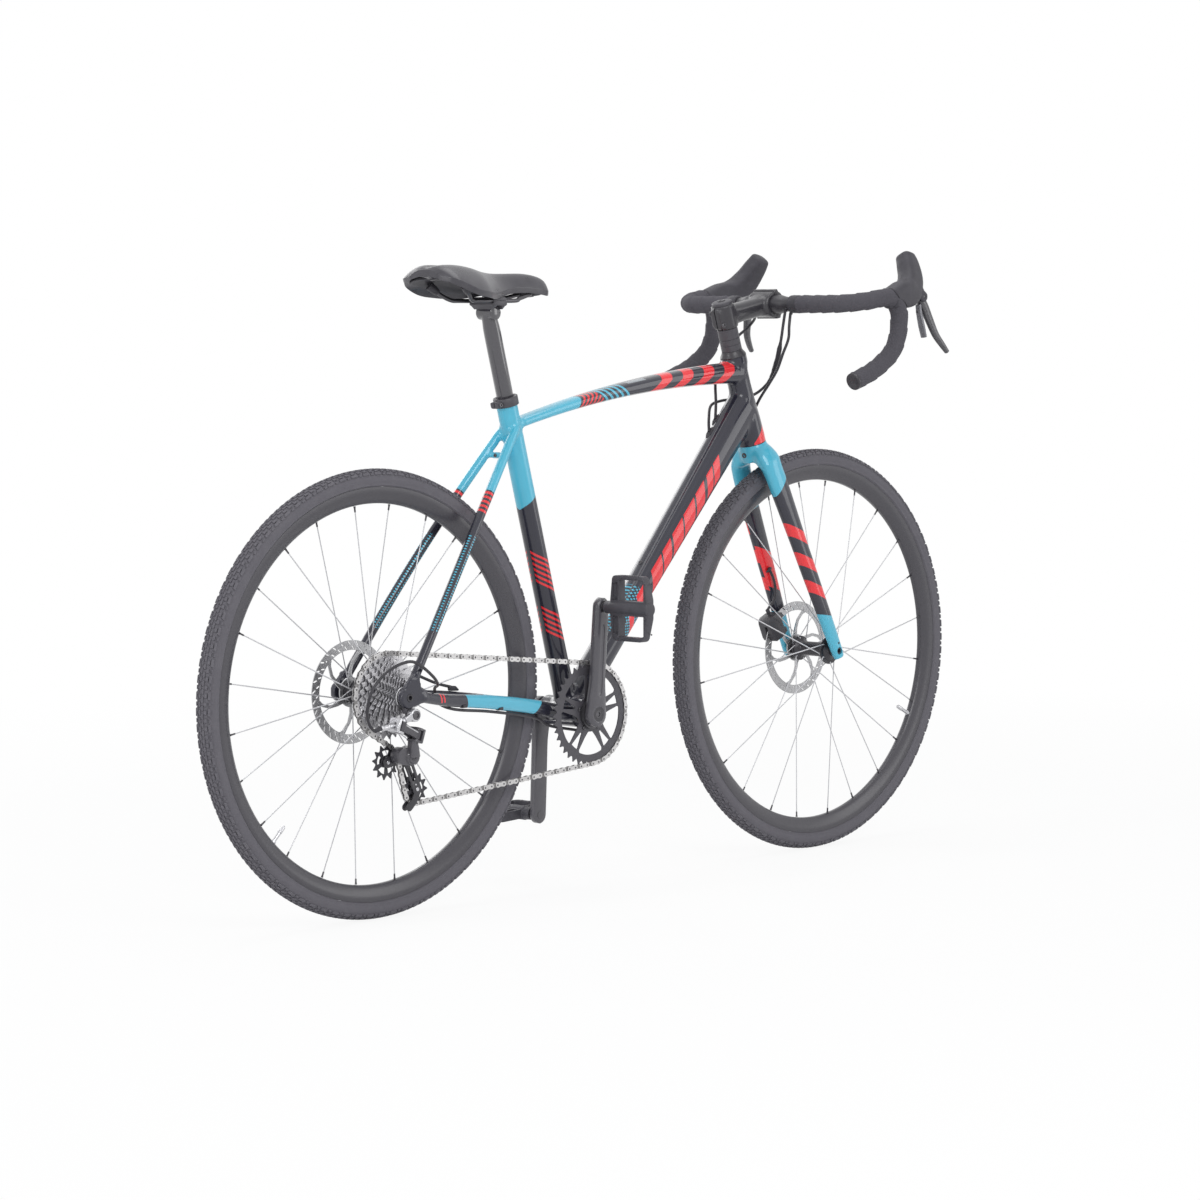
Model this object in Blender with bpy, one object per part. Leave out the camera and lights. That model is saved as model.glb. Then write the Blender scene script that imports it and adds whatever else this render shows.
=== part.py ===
"""Cyclocross bike with disc brakes and a single-chainring drivetrain.

Frame of reference: +X points forward, +Y to the rider's left, +Z up, in metres.
The origin lies on the ground, midway between the two axles, in the middle plane.
The drive side is at -Y.
"""

import math

import bmesh
import bpy
from mathutils import Matrix, Vector

X, Y, Z = Vector((1, 0, 0)), Vector((0, 1, 0)), Vector((0, 0, 1))

# Fits
CLEARANCE = 0.0003          # gap between pieces that touch
RUNNING_GAP = 0.0006        # gap round pieces that turn

# Overall layout
WHEEL_RADIUS = 0.345        # to the top of the tread
WHEELBASE = 1.025
TYRE_TO_BB = 0.0817         # from the rear tyre's tread to the bottom bracket
CHAINSTAY_LENGTH = WHEEL_RADIUS + TYRE_TO_BB
BB_DROP = 0.060             # bottom bracket below the axles
SEAT_ANGLE = math.radians(74.9)
HEAD_ANGLE = math.radians(72.3)
FORK_RAKE = 0.0394
TYRE_TO_CROWN = 0.0455
FORK_LENGTH = WHEEL_RADIUS + TYRE_TO_CROWN   # crown race above the foot of the rake, along the steering axis
HEAD_TUBE_LENGTH = 0.153
SEAT_TUBE_LENGTH = 0.524
REAR_SPACING = 0.142        # between the rear dropouts
FRONT_SPACING = 0.100

# Frame tubes
SEAT_TUBE_RADIUS = 0.0168
SEATPOST_RADIUS = 0.0136
HEAD_TUBE_TOP_RADIUS = 0.0222
HEAD_TUBE_WAIST_RADIUS = 0.0192
HEAD_TUBE_LOW_RADIUS = 0.0240
HEAD_BORE_RADIUS = 0.0150
TOP_TUBE_WIDTH_REAR, TOP_TUBE_WIDTH_FRONT = 0.032, 0.041
TOP_TUBE_HEIGHT_REAR, TOP_TUBE_HEIGHT_FRONT = 0.0165, 0.037
TOP_TUBE_BELOW_SEAT_TOP = 0.0450     # along the seat tube
TOP_TUBE_BELOW_HEAD_TOP = 0.0290
TOP_TUBE_ARCH = 0.0315           # rise of the curve's control point over the chord
DOWN_TUBE_WIDTH = 0.045
DOWN_TUBE_HEIGHT_LOW, DOWN_TUBE_HEIGHT_HIGH = 0.045, 0.065
DOWN_TUBE_ABOVE_RACE = 0.0660
DOWN_TUBE_POWER = 2.3            # roundness of its superellipse
SEAT_STAY_RADIUS = 0.0075
SEAT_STAY_BOW = 0.006
SEAT_STAY_BELOW_SEAT_TOP = 0.0460   # along the seat tube
SEAT_STAY_TOP_SPREAD = 0.0125
SEAT_STAY_FOOT_FORWARD, SEAT_STAY_FOOT_RISE = 0.0130, 0.0240
BRIDGE_RADIUS, BRIDGE_BEHIND, BRIDGE_BELOW = 0.0050, 0.0300, 0.0450
CHAINSTAY_HEIGHT, CHAINSTAY_WIDTH = 0.021, 0.015
CHAINSTAY_FOOT_FORWARD = 0.0270
TYRE_GAP = 0.0065                # between the tyre and a chainstay
BB_SHELL_RADIUS, BB_SHELL_WIDTH = 0.0240, 0.0850
BB_BORE_RADIUS = 0.0205
DROPOUT_THICKNESS = 0.010
DROPOUT_RADIUS = 0.0165

# Fork
STEERER_RADIUS = 0.0143
FORK_LEG_TOP_BELOW_RACE = 0.0620
FORK_LEG_SPREAD_TOP = 0.0375     # leg centre from the middle plane at the crown
FORK_LEG_WIDTH_TOP, FORK_LEG_DEPTH_TOP = 0.0220, 0.040
FORK_LEG_WIDTH_LOW, FORK_LEG_DEPTH_LOW = 0.0150, 0.025

# Wheels
TYRE_WIDTH = 0.0330
TYRE_WALL = 0.0028
TYRE_HEIGHT = 0.0280             # above the rim
RIM_DEPTH = 0.0255
RIM_OUTER_RADIUS = WHEEL_RADIUS - TYRE_HEIGHT
RIM_INNER_RADIUS = RIM_OUTER_RADIUS - RIM_DEPTH
RIM_WIDTH = 0.0245
RIM_WALL = 0.0022
SPOKES_PER_SIDE = 12
SPOKE_RADIUS = 0.0012
SPOKE_LEAN = math.radians(38)
SPOKE_STAGGER = 0.0005           # to each side of the flange's middle, by turns
AXLE_RADIUS = 0.0060
ROTOR_RADIUS = 0.0800
ROTOR_BAND = 0.0165
ROTOR_THICKNESS = 0.0018
ROTOR_SEAT_RADIUS = 0.0162
HUB_CAP_RADIUS, HUB_BARREL_RADIUS = 0.0095, 0.0125
FLANGE_RING_THICKNESS, FLANGE_RING_DEPTH = 0.0028, 0.0055
WHEEL_SEGMENTS = 36

# Hub flanges and rotors, measured from the middle plane
FRONT_FLANGES = {"right": (-0.0385, 0.0240), "left": (0.0270, 0.0210)}
REAR_FLANGES = {"right": (-0.0205, 0.0240), "left": (0.0345, 0.0220)}
FRONT_ROTOR_OFFSET = 0.0370
REAR_ROTOR_OFFSET = 0.0520

# Drivetrain
CHAIN_PITCH = 0.0127
CHAINRING_TEETH = 40
COG_TEETH = (11, 12, 13, 14, 16, 18, 20, 22, 25, 28, 32)
COG_SPACING = 0.00375
COG_THICKNESS = 0.0016
SMALLEST_COG_OFFSET = 0.0663
CHAINLINE = 0.0500
CHAINRING_THICKNESS = 0.0016
GUIDE_PULLEY_TEETH, TENSION_PULLEY_TEETH = 12, 11
PULLEY_THICKNESS = 0.0020
CHAIN_HALF_HEIGHT, CHAIN_HALF_WIDTH = 0.0040, 0.0028
CHAIN_SLOT_HALF_WIDTH = 0.0017   # between the plates
CHAIN_WEB_HALF_HEIGHT = 0.0006   # rollers and pins, along the pitch line
TOOTH_TIP_BELOW_PITCH = 0.0022
TOOTH_ROOT_BELOW_PITCH = 0.0046
CRANK_LENGTH = 0.1725
CRANK_THICKNESS = 0.0140
CRANK_BOSS_RADIUS, CRANK_EYE_RADIUS = 0.0205, 0.0140
CRANK_WAIST = 0.0128             # half the arm's width
CRANK_INNER_OFFSET = 0.0560      # at the spindle
CRANK_INNER_OFFSET_PEDAL = {-1: 0.0630, 1: 0.0570}   # right arm and left arm, at the pedal
SPIDER_RADIUS = 0.0240
SPINDLE_RADIUS = 0.0150
PEDAL_LENGTH, PEDAL_WIDTH, PEDAL_THICKNESS = 0.104, 0.080, 0.0170
PEDAL_AXLE_RADIUS = 0.0060
PEDAL_STAND_OFF = 0.0200         # arm to platform
PEDAL_BARREL_STAND_OFF = 0.0050  # arm to barrel
CRANK_TURN = math.radians(2.0)   # right arm, forward of straight up
PEDAL_TILT = {"right": math.radians(90), "left": math.radians(4)}
PEDAL_BARREL_RADIUS = 0.0115

# Cockpit
HEADSET_COVER_HEIGHT = 0.0110
SPACER_STACK = 0.0390
SPACER_RADIUS = 0.0172
STEM_LENGTH = 0.105
STEM_ANGLE = math.radians(-7)    # from square to the steerer
STEM_CLAMP_HEIGHT = 0.0400
STEM_CLAMP_RADIUS = 0.0195
STEM_ARM_WIDTH = 0.0360
BAR_CLAMP_RADIUS = 0.0159
BAR_RADIUS = 0.0119
BAR_CLAMP_WIDTH = 0.0460
FACEPLATE_RADIUS = 0.0225
BAR_HALF_WIDTH = 0.2080
BAR_CORNER_RADIUS = 0.0600
BAR_RAMP_SLOPE = 0.165
TAPE_THICKNESS = 0.0034
TAPE_START = 0.0600
BAR_SIDES = 8

# Seating
COLLAR_RADIUS, COLLAR_HEIGHT, COLLAR_LIP = 0.0197, 0.0125, 0.0018
COLLAR_LUG_LENGTH = 0.0070
SEATPOST_INSERTED = 0.110
SEATPOST_DROP = 0.060            # how far it can slide down from here
SEATPOST_SHOWN = 0.1385          # collar to the tilt axis of the clamp
POST_HEAD_RADIUS, POST_HEAD_WIDTH = 0.0115, 0.0340
RAIL_RADIUS, RAIL_SPREAD = 0.0035, 0.0220
RAIL_ABOVE_PIVOT = 0.0185
CLAMP_LENGTH = 0.0280
CLAMP_ABOVE_PIVOT = 0.0024       # its lower edge, which stays clear of the post when the saddle tilts
SADDLE_LENGTH = 0.2620
SADDLE_WIDTH = 0.1440
SADDLE_THICKNESS = 0.0200
SADDLE_REAR_BEHIND_PIVOT = 0.1365
SADDLE_ABOVE_RAILS = 0.0430      # top of the nose above the rails
SHELL_THICKNESS = 0.0030
SHELL_EDGE_COUNT = 2                   # lower points of the cover outside the shell's edge, on each side

# Brakes and hoses
CALIPER_INNER_HALF, CALIPER_OUTER_HALF = 0.0095, 0.0150
CALIPER_LENGTH, CALIPER_DEPTH = 0.0440, 0.0150
FRONT_CALIPER_ANGLE, REAR_CALIPER_ANGLE = math.radians(148), math.radians(24)   # round the axle
FRONT_CALIPER_TURN, REAR_CALIPER_TURN = math.radians(204.5), math.radians(90)   # where its back faces
FRONT_CALIPER_FOOT, REAR_CALIPER_FOOT = 0.0235, 0.0262                          # down to its mounting face
PAD_SLOT = 0.0036
HOSE_RADIUS = 0.0024

SIDES = {"right": -1, "left": 1}


# Profiles and routes drawn by hand

# Handlebar, from the end of the upper bend to the end of the drop: forward and above its centre
DROP_LINE = ((0.0680, 0.0105), (0.0880, 0.0050), (0.0995, -0.0110), (0.1012, -0.0300), (0.0965, -0.0560),
             (0.0830, -0.0790), (0.0620, -0.0950), (0.0300, -0.1120), (-0.0150, -0.1275))

# Hood, lever and paddle on the left: forward, above, outward of the bar's centre, half width, half depth
HOOD_SPINE = (
    (0.0800, 0.0100, 0.2070, 0.0170, 0.0175),
    (0.1080, 0.0170, 0.2035, 0.0180, 0.0230),
    (0.1390, 0.0260, 0.1960, 0.0180, 0.0240),
    (0.1590, 0.0460, 0.1850, 0.0165, 0.0205),
    (0.1700, 0.0680, 0.1710, 0.0145, 0.0165),
    (0.1750, 0.0800, 0.1625, 0.0110, 0.0115),
)
LEVER_SPINE = (
    (0.1710, 0.0120, 0.1930, 0.0070, 0.0075),
    (0.1790, -0.0040, 0.1975, 0.0065, 0.0085),
    (0.1850, -0.0280, 0.2050, 0.0055, 0.0080),
    (0.1920, -0.0520, 0.2125, 0.0050, 0.0065),
    (0.2040, -0.0700, 0.2180, 0.0048, 0.0050),
    (0.2130, -0.0810, 0.2205, 0.0042, 0.0038),
)
PADDLE_SPINE = (
    (0.1655, -0.0020, 0.1970, 0.0055, 0.0030),
    (0.1660, -0.0160, 0.1985, 0.0055, 0.0035),
    (0.1665, -0.0380, 0.2035, 0.0065, 0.0030),
    (0.1700, -0.0560, 0.2055, 0.0060, 0.0025),
)
LEVER_EYE_RADIUS, LEVER_EYE_HALF_WIDTH = 0.0085, 0.0072
LEVER_PIN_RADIUS = 0.0025
HOOD_POCKET_RADIUS, HOOD_POCKET_HALF_WIDTH = 0.0115, 0.0100
CHEEK_RADIUS, CHEEK_THICKNESS = 0.0090, 0.0030   # of the hood's bracket, beside the lever's eye
CHEEK_REACH = 0.0200                             # from the lever's pivot back into the hood
PADDLE_PIN_BELOW = 0.0120                        # below the paddle's top
PADDLE_PIN_RADIUS, PADDLE_BOSS_RADIUS = 0.0018, 0.0032

# Saddle stations: share of the length from the rear, half width as a share of the full width,
# height of the top over the nose, and how far the edge hangs below the top
SADDLE_STATIONS = (
    (0.000, 0.230, 0.0040, 0.0100),
    (0.030, 0.400, 0.0105, 0.0190),
    (0.100, 0.480, 0.0130, 0.0300),
    (0.200, 0.500, 0.0120, 0.0385),
    (0.300, 0.470, 0.0085, 0.0385),
    (0.400, 0.370, 0.0035, 0.0355),
    (0.500, 0.255, 0.0005, 0.0300),
    (0.620, 0.170, 0.0000, 0.0240),
    (0.760, 0.142, 0.0000, 0.0220),
    (0.880, 0.135, -0.0030, 0.0210),
    (0.960, 0.115, -0.0095, 0.0170),
    (1.000, 0.060, -0.0200, 0.0080),
)
SADDLE_ACROSS = (1.0, 0.86, 0.62, 0.34, 0.14, 0.0, -0.14, -0.34, -0.62, -0.86, -1.0)   # shares of the half width
CHANNEL_DEPTH = 0.0050

# Rear derailleur
HANGER_INNER, HANGER_THICKNESS = 0.0720, 0.0065
B_BOLT_FORWARD, B_BOLT_BELOW = 0.0040, 0.0260    # from the rear axle
B_DRUM_RADIUS, B_DRUM_LENGTH = 0.0100, 0.0120
RD_TILT = math.radians(20)               # link pivots lean forward of upright
RD_LINK_LENGTH, RD_LINK_SPACING = 0.0550, 0.0150
RD_SWING_AT_REST = math.radians(20)      # inward, on the largest cog
LINK_HALF_HEIGHT, LINK_HALF_THICKNESS = 0.0070, 0.0026
LINK_EYE_RADIUS = 0.0042
EAR_THICKNESS, EAR_HALF_LENGTH = 0.0036, 0.0052
WEB_HALF_THICKNESS = 0.0024
CAGE_PLATE_THICKNESS, CAGE_HALF_GAP = 0.0015, 0.0042
CAGE_STRAP_HALF_WIDTH = 0.0088
CAGE_PIN_RADIUS, CAGE_PIN_LENGTH = 0.0050, 0.0120
PULLEY_BOLT_RADIUS, PULLEY_HUB_RADIUS = 0.0020, 0.0070
P_DRUM_RADIUS, P_DRUM_LENGTH = 0.0135, 0.0250
ADJUSTER_RADIUS, ADJUSTER_LENGTH = 0.0042, 0.0300


# Derived places
AXLE_HEIGHT = WHEEL_RADIUS
REAR_AXLE = Vector((-WHEELBASE / 2, 0, AXLE_HEIGHT))
FRONT_AXLE = Vector((WHEELBASE / 2, 0, AXLE_HEIGHT))
BB = REAR_AXLE + Vector((math.sqrt(CHAINSTAY_LENGTH ** 2 - BB_DROP ** 2), 0, -BB_DROP))
SEAT_AXIS = Vector((-math.cos(SEAT_ANGLE), 0, math.sin(SEAT_ANGLE)))
STEER_AXIS = Vector((-math.cos(HEAD_ANGLE), 0, math.sin(HEAD_ANGLE)))
STEER_FORWARD = Vector((math.sin(HEAD_ANGLE), 0, math.cos(HEAD_ANGLE)))
STEER_FOOT = FRONT_AXLE - FORK_RAKE * STEER_FORWARD


def on_steerer(distance):
    """Point on the steering axis, measured up from the foot of the rake."""
    return STEER_FOOT + distance * STEER_AXIS


def on_seat_tube(distance):
    """Point on the seat tube's axis, measured up from the bottom bracket."""
    return BB + distance * SEAT_AXIS


CROWN_RACE = FORK_LENGTH
HEAD_TOP = CROWN_RACE + HEAD_TUBE_LENGTH
COVER_TOP = HEAD_TOP + HEADSET_COVER_HEIGHT
STEM_BOTTOM = COVER_TOP + SPACER_STACK
STEM_MIDDLE = STEM_BOTTOM + STEM_CLAMP_HEIGHT / 2
STEM_TOP = STEM_BOTTOM + STEM_CLAMP_HEIGHT
STEM_DIRECTION = Matrix.Rotation(-STEM_ANGLE, 3, "Y") @ STEER_FORWARD
BAR_CENTRE = on_steerer(STEM_MIDDLE) + STEM_LENGTH * STEM_DIRECTION
COLLAR_BOTTOM = SEAT_TUBE_LENGTH - COLLAR_HEIGHT + CLEARANCE
TILT_AXIS = on_seat_tube(SEAT_TUBE_LENGTH + SEATPOST_SHOWN)
RAIL_HEIGHT = TILT_AXIS.z + RAIL_ABOVE_PIVOT
LARGEST_COG_OFFSET = SMALLEST_COG_OFFSET - COG_SPACING * (len(COG_TEETH) - 1)
TOP_TUBE_REAR = on_seat_tube(SEAT_TUBE_LENGTH - TOP_TUBE_BELOW_SEAT_TOP)
TOP_TUBE_FRONT = on_steerer(HEAD_TOP - TOP_TUBE_BELOW_HEAD_TOP)
DOWN_TUBE_FRONT = on_steerer(CROWN_RACE + DOWN_TUBE_ABOVE_RACE)
SEAT_STAY_TOP = on_seat_tube(SEAT_TUBE_LENGTH - SEAT_STAY_BELOW_SEAT_TOP)
REAR_DROPOUT_MIDDLE = REAR_SPACING / 2 + DROPOUT_THICKNESS / 2
FRONT_DROPOUT_MIDDLE = FRONT_SPACING / 2 + FORK_LEG_WIDTH_LOW / 2 - 0.002
TAPE_RADIUS = BAR_RADIUS + TAPE_THICKNESS
B_BOLT = REAR_AXLE + Vector((B_BOLT_FORWARD, 0, -B_BOLT_BELOW))
B_PIVOTS = REAR_AXLE + Vector((-0.0185, -0.0765, -0.0420))    # midway between the links' rear pivots
GUIDE_PULLEY = REAR_AXLE + Vector((-0.0030, -LARGEST_COG_OFFSET, -0.1015))
TENSION_PULLEY = REAR_AXLE + Vector((0.0574, -LARGEST_COG_OFFSET, -0.1482))
CAGE_PIVOT = REAR_AXLE + Vector((0.0285, -LARGEST_COG_OFFSET, -0.0940))
CAGE_ELBOW = (Vector((0.0, 0, -0.0030)), Vector((0.0130, 0, -0.0170)))   # from the cage pivot
RD_AXIS = Vector((math.sin(RD_TILT), 0, math.cos(RD_TILT)))
RD_ALONG = Vector((math.cos(RD_TILT), 0, -math.sin(RD_TILT)))


def pitch_radius(teeth):
    return CHAIN_PITCH / (2 * math.sin(math.pi / teeth))


# Materials

def material(name, colour, roughness, metallic=0.0):
    made = bpy.data.materials.new(name)
    made.use_nodes = True
    shader = made.node_tree.nodes["Principled BSDF"]
    shader.inputs["Base Color"].default_value = (*colour, 1)
    shader.inputs["Roughness"].default_value = roughness
    shader.inputs["Metallic"].default_value = metallic
    made.diffuse_color = (*colour, 1)
    return made


def make_materials():
    return {
        "frame_paint": material("frame_paint", (0.014, 0.019, 0.030), 0.25),
        "fork_paint": material("fork_paint", (0.040, 0.380, 0.490), 0.25),
        "tread_rubber": material("tread_rubber", (0.030, 0.030, 0.032), 0.75),
        "rim_black": material("rim_black", (0.018, 0.018, 0.019), 0.45),
        "spoke_steel": material("spoke_steel", (0.62, 0.62, 0.63), 0.28, 1.0),
        "black_alloy": material("black_alloy", (0.016, 0.016, 0.017), 0.35, 0.3),
        "silver_alloy": material("silver_alloy", (0.55, 0.55, 0.56), 0.30, 1.0),
        "chain_nickel": material("chain_nickel", (0.60, 0.59, 0.57), 0.30, 1.0),
        "bar_tape": material("bar_tape", (0.020, 0.020, 0.021), 0.80),
        "hood_rubber": material("hood_rubber", (0.020, 0.020, 0.020), 0.60),
        "saddle_cover": material("saddle_cover", (0.018, 0.018, 0.019), 0.42),
        "black_plastic": material("black_plastic", (0.020, 0.020, 0.020), 0.50),
        "hose": material("hose", (0.022, 0.022, 0.023), 0.40),
    }


# Mesh building

def add_object(name, bm, paint, origin=(0, 0, 0)):
    """Makes an object from a bmesh that is in world coordinates, with its origin at the given point."""
    bmesh.ops.recalc_face_normals(bm, faces=bm.faces)
    bmesh.ops.translate(bm, verts=bm.verts, vec=-Vector(origin))
    mesh = bpy.data.meshes.new(name)
    bm.to_mesh(mesh)
    bm.free()
    mesh.shade_smooth()
    mesh.set_sharp_from_angle(angle=math.radians(35))
    obj = bpy.data.objects.new(name, mesh)
    obj.location = origin
    bpy.context.scene.collection.objects.link(obj)
    if paint:
        mesh.materials.append(paint)
    return obj


def boolean(obj, other, operation):
    """Unites obj with the other object, or cuts it by that object, and removes the other."""
    bpy.context.view_layer.update()
    modifier = obj.modifiers.new(operation.title(), "BOOLEAN")
    modifier.operation = operation
    modifier.object = other
    graph = bpy.context.evaluated_depsgraph_get()
    baked = bpy.data.meshes.new_from_object(obj.evaluated_get(graph))
    obj.modifiers.clear()
    old, name = obj.data, obj.data.name
    paint = old.materials[0] if old.materials else None
    obj.data = baked
    bpy.data.meshes.remove(old)
    baked.name = name
    baked.materials.clear()
    if paint:
        baked.materials.append(paint)
    baked.polygons.foreach_set("material_index", [0] * len(baked.polygons))
    baked.shade_smooth()
    baked.set_sharp_from_angle(angle=math.radians(35))
    bpy.data.objects.remove(other)


def unite(obj, *others):
    for other in others:
        boolean(obj, other, "UNION")
    return obj


def cut(obj, *cutters):
    for cutter in cutters:
        boolean(obj, cutter, "DIFFERENCE")
    return obj


def skin(rings, loop=False):
    """Joins rings of equally many points by quads. The ends are capped, or joined to each other in a loop."""
    bm = bmesh.new()
    made = [[bm.verts.new(point) for point in ring] for ring in rings]
    count = len(made[0])
    pairs = list(zip(made, made[1:]))
    if loop:
        pairs.append((made[-1], made[0]))
    for first, second in pairs:
        for i in range(count):
            j = (i + 1) % count
            bm.faces.new((first[i], first[j], second[j], second[i]))
    if not loop:
        bm.faces.new(list(reversed(made[0])))
        bm.faces.new(made[-1])
    return bm


def across(direction, hint=Y):
    """Two unit vectors square to a direction: the first lies nearest to the hint."""
    along = Vector(direction).normalized()
    side = Vector(hint) - along * along.dot(Vector(hint))
    side.normalize()
    return side, along.cross(side)


def oval(centre, side, other, half_side, half_other, count, power=2.0):
    """Ring of points on a superellipse."""
    ring = []
    for i in range(count):
        angle = 2 * math.pi * (i + 0.5) / count
        c, s = math.cos(angle), math.sin(angle)
        ring.append(
            Vector(centre)
            + side * (half_side * math.copysign(abs(c) ** (2 / power), c))
            + other * (half_other * math.copysign(abs(s) ** (2 / power), s))
        )
    return ring


def directions(points, closed=False):
    """Direction of travel at each point of a path."""
    found = []
    last = len(points) - 1
    for i, point in enumerate(points):
        before = points[i - 1] if i or closed else point
        after = points[(i + 1) % len(points)] if i < last or closed else point
        found.append((after - before).normalized())
    return found


def sweep(points, sections, count, power=2.0, hint=Y):
    """Bmesh of a tube along points. sections holds (half width towards the hint, half height) for each point."""
    rings = []
    for point, along, (half_side, half_other) in zip(points, directions(points), sections):
        side, other = across(along, hint)
        rings.append(oval(point, side, other, half_side, half_other, count, power))
    return skin(rings)


def rod(start, end, radius, count=16, hint=Y):
    """Bmesh of a round bar between two points."""
    start, end = Vector(start), Vector(end)
    return sweep([start, end], [(radius, radius)] * 2, count, hint=hint)


def turned(profile, centre, axis, count, hint=Z, phase=0.5):
    """Bmesh of a closed profile of (place along the axis, radius) turned round an axis."""
    axis = Vector(axis).normalized()
    side, other = across(axis, hint)
    bm = bmesh.new()
    rings = []
    for i in range(count):
        angle = 2 * math.pi * (i + phase) / count
        out = side * math.cos(angle) + other * math.sin(angle)
        rings.append([bm.verts.new(Vector(centre) + axis * place + out * radius)
                      for place, radius in profile])
    size = len(profile)
    for i in range(count):
        first, second = rings[i], rings[(i + 1) % count]
        for j in range(size):
            k = (j + 1) % size
            bm.faces.new((first[j], first[k], second[k], second[j]))
    return bm


def stack_of_rings(profile, centre, axis, count, hint=Z):
    """Bmesh of a solid turned piece: profile lists (place along the axis, radius) from one end to the other."""
    axis = Vector(axis).normalized()
    side, other = across(axis, hint)
    rings = [oval(Vector(centre) + axis * place, side, other, radius, radius, count)
             for place, radius in profile]
    return skin(rings)


def prism(outline, low, high, place):
    """Bmesh between two copies of an outline. place(u, v, w) gives the world point; low and high are values
    or functions of (u, v)."""
    def level(value, u, v):
        return value(u, v) if callable(value) else value
    rings = [[place(u, v, level(end, u, v)) for u, v in outline] for end in (low, high)]
    return skin(rings)


def side_view(centre):
    """place function for an outline drawn in the side view about a centre, with w along +Y."""
    return lambda u, v, w: Vector((centre.x + u, w, centre.z + v))


def arc(centre_u, centre_v, radius, start, end, count):
    """Points on an arc, angles in degrees."""
    points = []
    for i in range(count + 1):
        angle = math.radians(start + (end - start) * i / count)
        points.append((centre_u + radius * math.cos(angle), centre_v + radius * math.sin(angle)))
    return points


def toothed_outline(teeth, with_roots=True):
    """Outline of a sprocket: a root and a tip for each tooth, or the tips alone."""
    radius = pitch_radius(teeth)
    tip, root = radius - TOOTH_TIP_BELOW_PITCH, radius - TOOTH_ROOT_BELOW_PITCH
    corners = ((0.0, root), (0.5, tip)) if with_roots else ((0.5, tip),)
    points = []
    for i in range(teeth):
        for part, distance in corners:
            angle = 2 * math.pi * (i + part) / teeth
            points.append((distance * math.cos(angle), distance * math.sin(angle)))
    return points


def curve_through(points, per_span=4, closed=False):
    """Smooth path through points (Catmull-Rom)."""
    points = [Vector(p) for p in points]
    count = len(points)
    path = []
    for i in range(count if closed else count - 1):
        if closed:
            a, b, c, d = (points[(i + k) % count] for k in (-1, 0, 1, 2))
        else:
            b, c = points[i], points[i + 1]
            a = points[i - 1] if i else b * 2 - c
            d = points[i + 2] if i + 2 < count else c * 2 - b
        for k in range(per_span):
            t = k / per_span
            path.append(0.5 * (2 * b + (c - a) * t + (2 * a - 5 * b + 4 * c - d) * t * t
                               + (3 * b - 3 * c + d - a) * t ** 3))
    if not closed:
        path.append(points[-1])
    return path


def mirror_y(point):
    return Vector((point[0], -point[1], point[2]))


def blend(a, b, t):
    return a + (b - a) * t


def hose(name, points, paint, per_span=2):
    """Round hose along a smooth path, as a bevelled curve."""
    curve = bpy.data.curves.new(name, "CURVE")
    curve.dimensions = "3D"
    curve.bevel_depth = HOSE_RADIUS
    curve.bevel_resolution = 1
    curve.use_fill_caps = True
    path = curve_through(points, per_span)
    spline = curve.splines.new("POLY")
    spline.points.add(len(path) - 1)
    for point, place in zip(spline.points, path):
        point.co = (*place, 1)
    obj = bpy.data.objects.new(name, curve)
    bpy.context.scene.collection.objects.link(obj)
    curve.materials.append(paint)
    return obj


# Frame

def top_tube_path(count=9):
    """Quadratic curve, steeper at the rear, that meets the head tube almost level."""
    start, end = TOP_TUBE_REAR, TOP_TUBE_FRONT
    control = (start + end) / 2 + Z * TOP_TUBE_ARCH
    return [blend(blend(start, control, i / (count - 1)), blend(control, end, i / (count - 1)), i / (count - 1))
            for i in range(count)]


def make_top_tube():
    path = top_tube_path()
    sections = []
    for i in range(len(path)):
        t = i / (len(path) - 1)
        sections.append((blend(TOP_TUBE_WIDTH_REAR, TOP_TUBE_WIDTH_FRONT, t) / 2,
                         blend(TOP_TUBE_HEIGHT_REAR, TOP_TUBE_HEIGHT_FRONT, t ** 1.5) / 2))
    return add_object("top_tube", sweep(path, sections, 12, power=2.7), None)


def down_tube_height(share):
    """Height of the down tube at a share of its length: even at first, then growing towards the head."""
    return blend(DOWN_TUBE_HEIGHT_LOW, DOWN_TUBE_HEIGHT_HIGH, max(0.0, (share - 0.35) / 0.65))


def make_down_tube():
    shares = (0.0, 0.35, 1.0)
    path = [blend(BB, DOWN_TUBE_FRONT, share) for share in shares]
    sections = [(DOWN_TUBE_WIDTH / 2, down_tube_height(share) / 2) for share in shares]
    return add_object("down_tube", sweep(path, sections, 12, power=DOWN_TUBE_POWER), None)


def above_down_tube(share, y, gap):
    """Point at a gap over the down tube's upper side, at a share of its length and y from the middle plane."""
    along = (DOWN_TUBE_FRONT - BB).normalized()
    side_share = abs(y) / (DOWN_TUBE_WIDTH / 2)
    rise = down_tube_height(share) / 2 * (1 - side_share ** DOWN_TUBE_POWER) ** (1 / DOWN_TUBE_POWER)
    return blend(BB, DOWN_TUBE_FRONT, share) + Vector((-along.z, 0, along.x)) * (rise + gap) + Y * y


def make_head_tube():
    profile = [(CROWN_RACE + CLEARANCE, HEAD_TUBE_LOW_RADIUS), (CROWN_RACE + 0.012, HEAD_TUBE_LOW_RADIUS),
               (CROWN_RACE + 0.100, HEAD_TUBE_WAIST_RADIUS), (HEAD_TOP - 0.026, HEAD_TUBE_WAIST_RADIUS),
               (HEAD_TOP - 0.014, HEAD_TUBE_TOP_RADIUS), (HEAD_TOP, HEAD_TUBE_TOP_RADIUS)]
    return add_object("head_tube", stack_of_rings(profile, STEER_FOOT, STEER_AXIS, 18, hint=Y), None)


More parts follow.
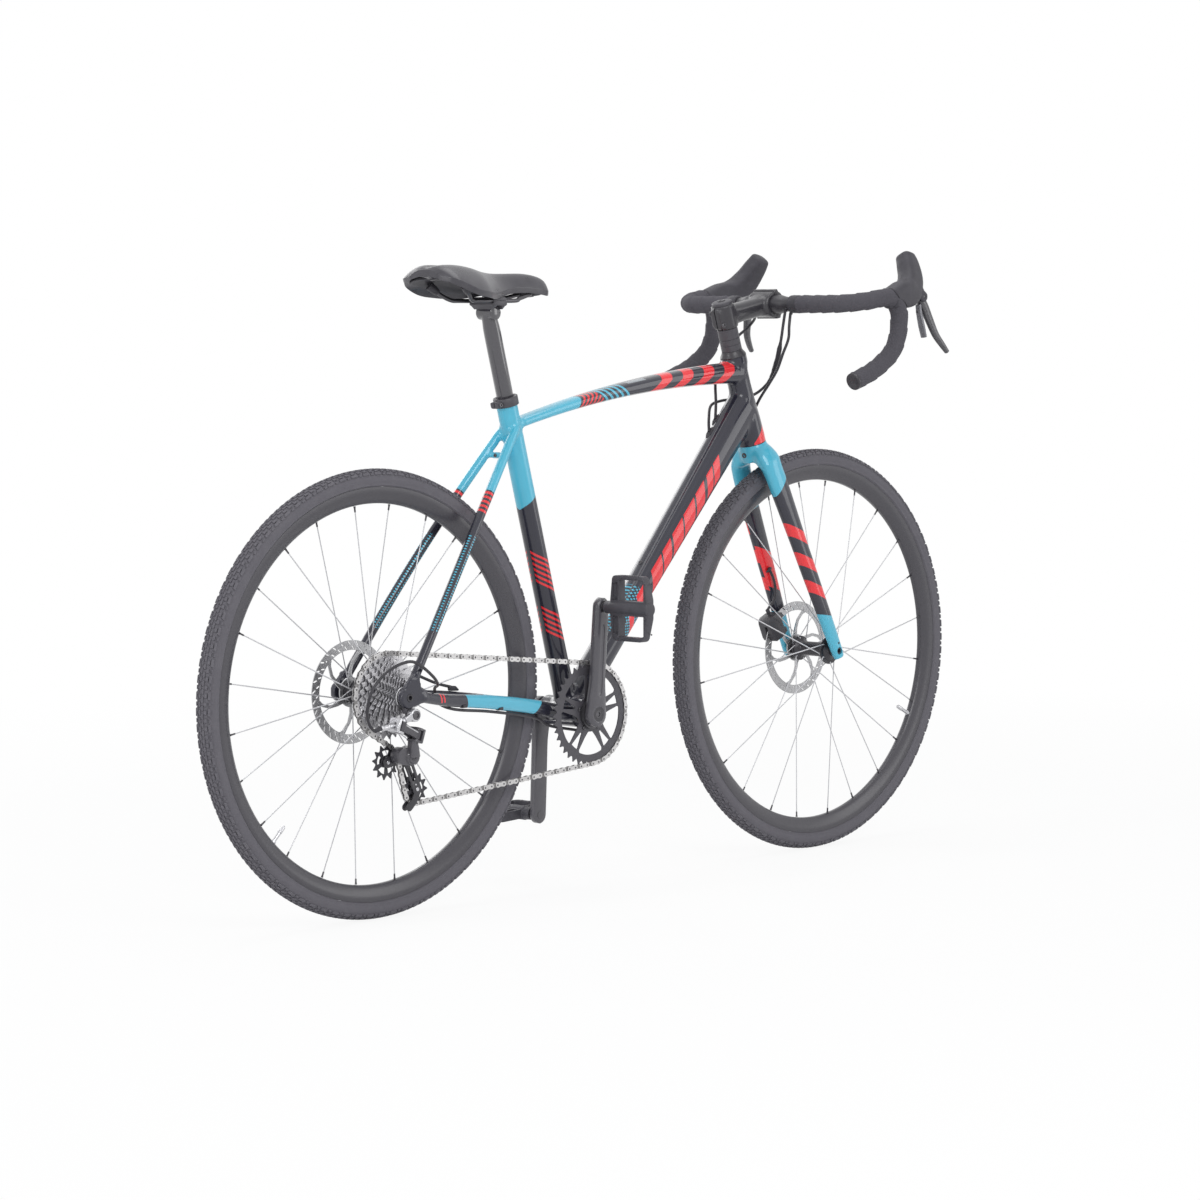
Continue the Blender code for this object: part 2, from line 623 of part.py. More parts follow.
def make_seat_tube():
    profile = [(0.0, SEAT_TUBE_RADIUS * 1.06), (0.16, SEAT_TUBE_RADIUS), (SEAT_TUBE_LENGTH, SEAT_TUBE_RADIUS)]
    return add_object("seat_tube", stack_of_rings(profile, BB, SEAT_AXIS, 16, hint=Y), None)


def make_bb_shell():
    half = BB_SHELL_WIDTH / 2
    return add_object("bb_shell", rod(BB - half * Y, BB + half * Y, BB_SHELL_RADIUS, 16, hint=Z), None)


def dropout_centre(sign):
    return REAR_AXLE + Vector((0, sign * REAR_DROPOUT_MIDDLE, 0))


def make_seat_stay(sign):
    foot = dropout_centre(sign) + Vector((SEAT_STAY_FOOT_FORWARD, -sign * 0.002, SEAT_STAY_FOOT_RISE))
    head = SEAT_STAY_TOP + Vector((0, sign * SEAT_STAY_TOP_SPREAD, 0))
    bow = Vector((-SEAT_STAY_BOW, sign * SEAT_STAY_BOW, 0))
    path = []
    for t in (0.0, 0.12, 0.35, 0.6, 0.85, 1.0):
        path.append(blend(foot, head, t) + bow * math.sin(math.pi * t))
    sections = [(SEAT_STAY_RADIUS, SEAT_STAY_RADIUS)] * len(path)
    return add_object("seat_stay", sweep(path, sections, 8), None)


def chainstay_path(sign):
    foot = dropout_centre(sign) + Vector((CHAINSTAY_FOOT_FORWARD, 0, -0.001))
    tyre_front = REAR_AXLE.x + WHEEL_RADIUS
    beside_tyre = TYRE_WIDTH / 2 + TYRE_GAP + CHAINSTAY_WIDTH / 2
    return [foot,
            Vector((REAR_AXLE.x + 0.100, sign * 0.0625, AXLE_HEIGHT - 0.013)),
            Vector((REAR_AXLE.x + 0.200, sign * 0.0500, AXLE_HEIGHT - 0.024)),
            Vector((tyre_front - 0.030, sign * beside_tyre, AXLE_HEIGHT - 0.042)),
            Vector((tyre_front + 0.030, sign * beside_tyre, BB.z + 0.004)),
            Vector((BB.x - 0.004, sign * beside_tyre, BB.z))]


def make_chainstay(sign):
    path = chainstay_path(sign)
    heights = (0.80, 0.90, 1.05, 1.10, 1.20, 1.30)
    sections = [(CHAINSTAY_WIDTH / 2, CHAINSTAY_HEIGHT / 2 * share) for share in heights]
    return add_object("chainstay", sweep(path, sections, 12, power=2.4), None)


def make_dropout(sign):
    """Plate round the rear axle that the two stays run into."""
    inner = REAR_SPACING / 2
    outer = inner + DROPOUT_THICKNESS
    outline = (arc(0, 0, DROPOUT_RADIUS, 118, 292, 8)
               + [(0.030, -0.0100), (0.040, 0.0075), (0.0240, 0.0150), (0.0205, 0.0330), (0.0075, 0.0330)])
    plate = prism(outline, sign * inner, sign * outer, side_view(REAR_AXLE))
    return add_object("dropout", plate, None)


def make_frame(paint):
    frame = make_seat_tube()
    frame.name = "frame"
    unite(frame, make_down_tube(), make_top_tube(), make_head_tube(), make_bb_shell())
    tyre_front = REAR_AXLE.x + WHEEL_RADIUS
    yoke_half = TYRE_WIDTH / 2 + TYRE_GAP + CHAINSTAY_WIDTH / 2
    yoke = sweep([Vector((tyre_front + 0.016, 0, BB.z + 0.003)), Vector((BB.x, 0, BB.z))],
                 [(yoke_half, CHAINSTAY_HEIGHT * 0.58), (yoke_half, CHAINSTAY_HEIGHT * 0.62)], 10, power=4)
    unite(frame, add_object("yoke", yoke, None))
    for sign in SIDES.values():
        unite(frame, make_chainstay(sign), make_seat_stay(sign), make_dropout(sign))
    bridge_place = SEAT_STAY_TOP - Vector((BRIDGE_BEHIND, 0, BRIDGE_BELOW))
    reach = (SEAT_STAY_TOP_SPREAD + SEAT_STAY_RADIUS / 2) * Y
    bridge = rod(bridge_place - reach, bridge_place + reach, BRIDGE_RADIUS, 8, hint=Z)
    unite(frame, add_object("bridge", bridge, None))
    post_bore = SEATPOST_RADIUS + CLEARANCE
    cut(frame,
        add_object("post_bore", rod(on_seat_tube(SEAT_TUBE_LENGTH - SEATPOST_INSERTED - SEATPOST_DROP - 0.006),
                                    on_seat_tube(SEAT_TUBE_LENGTH + 0.02), post_bore, 18), None),
        add_object("head_bore", rod(on_steerer(CROWN_RACE - 0.02), on_steerer(HEAD_TOP + 0.02),
                                    HEAD_BORE_RADIUS, 18), None),
        add_object("bb_bore", rod(BB - 0.06 * Y, BB + 0.06 * Y, BB_BORE_RADIUS, 16, hint=Z), None),
        add_object("axle_bore", rod(REAR_AXLE - 0.1 * Y, REAR_AXLE + 0.1 * Y, AXLE_RADIUS + CLEARANCE, 12,
                                    hint=Z), None))
    frame.data.materials.append(paint)
    return frame


def make_seat_collar(paint):
    inner = SEAT_TUBE_RADIUS + CLEARANCE
    lip = SEATPOST_RADIUS + CLEARANCE
    top = SEAT_TUBE_LENGTH + COLLAR_LIP
    profile = [(COLLAR_BOTTOM, inner), (COLLAR_BOTTOM, COLLAR_RADIUS), (top, COLLAR_RADIUS), (top, lip),
               (SEAT_TUBE_LENGTH + CLEARANCE, lip), (SEAT_TUBE_LENGTH + CLEARANCE, inner)]
    collar = add_object("seat_collar", turned(profile, BB, SEAT_AXIS, 18, hint=Y), paint)
    middle = on_seat_tube((COLLAR_BOTTOM + top) / 2)
    back = Vector((-SEAT_AXIS.z, 0, SEAT_AXIS.x))
    half = (top - COLLAR_BOTTOM) / 2
    lug = sweep([middle + back * (COLLAR_RADIUS - 0.002), middle + back * (COLLAR_RADIUS + COLLAR_LUG_LENGTH)],
                [(0.0100, half * 0.8), (0.0090, half * 0.7)], 8, power=4)
    return unite(collar, add_object("collar_lug", lug, None))


# Fork and headset

def fork_leg_top(sign):
    return on_steerer(CROWN_RACE - FORK_LEG_TOP_BELOW_RACE) + Y * (sign * FORK_LEG_SPREAD_TOP)


def front_dropout(sign):
    return FRONT_AXLE + Vector((0, sign * FRONT_DROPOUT_MIDDLE, 0))


def make_fork(paint):
    """Steerer, crown and two straight legs in one piece."""
    crown_top = CROWN_RACE - CLEARANCE
    steerer = [(CROWN_RACE - 0.030, STEERER_RADIUS), (STEM_TOP - 0.003, STEERER_RADIUS)]
    fork = add_object("fork", stack_of_rings(steerer, STEER_FOOT, STEER_AXIS, 18, hint=Y), paint)
    race = [(CROWN_RACE - 0.020, HEAD_TUBE_LOW_RADIUS + 0.001), (crown_top, HEAD_TUBE_LOW_RADIUS)]
    unite(fork, add_object("crown_race", stack_of_rings(race, STEER_FOOT, STEER_AXIS, 18, hint=Y), None))
    for sign in SIDES.values():
        start = on_steerer(CROWN_RACE - 0.012) + Vector((0, sign * 0.010, 0))
        shoulder = on_steerer(CROWN_RACE - 0.030) + Vector((0, sign * 0.0270, 0))
        top, foot = fork_leg_top(sign), front_dropout(sign)
        beyond = foot + (foot - top).normalized() * 0.0130
        path = [start, shoulder, top, blend(top, foot, 0.5), foot - (foot - top) * 0.05, beyond]
        depth_top, depth_low = FORK_LEG_DEPTH_TOP / 2, FORK_LEG_DEPTH_LOW / 2
        width_top, width_low = FORK_LEG_WIDTH_TOP / 2, FORK_LEG_WIDTH_LOW / 2
        sections = [(0.0180, 0.0200), (0.0150, 0.0225), (width_top, depth_top),
                    (blend(width_top, width_low, 0.5), blend(depth_top, depth_low, 0.5)),
                    (width_low, depth_low), (width_low, depth_low * 0.75)]
        rings = []
        along_leg = (foot - top).normalized()
        for index, (point, (half_side, half_other)) in enumerate(zip(path, sections)):
            along = (top - start).normalized() if index < 2 else along_leg
            side, other = across(along)
            rings.append(oval(point, side, other, half_side, half_other, 12, 2.3))
        unite(fork, add_object("leg", skin(rings), None))
    flat = FRONT_SPACING / 2
    gap = add_object("hub_gap", prism(arc(0, 0, 0.024, 0, 330, 11), -flat, flat, side_view(FRONT_AXLE)), None)
    bore = add_object("axle_bore", rod(FRONT_AXLE - 0.1 * Y, FRONT_AXLE + 0.1 * Y, AXLE_RADIUS + CLEARANCE, 12,
                                       hint=Z), None)
    return cut(fork, gap, bore)


def make_headset(paints):
    bore = STEERER_RADIUS + CLEARANCE
    cover = [(HEAD_TOP + CLEARANCE, bore), (HEAD_TOP + CLEARANCE, HEAD_TUBE_TOP_RADIUS - 0.001),
             (COVER_TOP, SPACER_RADIUS), (COVER_TOP, bore)]
    add_object("headset_cover", turned(cover, STEER_FOOT, STEER_AXIS, 20, hint=Y), paints["black_alloy"])
    spacer = [(COVER_TOP + CLEARANCE, bore), (COVER_TOP + CLEARANCE, SPACER_RADIUS),
              (STEM_BOTTOM - CLEARANCE, SPACER_RADIUS), (STEM_BOTTOM - CLEARANCE, bore)]
    add_object("headset_spacers", turned(spacer, STEER_FOOT, STEER_AXIS, 18, hint=Y), paints["black_alloy"])
    cap = [(STEM_TOP + CLEARANCE, SPACER_RADIUS), (STEM_TOP + 0.0045, SPACER_RADIUS),
           (STEM_TOP + 0.0065, SPACER_RADIUS - 0.003)]
    add_object("stem_top_cap", stack_of_rings(cap, STEER_FOOT, STEER_AXIS, 18, hint=Y), paints["black_alloy"])


def make_stem(paint):
    clamp = [(STEM_BOTTOM, STEM_CLAMP_RADIUS), (STEM_TOP, STEM_CLAMP_RADIUS)]
    stem = add_object("stem", stack_of_rings(clamp, STEER_FOOT, STEER_AXIS, 18, hint=Y), paint)
    start, end = on_steerer(STEM_MIDDLE), BAR_CENTRE
    path = [blend(start, end, t) for t in (0.0, 0.35, 0.75, 0.93)]
    half = STEM_ARM_WIDTH / 2
    sections = [(half * 0.9, 0.0190), (half * 0.92, 0.0165), (half, 0.0165), (BAR_CLAMP_WIDTH / 2, 0.0200)]
    unite(stem, add_object("stem_arm", sweep(path, sections, 14, power=2.6), None))
    half_clamp = BAR_CLAMP_WIDTH / 2
    barrel = rod(BAR_CENTRE - half_clamp * Y, BAR_CENTRE + half_clamp * Y, FACEPLATE_RADIUS, 20, hint=Z)
    unite(stem, add_object("bar_clamp", barrel, None))
    split = FACEPLATE_RADIUS + 0.01
    front = [(-CLEARANCE, -split), (0.05, -split), (0.05, split), (-CLEARANCE, split)]
    cut(stem, add_object("faceplate_space", prism(front, -0.05, 0.05, along_stem), None), bar_bore(),
        add_object("steerer_bore", rod(on_steerer(STEM_BOTTOM - 0.01), on_steerer(STEM_TOP + 0.01),
                                       STEERER_RADIUS + CLEARANCE, 18), None))
    back = [(-0.05, -split), (0, -split), (0, split), (-0.05, split)]
    barrel = rod(BAR_CENTRE - half_clamp * Y, BAR_CENTRE + half_clamp * Y, FACEPLATE_RADIUS, 20, hint=Z)
    faceplate = add_object("stem_faceplate", barrel, paint)
    cut(faceplate, add_object("stem_space", prism(back, -0.05, 0.05, along_stem), None), bar_bore())


def along_stem(u, v, w):
    """Point at u along the stem from the bar's centre, v above it and w to the left."""
    up = STEM_DIRECTION.cross(Y) * -1
    return BAR_CENTRE + STEM_DIRECTION * u + up * v + Y * w


def bar_bore():
    bore = rod(BAR_CENTRE - 0.04 * Y, BAR_CENTRE + 0.04 * Y, BAR_CLAMP_RADIUS + CLEARANCE, 20, hint=Z)
    return add_object("bar_bore", bore, None)


# Handlebar, tape and controls

def bar_point(u, v, w):
    """World point of a place on the handlebar: u forward of its centre, v above and w outward on the left."""
    return BAR_CENTRE + Vector((u, w, v))


def bar_side_path():
    """Centre line of one half of the handlebar, from beside the clamp to the end of the drop."""
    corner, width = BAR_CORNER_RADIUS, BAR_HALF_WIDTH
    path = [bar_point(0, 0, TAPE_START), bar_point(0, 0, width - corner)]
    for angle in (30, 60):
        turn = math.radians(angle)
        u = corner * (1 - math.cos(turn))
        path.append(bar_point(u, u * BAR_RAMP_SLOPE, width - corner + corner * math.sin(turn)))
    return path + [bar_point(u, v, width) for u, v in DROP_LINE]


def smooth_rings(path, radius):
    """Rings carried along a path with the least twist."""
    along = directions(path)
    side, _ = across(along[0], Z)
    rings = []
    for point, ahead in zip(path, along):
        side, other = across(ahead, side)
        rings.append(oval(point, side, other, radius, radius, BAR_SIDES))
    return rings


def sleeve(outer, inner):
    """Bmesh of a pipe between outer and inner rings of equally many points."""
    bm = bmesh.new()
    shells = [[[bm.verts.new(point) for point in ring] for ring in rings] for rings in (outer, inner)]
    count = len(outer[0])
    for shell in shells:
        for first, second in zip(shell, shell[1:]):
            for i in range(count):
                j = (i + 1) % count
                bm.faces.new((first[i], first[j], second[j], second[i]))
    for end in (0, -1):
        for i in range(count):
            j = (i + 1) % count
            bm.faces.new((shells[0][end][i], shells[0][end][j], shells[1][end][j], shells[1][end][i]))
    return bm


def mirrored(rings, sign):
    return [[Vector((p.x, sign * p.y, p.z)) for p in ring] for ring in rings]


def make_handlebar(paints):
    half = bar_side_path()
    slim = smooth_rings(half, BAR_RADIUS)
    along = directions(half)
    side, other = across(along[0], Z)
    clamp_edge = BAR_CLAMP_WIDTH / 2 + 0.008
    thick = oval(bar_point(0, 0, clamp_edge), side, other, BAR_CLAMP_RADIUS, BAR_CLAMP_RADIUS, BAR_SIDES)
    end_cap = smooth_rings(half, TAPE_RADIUS - 0.0005)[-1]
    outward = along[-1]
    plug = [[p + outward * (CLEARANCE + 0.0002) for p in end_cap], [p + outward * 0.0035 for p in end_cap]]
    neck = [[p + outward * (CLEARANCE + 0.0001) for p in slim[-1]]]
    left = [thick] + slim + neck + plug
    bar = skin(list(reversed(mirrored(left, -1))) + left)
    add_object("handlebar", bar, paints["black_alloy"], BAR_CENTRE)
    outer, inner = smooth_rings(half, TAPE_RADIUS), smooth_rings(half, BAR_RADIUS + CLEARANCE)
    for name, sign in SIDES.items():
        # Both halves are skinned in the bar's order, so that their facets match it
        tape = sleeve(mirrored(outer, sign)[::sign], mirrored(inner, sign)[::sign])
        add_object("bar_tape_" + name, tape, paints["bar_tape"])


def spine_rings(spine, sign, count, power):
    points = [bar_point(u, v, w) for u, v, w, _, _ in spine]
    rings = []
    for point, along, row in zip(points, directions(points), spine):
        side, other = across(along)
        rings.append(oval(point, side, other, row[3], row[4], count, power))
    return mirrored(rings, sign)


def spine_start(spine, sign):
    """First point of a spine, where a lever or the paddle turns."""
    u, v, w, _, _ = spine[0]
    return bar_point(u, v, sign * w)


def cheeks_bmesh(pivot):
    """Bracket from inside the hood down to the lever's pivot, before the pocket splits it into two cheeks."""
    inward = Vector((-1, 0, 1)).normalized() * CHEEK_REACH
    half = HOOD_POCKET_HALF_WIDTH + CHEEK_THICKNESS
    return sweep([pivot + inward, pivot], [(half, CHEEK_RADIUS)] * 2, 8, power=8)


def paddle_pin(reach_forward, reach_back, radius):
    """Bar along X on the paddle's pivot, before and behind the paddle's middle."""
    pivot = paddle_pivot()
    return rod(pivot + X * reach_forward, pivot - X * reach_back, radius, 10, hint=Z)


def paddle_pivot():
    return spine_start(PADDLE_SPINE, -1) - Z * PADDLE_PIN_BELOW


def make_controls(paints):
    half = bar_side_path()
    hood_half = HOOD_POCKET_HALF_WIDTH + CHEEK_THICKNESS
    eye_sizes = ((LEVER_EYE_RADIUS, LEVER_EYE_HALF_WIDTH), (LEVER_PIN_RADIUS, hood_half))
    for name, sign in SIDES.items():
        hood = add_object("brake_hood_" + name, skin(spine_rings(HOOD_SPINE, sign, 12, 2.5)),
                          paints["hood_rubber"])
        bar_space = skin(mirrored(smooth_rings(half, TAPE_RADIUS + CLEARANCE), sign)[::sign])
        pivot = spine_start(LEVER_SPINE, sign)
        reach = HOOD_POCKET_HALF_WIDTH
        pocket = rod(pivot - reach * Y, pivot + reach * Y, HOOD_POCKET_RADIUS, 12, hint=Z)
        slot_outline = [(-HOOD_POCKET_RADIUS, 0), (0.04, 0), (0.06, -0.09), (-HOOD_POCKET_RADIUS, -0.09)]
        slot = prism(slot_outline, pivot.y - reach, pivot.y + reach, side_view(pivot))
        unite(hood, add_object("cheeks", cheeks_bmesh(pivot), None),
              add_object("cheek_end", rod(pivot - hood_half * Y, pivot + hood_half * Y, CHEEK_RADIUS, 16, hint=Z), None))
        pin_bore = rod(pivot - 0.03 * Y, pivot + 0.03 * Y, LEVER_PIN_RADIUS + CLEARANCE, 10, hint=Z)
        cut(hood, add_object("bar_space", bar_space, None), add_object("pivot_space", pocket, None),
            add_object("lever_space", slot, None), add_object("pin_bore", pin_bore, None))
        lever = add_object("brake_lever_" + name, skin(spine_rings(LEVER_SPINE, sign, 8, 2.6)),
                           paints["black_alloy"])
        for radius, reach in eye_sizes:
            unite(lever, add_object("eye", rod(pivot - reach * Y, pivot + reach * Y, radius, 10, hint=Z), None))
        if name == "right":
            paddle_front = PADDLE_SPINE[1][4] + RUNNING_GAP
            unite(lever, add_object("boss", paddle_pin(0.0150, -paddle_front, PADDLE_BOSS_RADIUS), None),
                  add_object("pin", paddle_pin(0.0150, paddle_front + 0.0010, PADDLE_PIN_RADIUS), None))
        place_origin(lever, pivot)
    paddle = add_object("shift_paddle", skin(spine_rings(PADDLE_SPINE, -1, 8, 2.6)), paints["black_alloy"])
    cut(paddle, add_object("pin_bore", paddle_pin(0.0100, 0.0200, PADDLE_PIN_RADIUS + CLEARANCE), None))
    place_origin(paddle, paddle_pivot())


def place_origin(obj, point):
    """Moves an object's origin to a point and leaves its mesh where it is."""
    obj.data.transform(Matrix.Translation(obj.location - Vector(point)))
    obj.location = point


# Wheels

def make_tyre(name, centre, paint):
    half, wall = TYRE_WIDTH / 2, TYRE_WALL
    bead = RIM_OUTER_RADIUS + CLEARANCE
    depth = WHEEL_RADIUS - bead
    seat = RIM_WIDTH / 2
    tread = half * 0.50
    profile = [(-seat, bead), (-half, bead + 0.55 * depth), (-tread, WHEEL_RADIUS), (tread, WHEEL_RADIUS),
               (half, bead + 0.55 * depth), (seat, bead), (seat - wall, bead), (0, WHEEL_RADIUS - 2 * wall),
               (-seat + wall, bead)]
    return add_object(name, turned(profile, centre, Y, WHEEL_SEGMENTS, phase=0), paint, centre)


def make_rim(name, centre, paint):
    half, outer = RIM_WIDTH / 2, RIM_OUTER_RADIUS
    crown = half * 0.44
    shoulder = outer - 0.010
    profile = [(-half, outer), (-half, shoulder), (-crown, RIM_INNER_RADIUS), (crown, RIM_INNER_RADIUS),
               (half, shoulder), (half, outer), (half - RIM_WALL, outer), (0, outer - 0.0110),
               (-half + RIM_WALL, outer)]
    return add_object(name, turned(profile, centre, Y, WHEEL_SEGMENTS, phase=0), paint, centre)


def make_spokes(name, centre, offset, flange_radius, phase, paint):
    """Half of a wheel's spokes, bound at the flange by the ring that they hook into."""
    half, inner = FLANGE_RING_THICKNESS / 2, flange_radius - FLANGE_RING_DEPTH
    ring = [(offset - half, inner), (offset - half, flange_radius), (offset + half, flange_radius),
            (offset + half, inner)]
    lacing = add_object(name, turned(ring, centre, Y, 12, hint=Z), paint, centre)
    reach = RIM_INNER_RADIUS * math.cos(math.pi / WHEEL_SEGMENTS) - CLEARANCE * 2
    rim_side = math.copysign(RIM_WIDTH * 0.10, offset)
    root_radius = flange_radius - FLANGE_RING_DEPTH / 2
    for i in range(SPOKES_PER_SIDE):
        angle = 2 * math.pi * (i + phase) / SPOKES_PER_SIDE
        turn = 1 if i % 2 else -1
        lean = angle + SPOKE_LEAN * turn
        root_offset = offset + SPOKE_STAGGER * turn
        root = centre + Vector((root_radius * math.cos(lean), root_offset, root_radius * math.sin(lean)))
        tip = centre + Vector((reach * math.cos(angle), rim_side, reach * math.sin(angle)))
        unite(lacing, add_object("spoke", rod(root, tip, SPOKE_RADIUS, 4), None))
    place_origin(lacing, centre)
    return lacing


def make_rotor(name, centre, offset, paint):
    """Disc with a braking band, six arms and a carrier ring."""
    half = ROTOR_THICKNESS / 2
    inner_band = ROTOR_RADIUS - ROTOR_BAND
    carrier, bore = 0.0235, 0.0165
    ring = [(offset - half, bore), (offset - half, ROTOR_RADIUS), (offset + half, ROTOR_RADIUS),
            (offset + half, bore)]
    rotor = add_object(name, turned(ring, centre, Y, 24, hint=Z), paint, centre)
    arms = 6
    for i in range(arms):
        start, end = 360 * i / arms, 360 * (i + 1) / arms
        outline = (arc(0, 0, inner_band, start + 4, end - 4, 4)
                   + arc(0, 0, carrier, end - 30, start + 2, 2))
        window = prism(outline, offset - ROTOR_THICKNESS, offset + ROTOR_THICKNESS, side_view(centre))
        cut(rotor, add_object("rotor_window", window, None))
    place_origin(rotor, centre)
    return rotor


def make_hub(name, centre, spacing, flanges, rotor_offset, paint, freehub=False):
    """Hub shell with the seats of both flange rings and of the rotor. At the rear, its right end carries
    the cassette."""
    end = spacing / 2 - CLEARANCE
    bore = AXLE_RADIUS + CLEARANCE
    (right, right_radius), (left, left_radius) = flanges["right"], flanges["left"]
    edge = FLANGE_RING_THICKNESS / 2 + CLEARANCE
    seat_depth = FLANGE_RING_DEPTH + CLEARANCE
    shoulder = right - edge - 0.0030 if freehub else -end + 0.0060
    rotor_face = rotor_offset - ROTOR_THICKNESS / 2 - CLEARANCE
    profile = [(-end, bore), (-end, HUB_CAP_RADIUS), (shoulder, HUB_CAP_RADIUS),
               (right - edge, right_radius - seat_depth), (right + edge, right_radius - seat_depth),
               (right + edge, right_radius - 0.002), (right + edge + 0.0030, right_radius - 0.003),
               (right + edge + 0.0080, HUB_BARREL_RADIUS), (left - edge - 0.0080, HUB_BARREL_RADIUS),
               (left - edge - 0.0030, left_radius - 0.003), (left - edge, left_radius - 0.002),
               (left - edge, left_radius - seat_depth), (left + edge, left_radius - seat_depth),
               (rotor_face, left_radius - seat_depth), (rotor_face, ROTOR_SEAT_RADIUS),
               (rotor_offset + 0.003, ROTOR_SEAT_RADIUS), (rotor_offset + 0.004, HUB_CAP_RADIUS),
               (end, HUB_CAP_RADIUS), (end, bore)]
    return add_object(name, turned(profile, centre, Y, 12, hint=Z), paint, centre)


def make_thru_axle(name, centre, half_length, paint):
    axle = rod(centre - half_length * Y, centre + half_length * Y, AXLE_RADIUS, 12, hint=Z)
    return add_object(name, axle, paint, centre)


def make_wheel(end, centre, spacing, flanges, rotor_offset, axle_half, paints):
    make_tyre(end + "_tyre", centre, paints["tread_rubber"])
    make_rim(end + "_rim", centre, paints["rim_black"])
    for index, side in enumerate(("right", "left")):
        offset, radius = flanges[side]
        make_spokes(f"{end}_spokes_{side}", centre, offset, radius, 0.25 + 0.5 * index, paints["spoke_steel"])
    make_hub(end + "_hub", centre, spacing, flanges, rotor_offset, paints["black_alloy"], end == "rear")
    make_rotor(end + "_rotor", centre, rotor_offset, paints["silver_alloy"])
    make_thru_axle(end + "_axle", centre, axle_half, paints["black_alloy"])


def make_caliper(name, axle, rotor_offset, angle, back_angle, foot, paint):
    """Caliper that straddles the rotor at an angle round the axle. Its back faces back_angle, and its foot
    reaches the other way. Returns its place function: u along its length, v towards its back, w to the left."""
    reach = ROTOR_RADIUS - ROTOR_BAND * 0.45
    middle = axle + Vector((reach * math.cos(angle), rotor_offset, reach * math.sin(angle)))
    outward = Vector((math.cos(back_angle), 0, math.sin(back_angle)))
    tangent = outward.cross(Y)

    def place(u, v, w):
        return middle + tangent * u + outward * v + Y * w
    half, depth = CALIPER_LENGTH / 2, CALIPER_DEPTH
    outline = [(-half * 0.8, -foot), (half * 0.8, -foot), (half, -depth * 0.6), (half, depth * 0.5),
               (half * 0.6, depth), (-half * 0.6, depth), (-half, depth * 0.5), (-half, -depth * 0.6)]
    caliper = add_object(name, prism(outline, -CALIPER_INNER_HALF, CALIPER_OUTER_HALF, place), paint)
    rotor_middle = axle + rotor_offset * Y
    slot = rod(rotor_middle - PAD_SLOT / 2 * Y, rotor_middle + PAD_SLOT / 2 * Y, ROTOR_RADIUS + PAD_SLOT / 2, 32,
               hint=Z)
    cut(caliper, add_object("pad_slot", slot, None))
    return place


# Drivetrain

def sprocket(teeth, offset, thickness, centre, with_roots=True):
    low, high = -offset - thickness / 2, -offset + thickness / 2
    return prism(toothed_outline(teeth, with_roots), low, high, side_view(centre))


def make_cassette(paint):
    """Sprockets on a carrier that runs on the hub's axle end. The largest one, which the chain is on, has
    its tooth roots cut."""
    first = -SMALLEST_COG_OFFSET
    last = -LARGEST_COG_OFFSET
    bore = HUB_CAP_RADIUS + RUNNING_GAP
    core = [(first - 0.0025, 0.0165), (first, 0.0175), (last + 0.002, 0.0275)]
    cassette = add_object("cassette", stack_of_rings(core, REAR_AXLE, Y, 12, hint=Z), paint, REAR_AXLE)
    for index, teeth in enumerate(COG_TEETH):
        offset = SMALLEST_COG_OFFSET - COG_SPACING * index
        disc = sprocket(teeth, offset, COG_THICKNESS, REAR_AXLE, index == len(COG_TEETH) - 1)
        unite(cassette, add_object("cog", disc, None))
    tool = rod(REAR_AXLE + 1.2 * first * Y, REAR_AXLE + 0.5 * last * Y, bore, 14, hint=Z)
    cut(cassette, add_object("cassette_bore", tool, None))
    place_origin(cassette, REAR_AXLE)
    return cassette


def make_chainring(paint):
    """Toothed ring on five forked arms, seated on the crank spindle."""
    ring = add_object("chainring", sprocket(CHAINRING_TEETH, CHAINLINE, CHAINRING_THICKNESS, BB), paint)
    inner, hub = pitch_radius(CHAINRING_TEETH) - 0.0155, 0.0300
    arms = 5
    for i in range(arms):
        middle = 90 + 360 * (i + 0.5) / arms
        wide = (arc(0, 0, inner, middle - 22, middle + 22, 4) + arc(0, 0, hub, middle + 12, middle - 12, 1))
        narrow_middle = middle + 180 / arms
        narrow = (arc(0, 0, inner - 0.004, narrow_middle - 7.5, narrow_middle + 7.5, 1)
                  + arc(0, 0, hub + 0.008, narrow_middle + 3, narrow_middle - 3, 1))
        for outline in (wide, narrow):
            window = prism(outline, -CHAINLINE - 0.005, -CHAINLINE + 0.005, side_view(BB))
            cut(ring, add_object("ring_window", window, None))
    bore = rod(BB + (-CHAINLINE - 0.02) * Y, BB + (-CHAINLINE + 0.02) * Y, SPINDLE_RADIUS + CLEARANCE, 18, hint=Z)
    cut(ring, add_object("ring_bore", bore, None))
    place_origin(ring, BB)
    return ring


def crank_direction(sign):
    """Unit vector from the spindle to the pedal in the side view."""
    up = Vector((math.sin(CRANK_TURN), 0, math.cos(CRANK_TURN)))
    return up if sign < 0 else -up


def pedal_centre(sign):
    return BB + crank_direction(sign) * CRANK_LENGTH


def crank_outline():
    """Long oval from the boss to the pedal eye, drawn along +v."""
    boss, eye, length = CRANK_BOSS_RADIUS, CRANK_EYE_RADIUS, CRANK_LENGTH
    waist, slim = CRANK_WAIST, CRANK_WAIST * 0.96
    return (arc(0, 0, boss, 155, 385, 10) + [(waist, length * 0.26), (slim, length * 0.7)]
            + arc(0, length, eye, 0, 180, 6) + [(-slim, length * 0.7), (-waist, length * 0.26)])


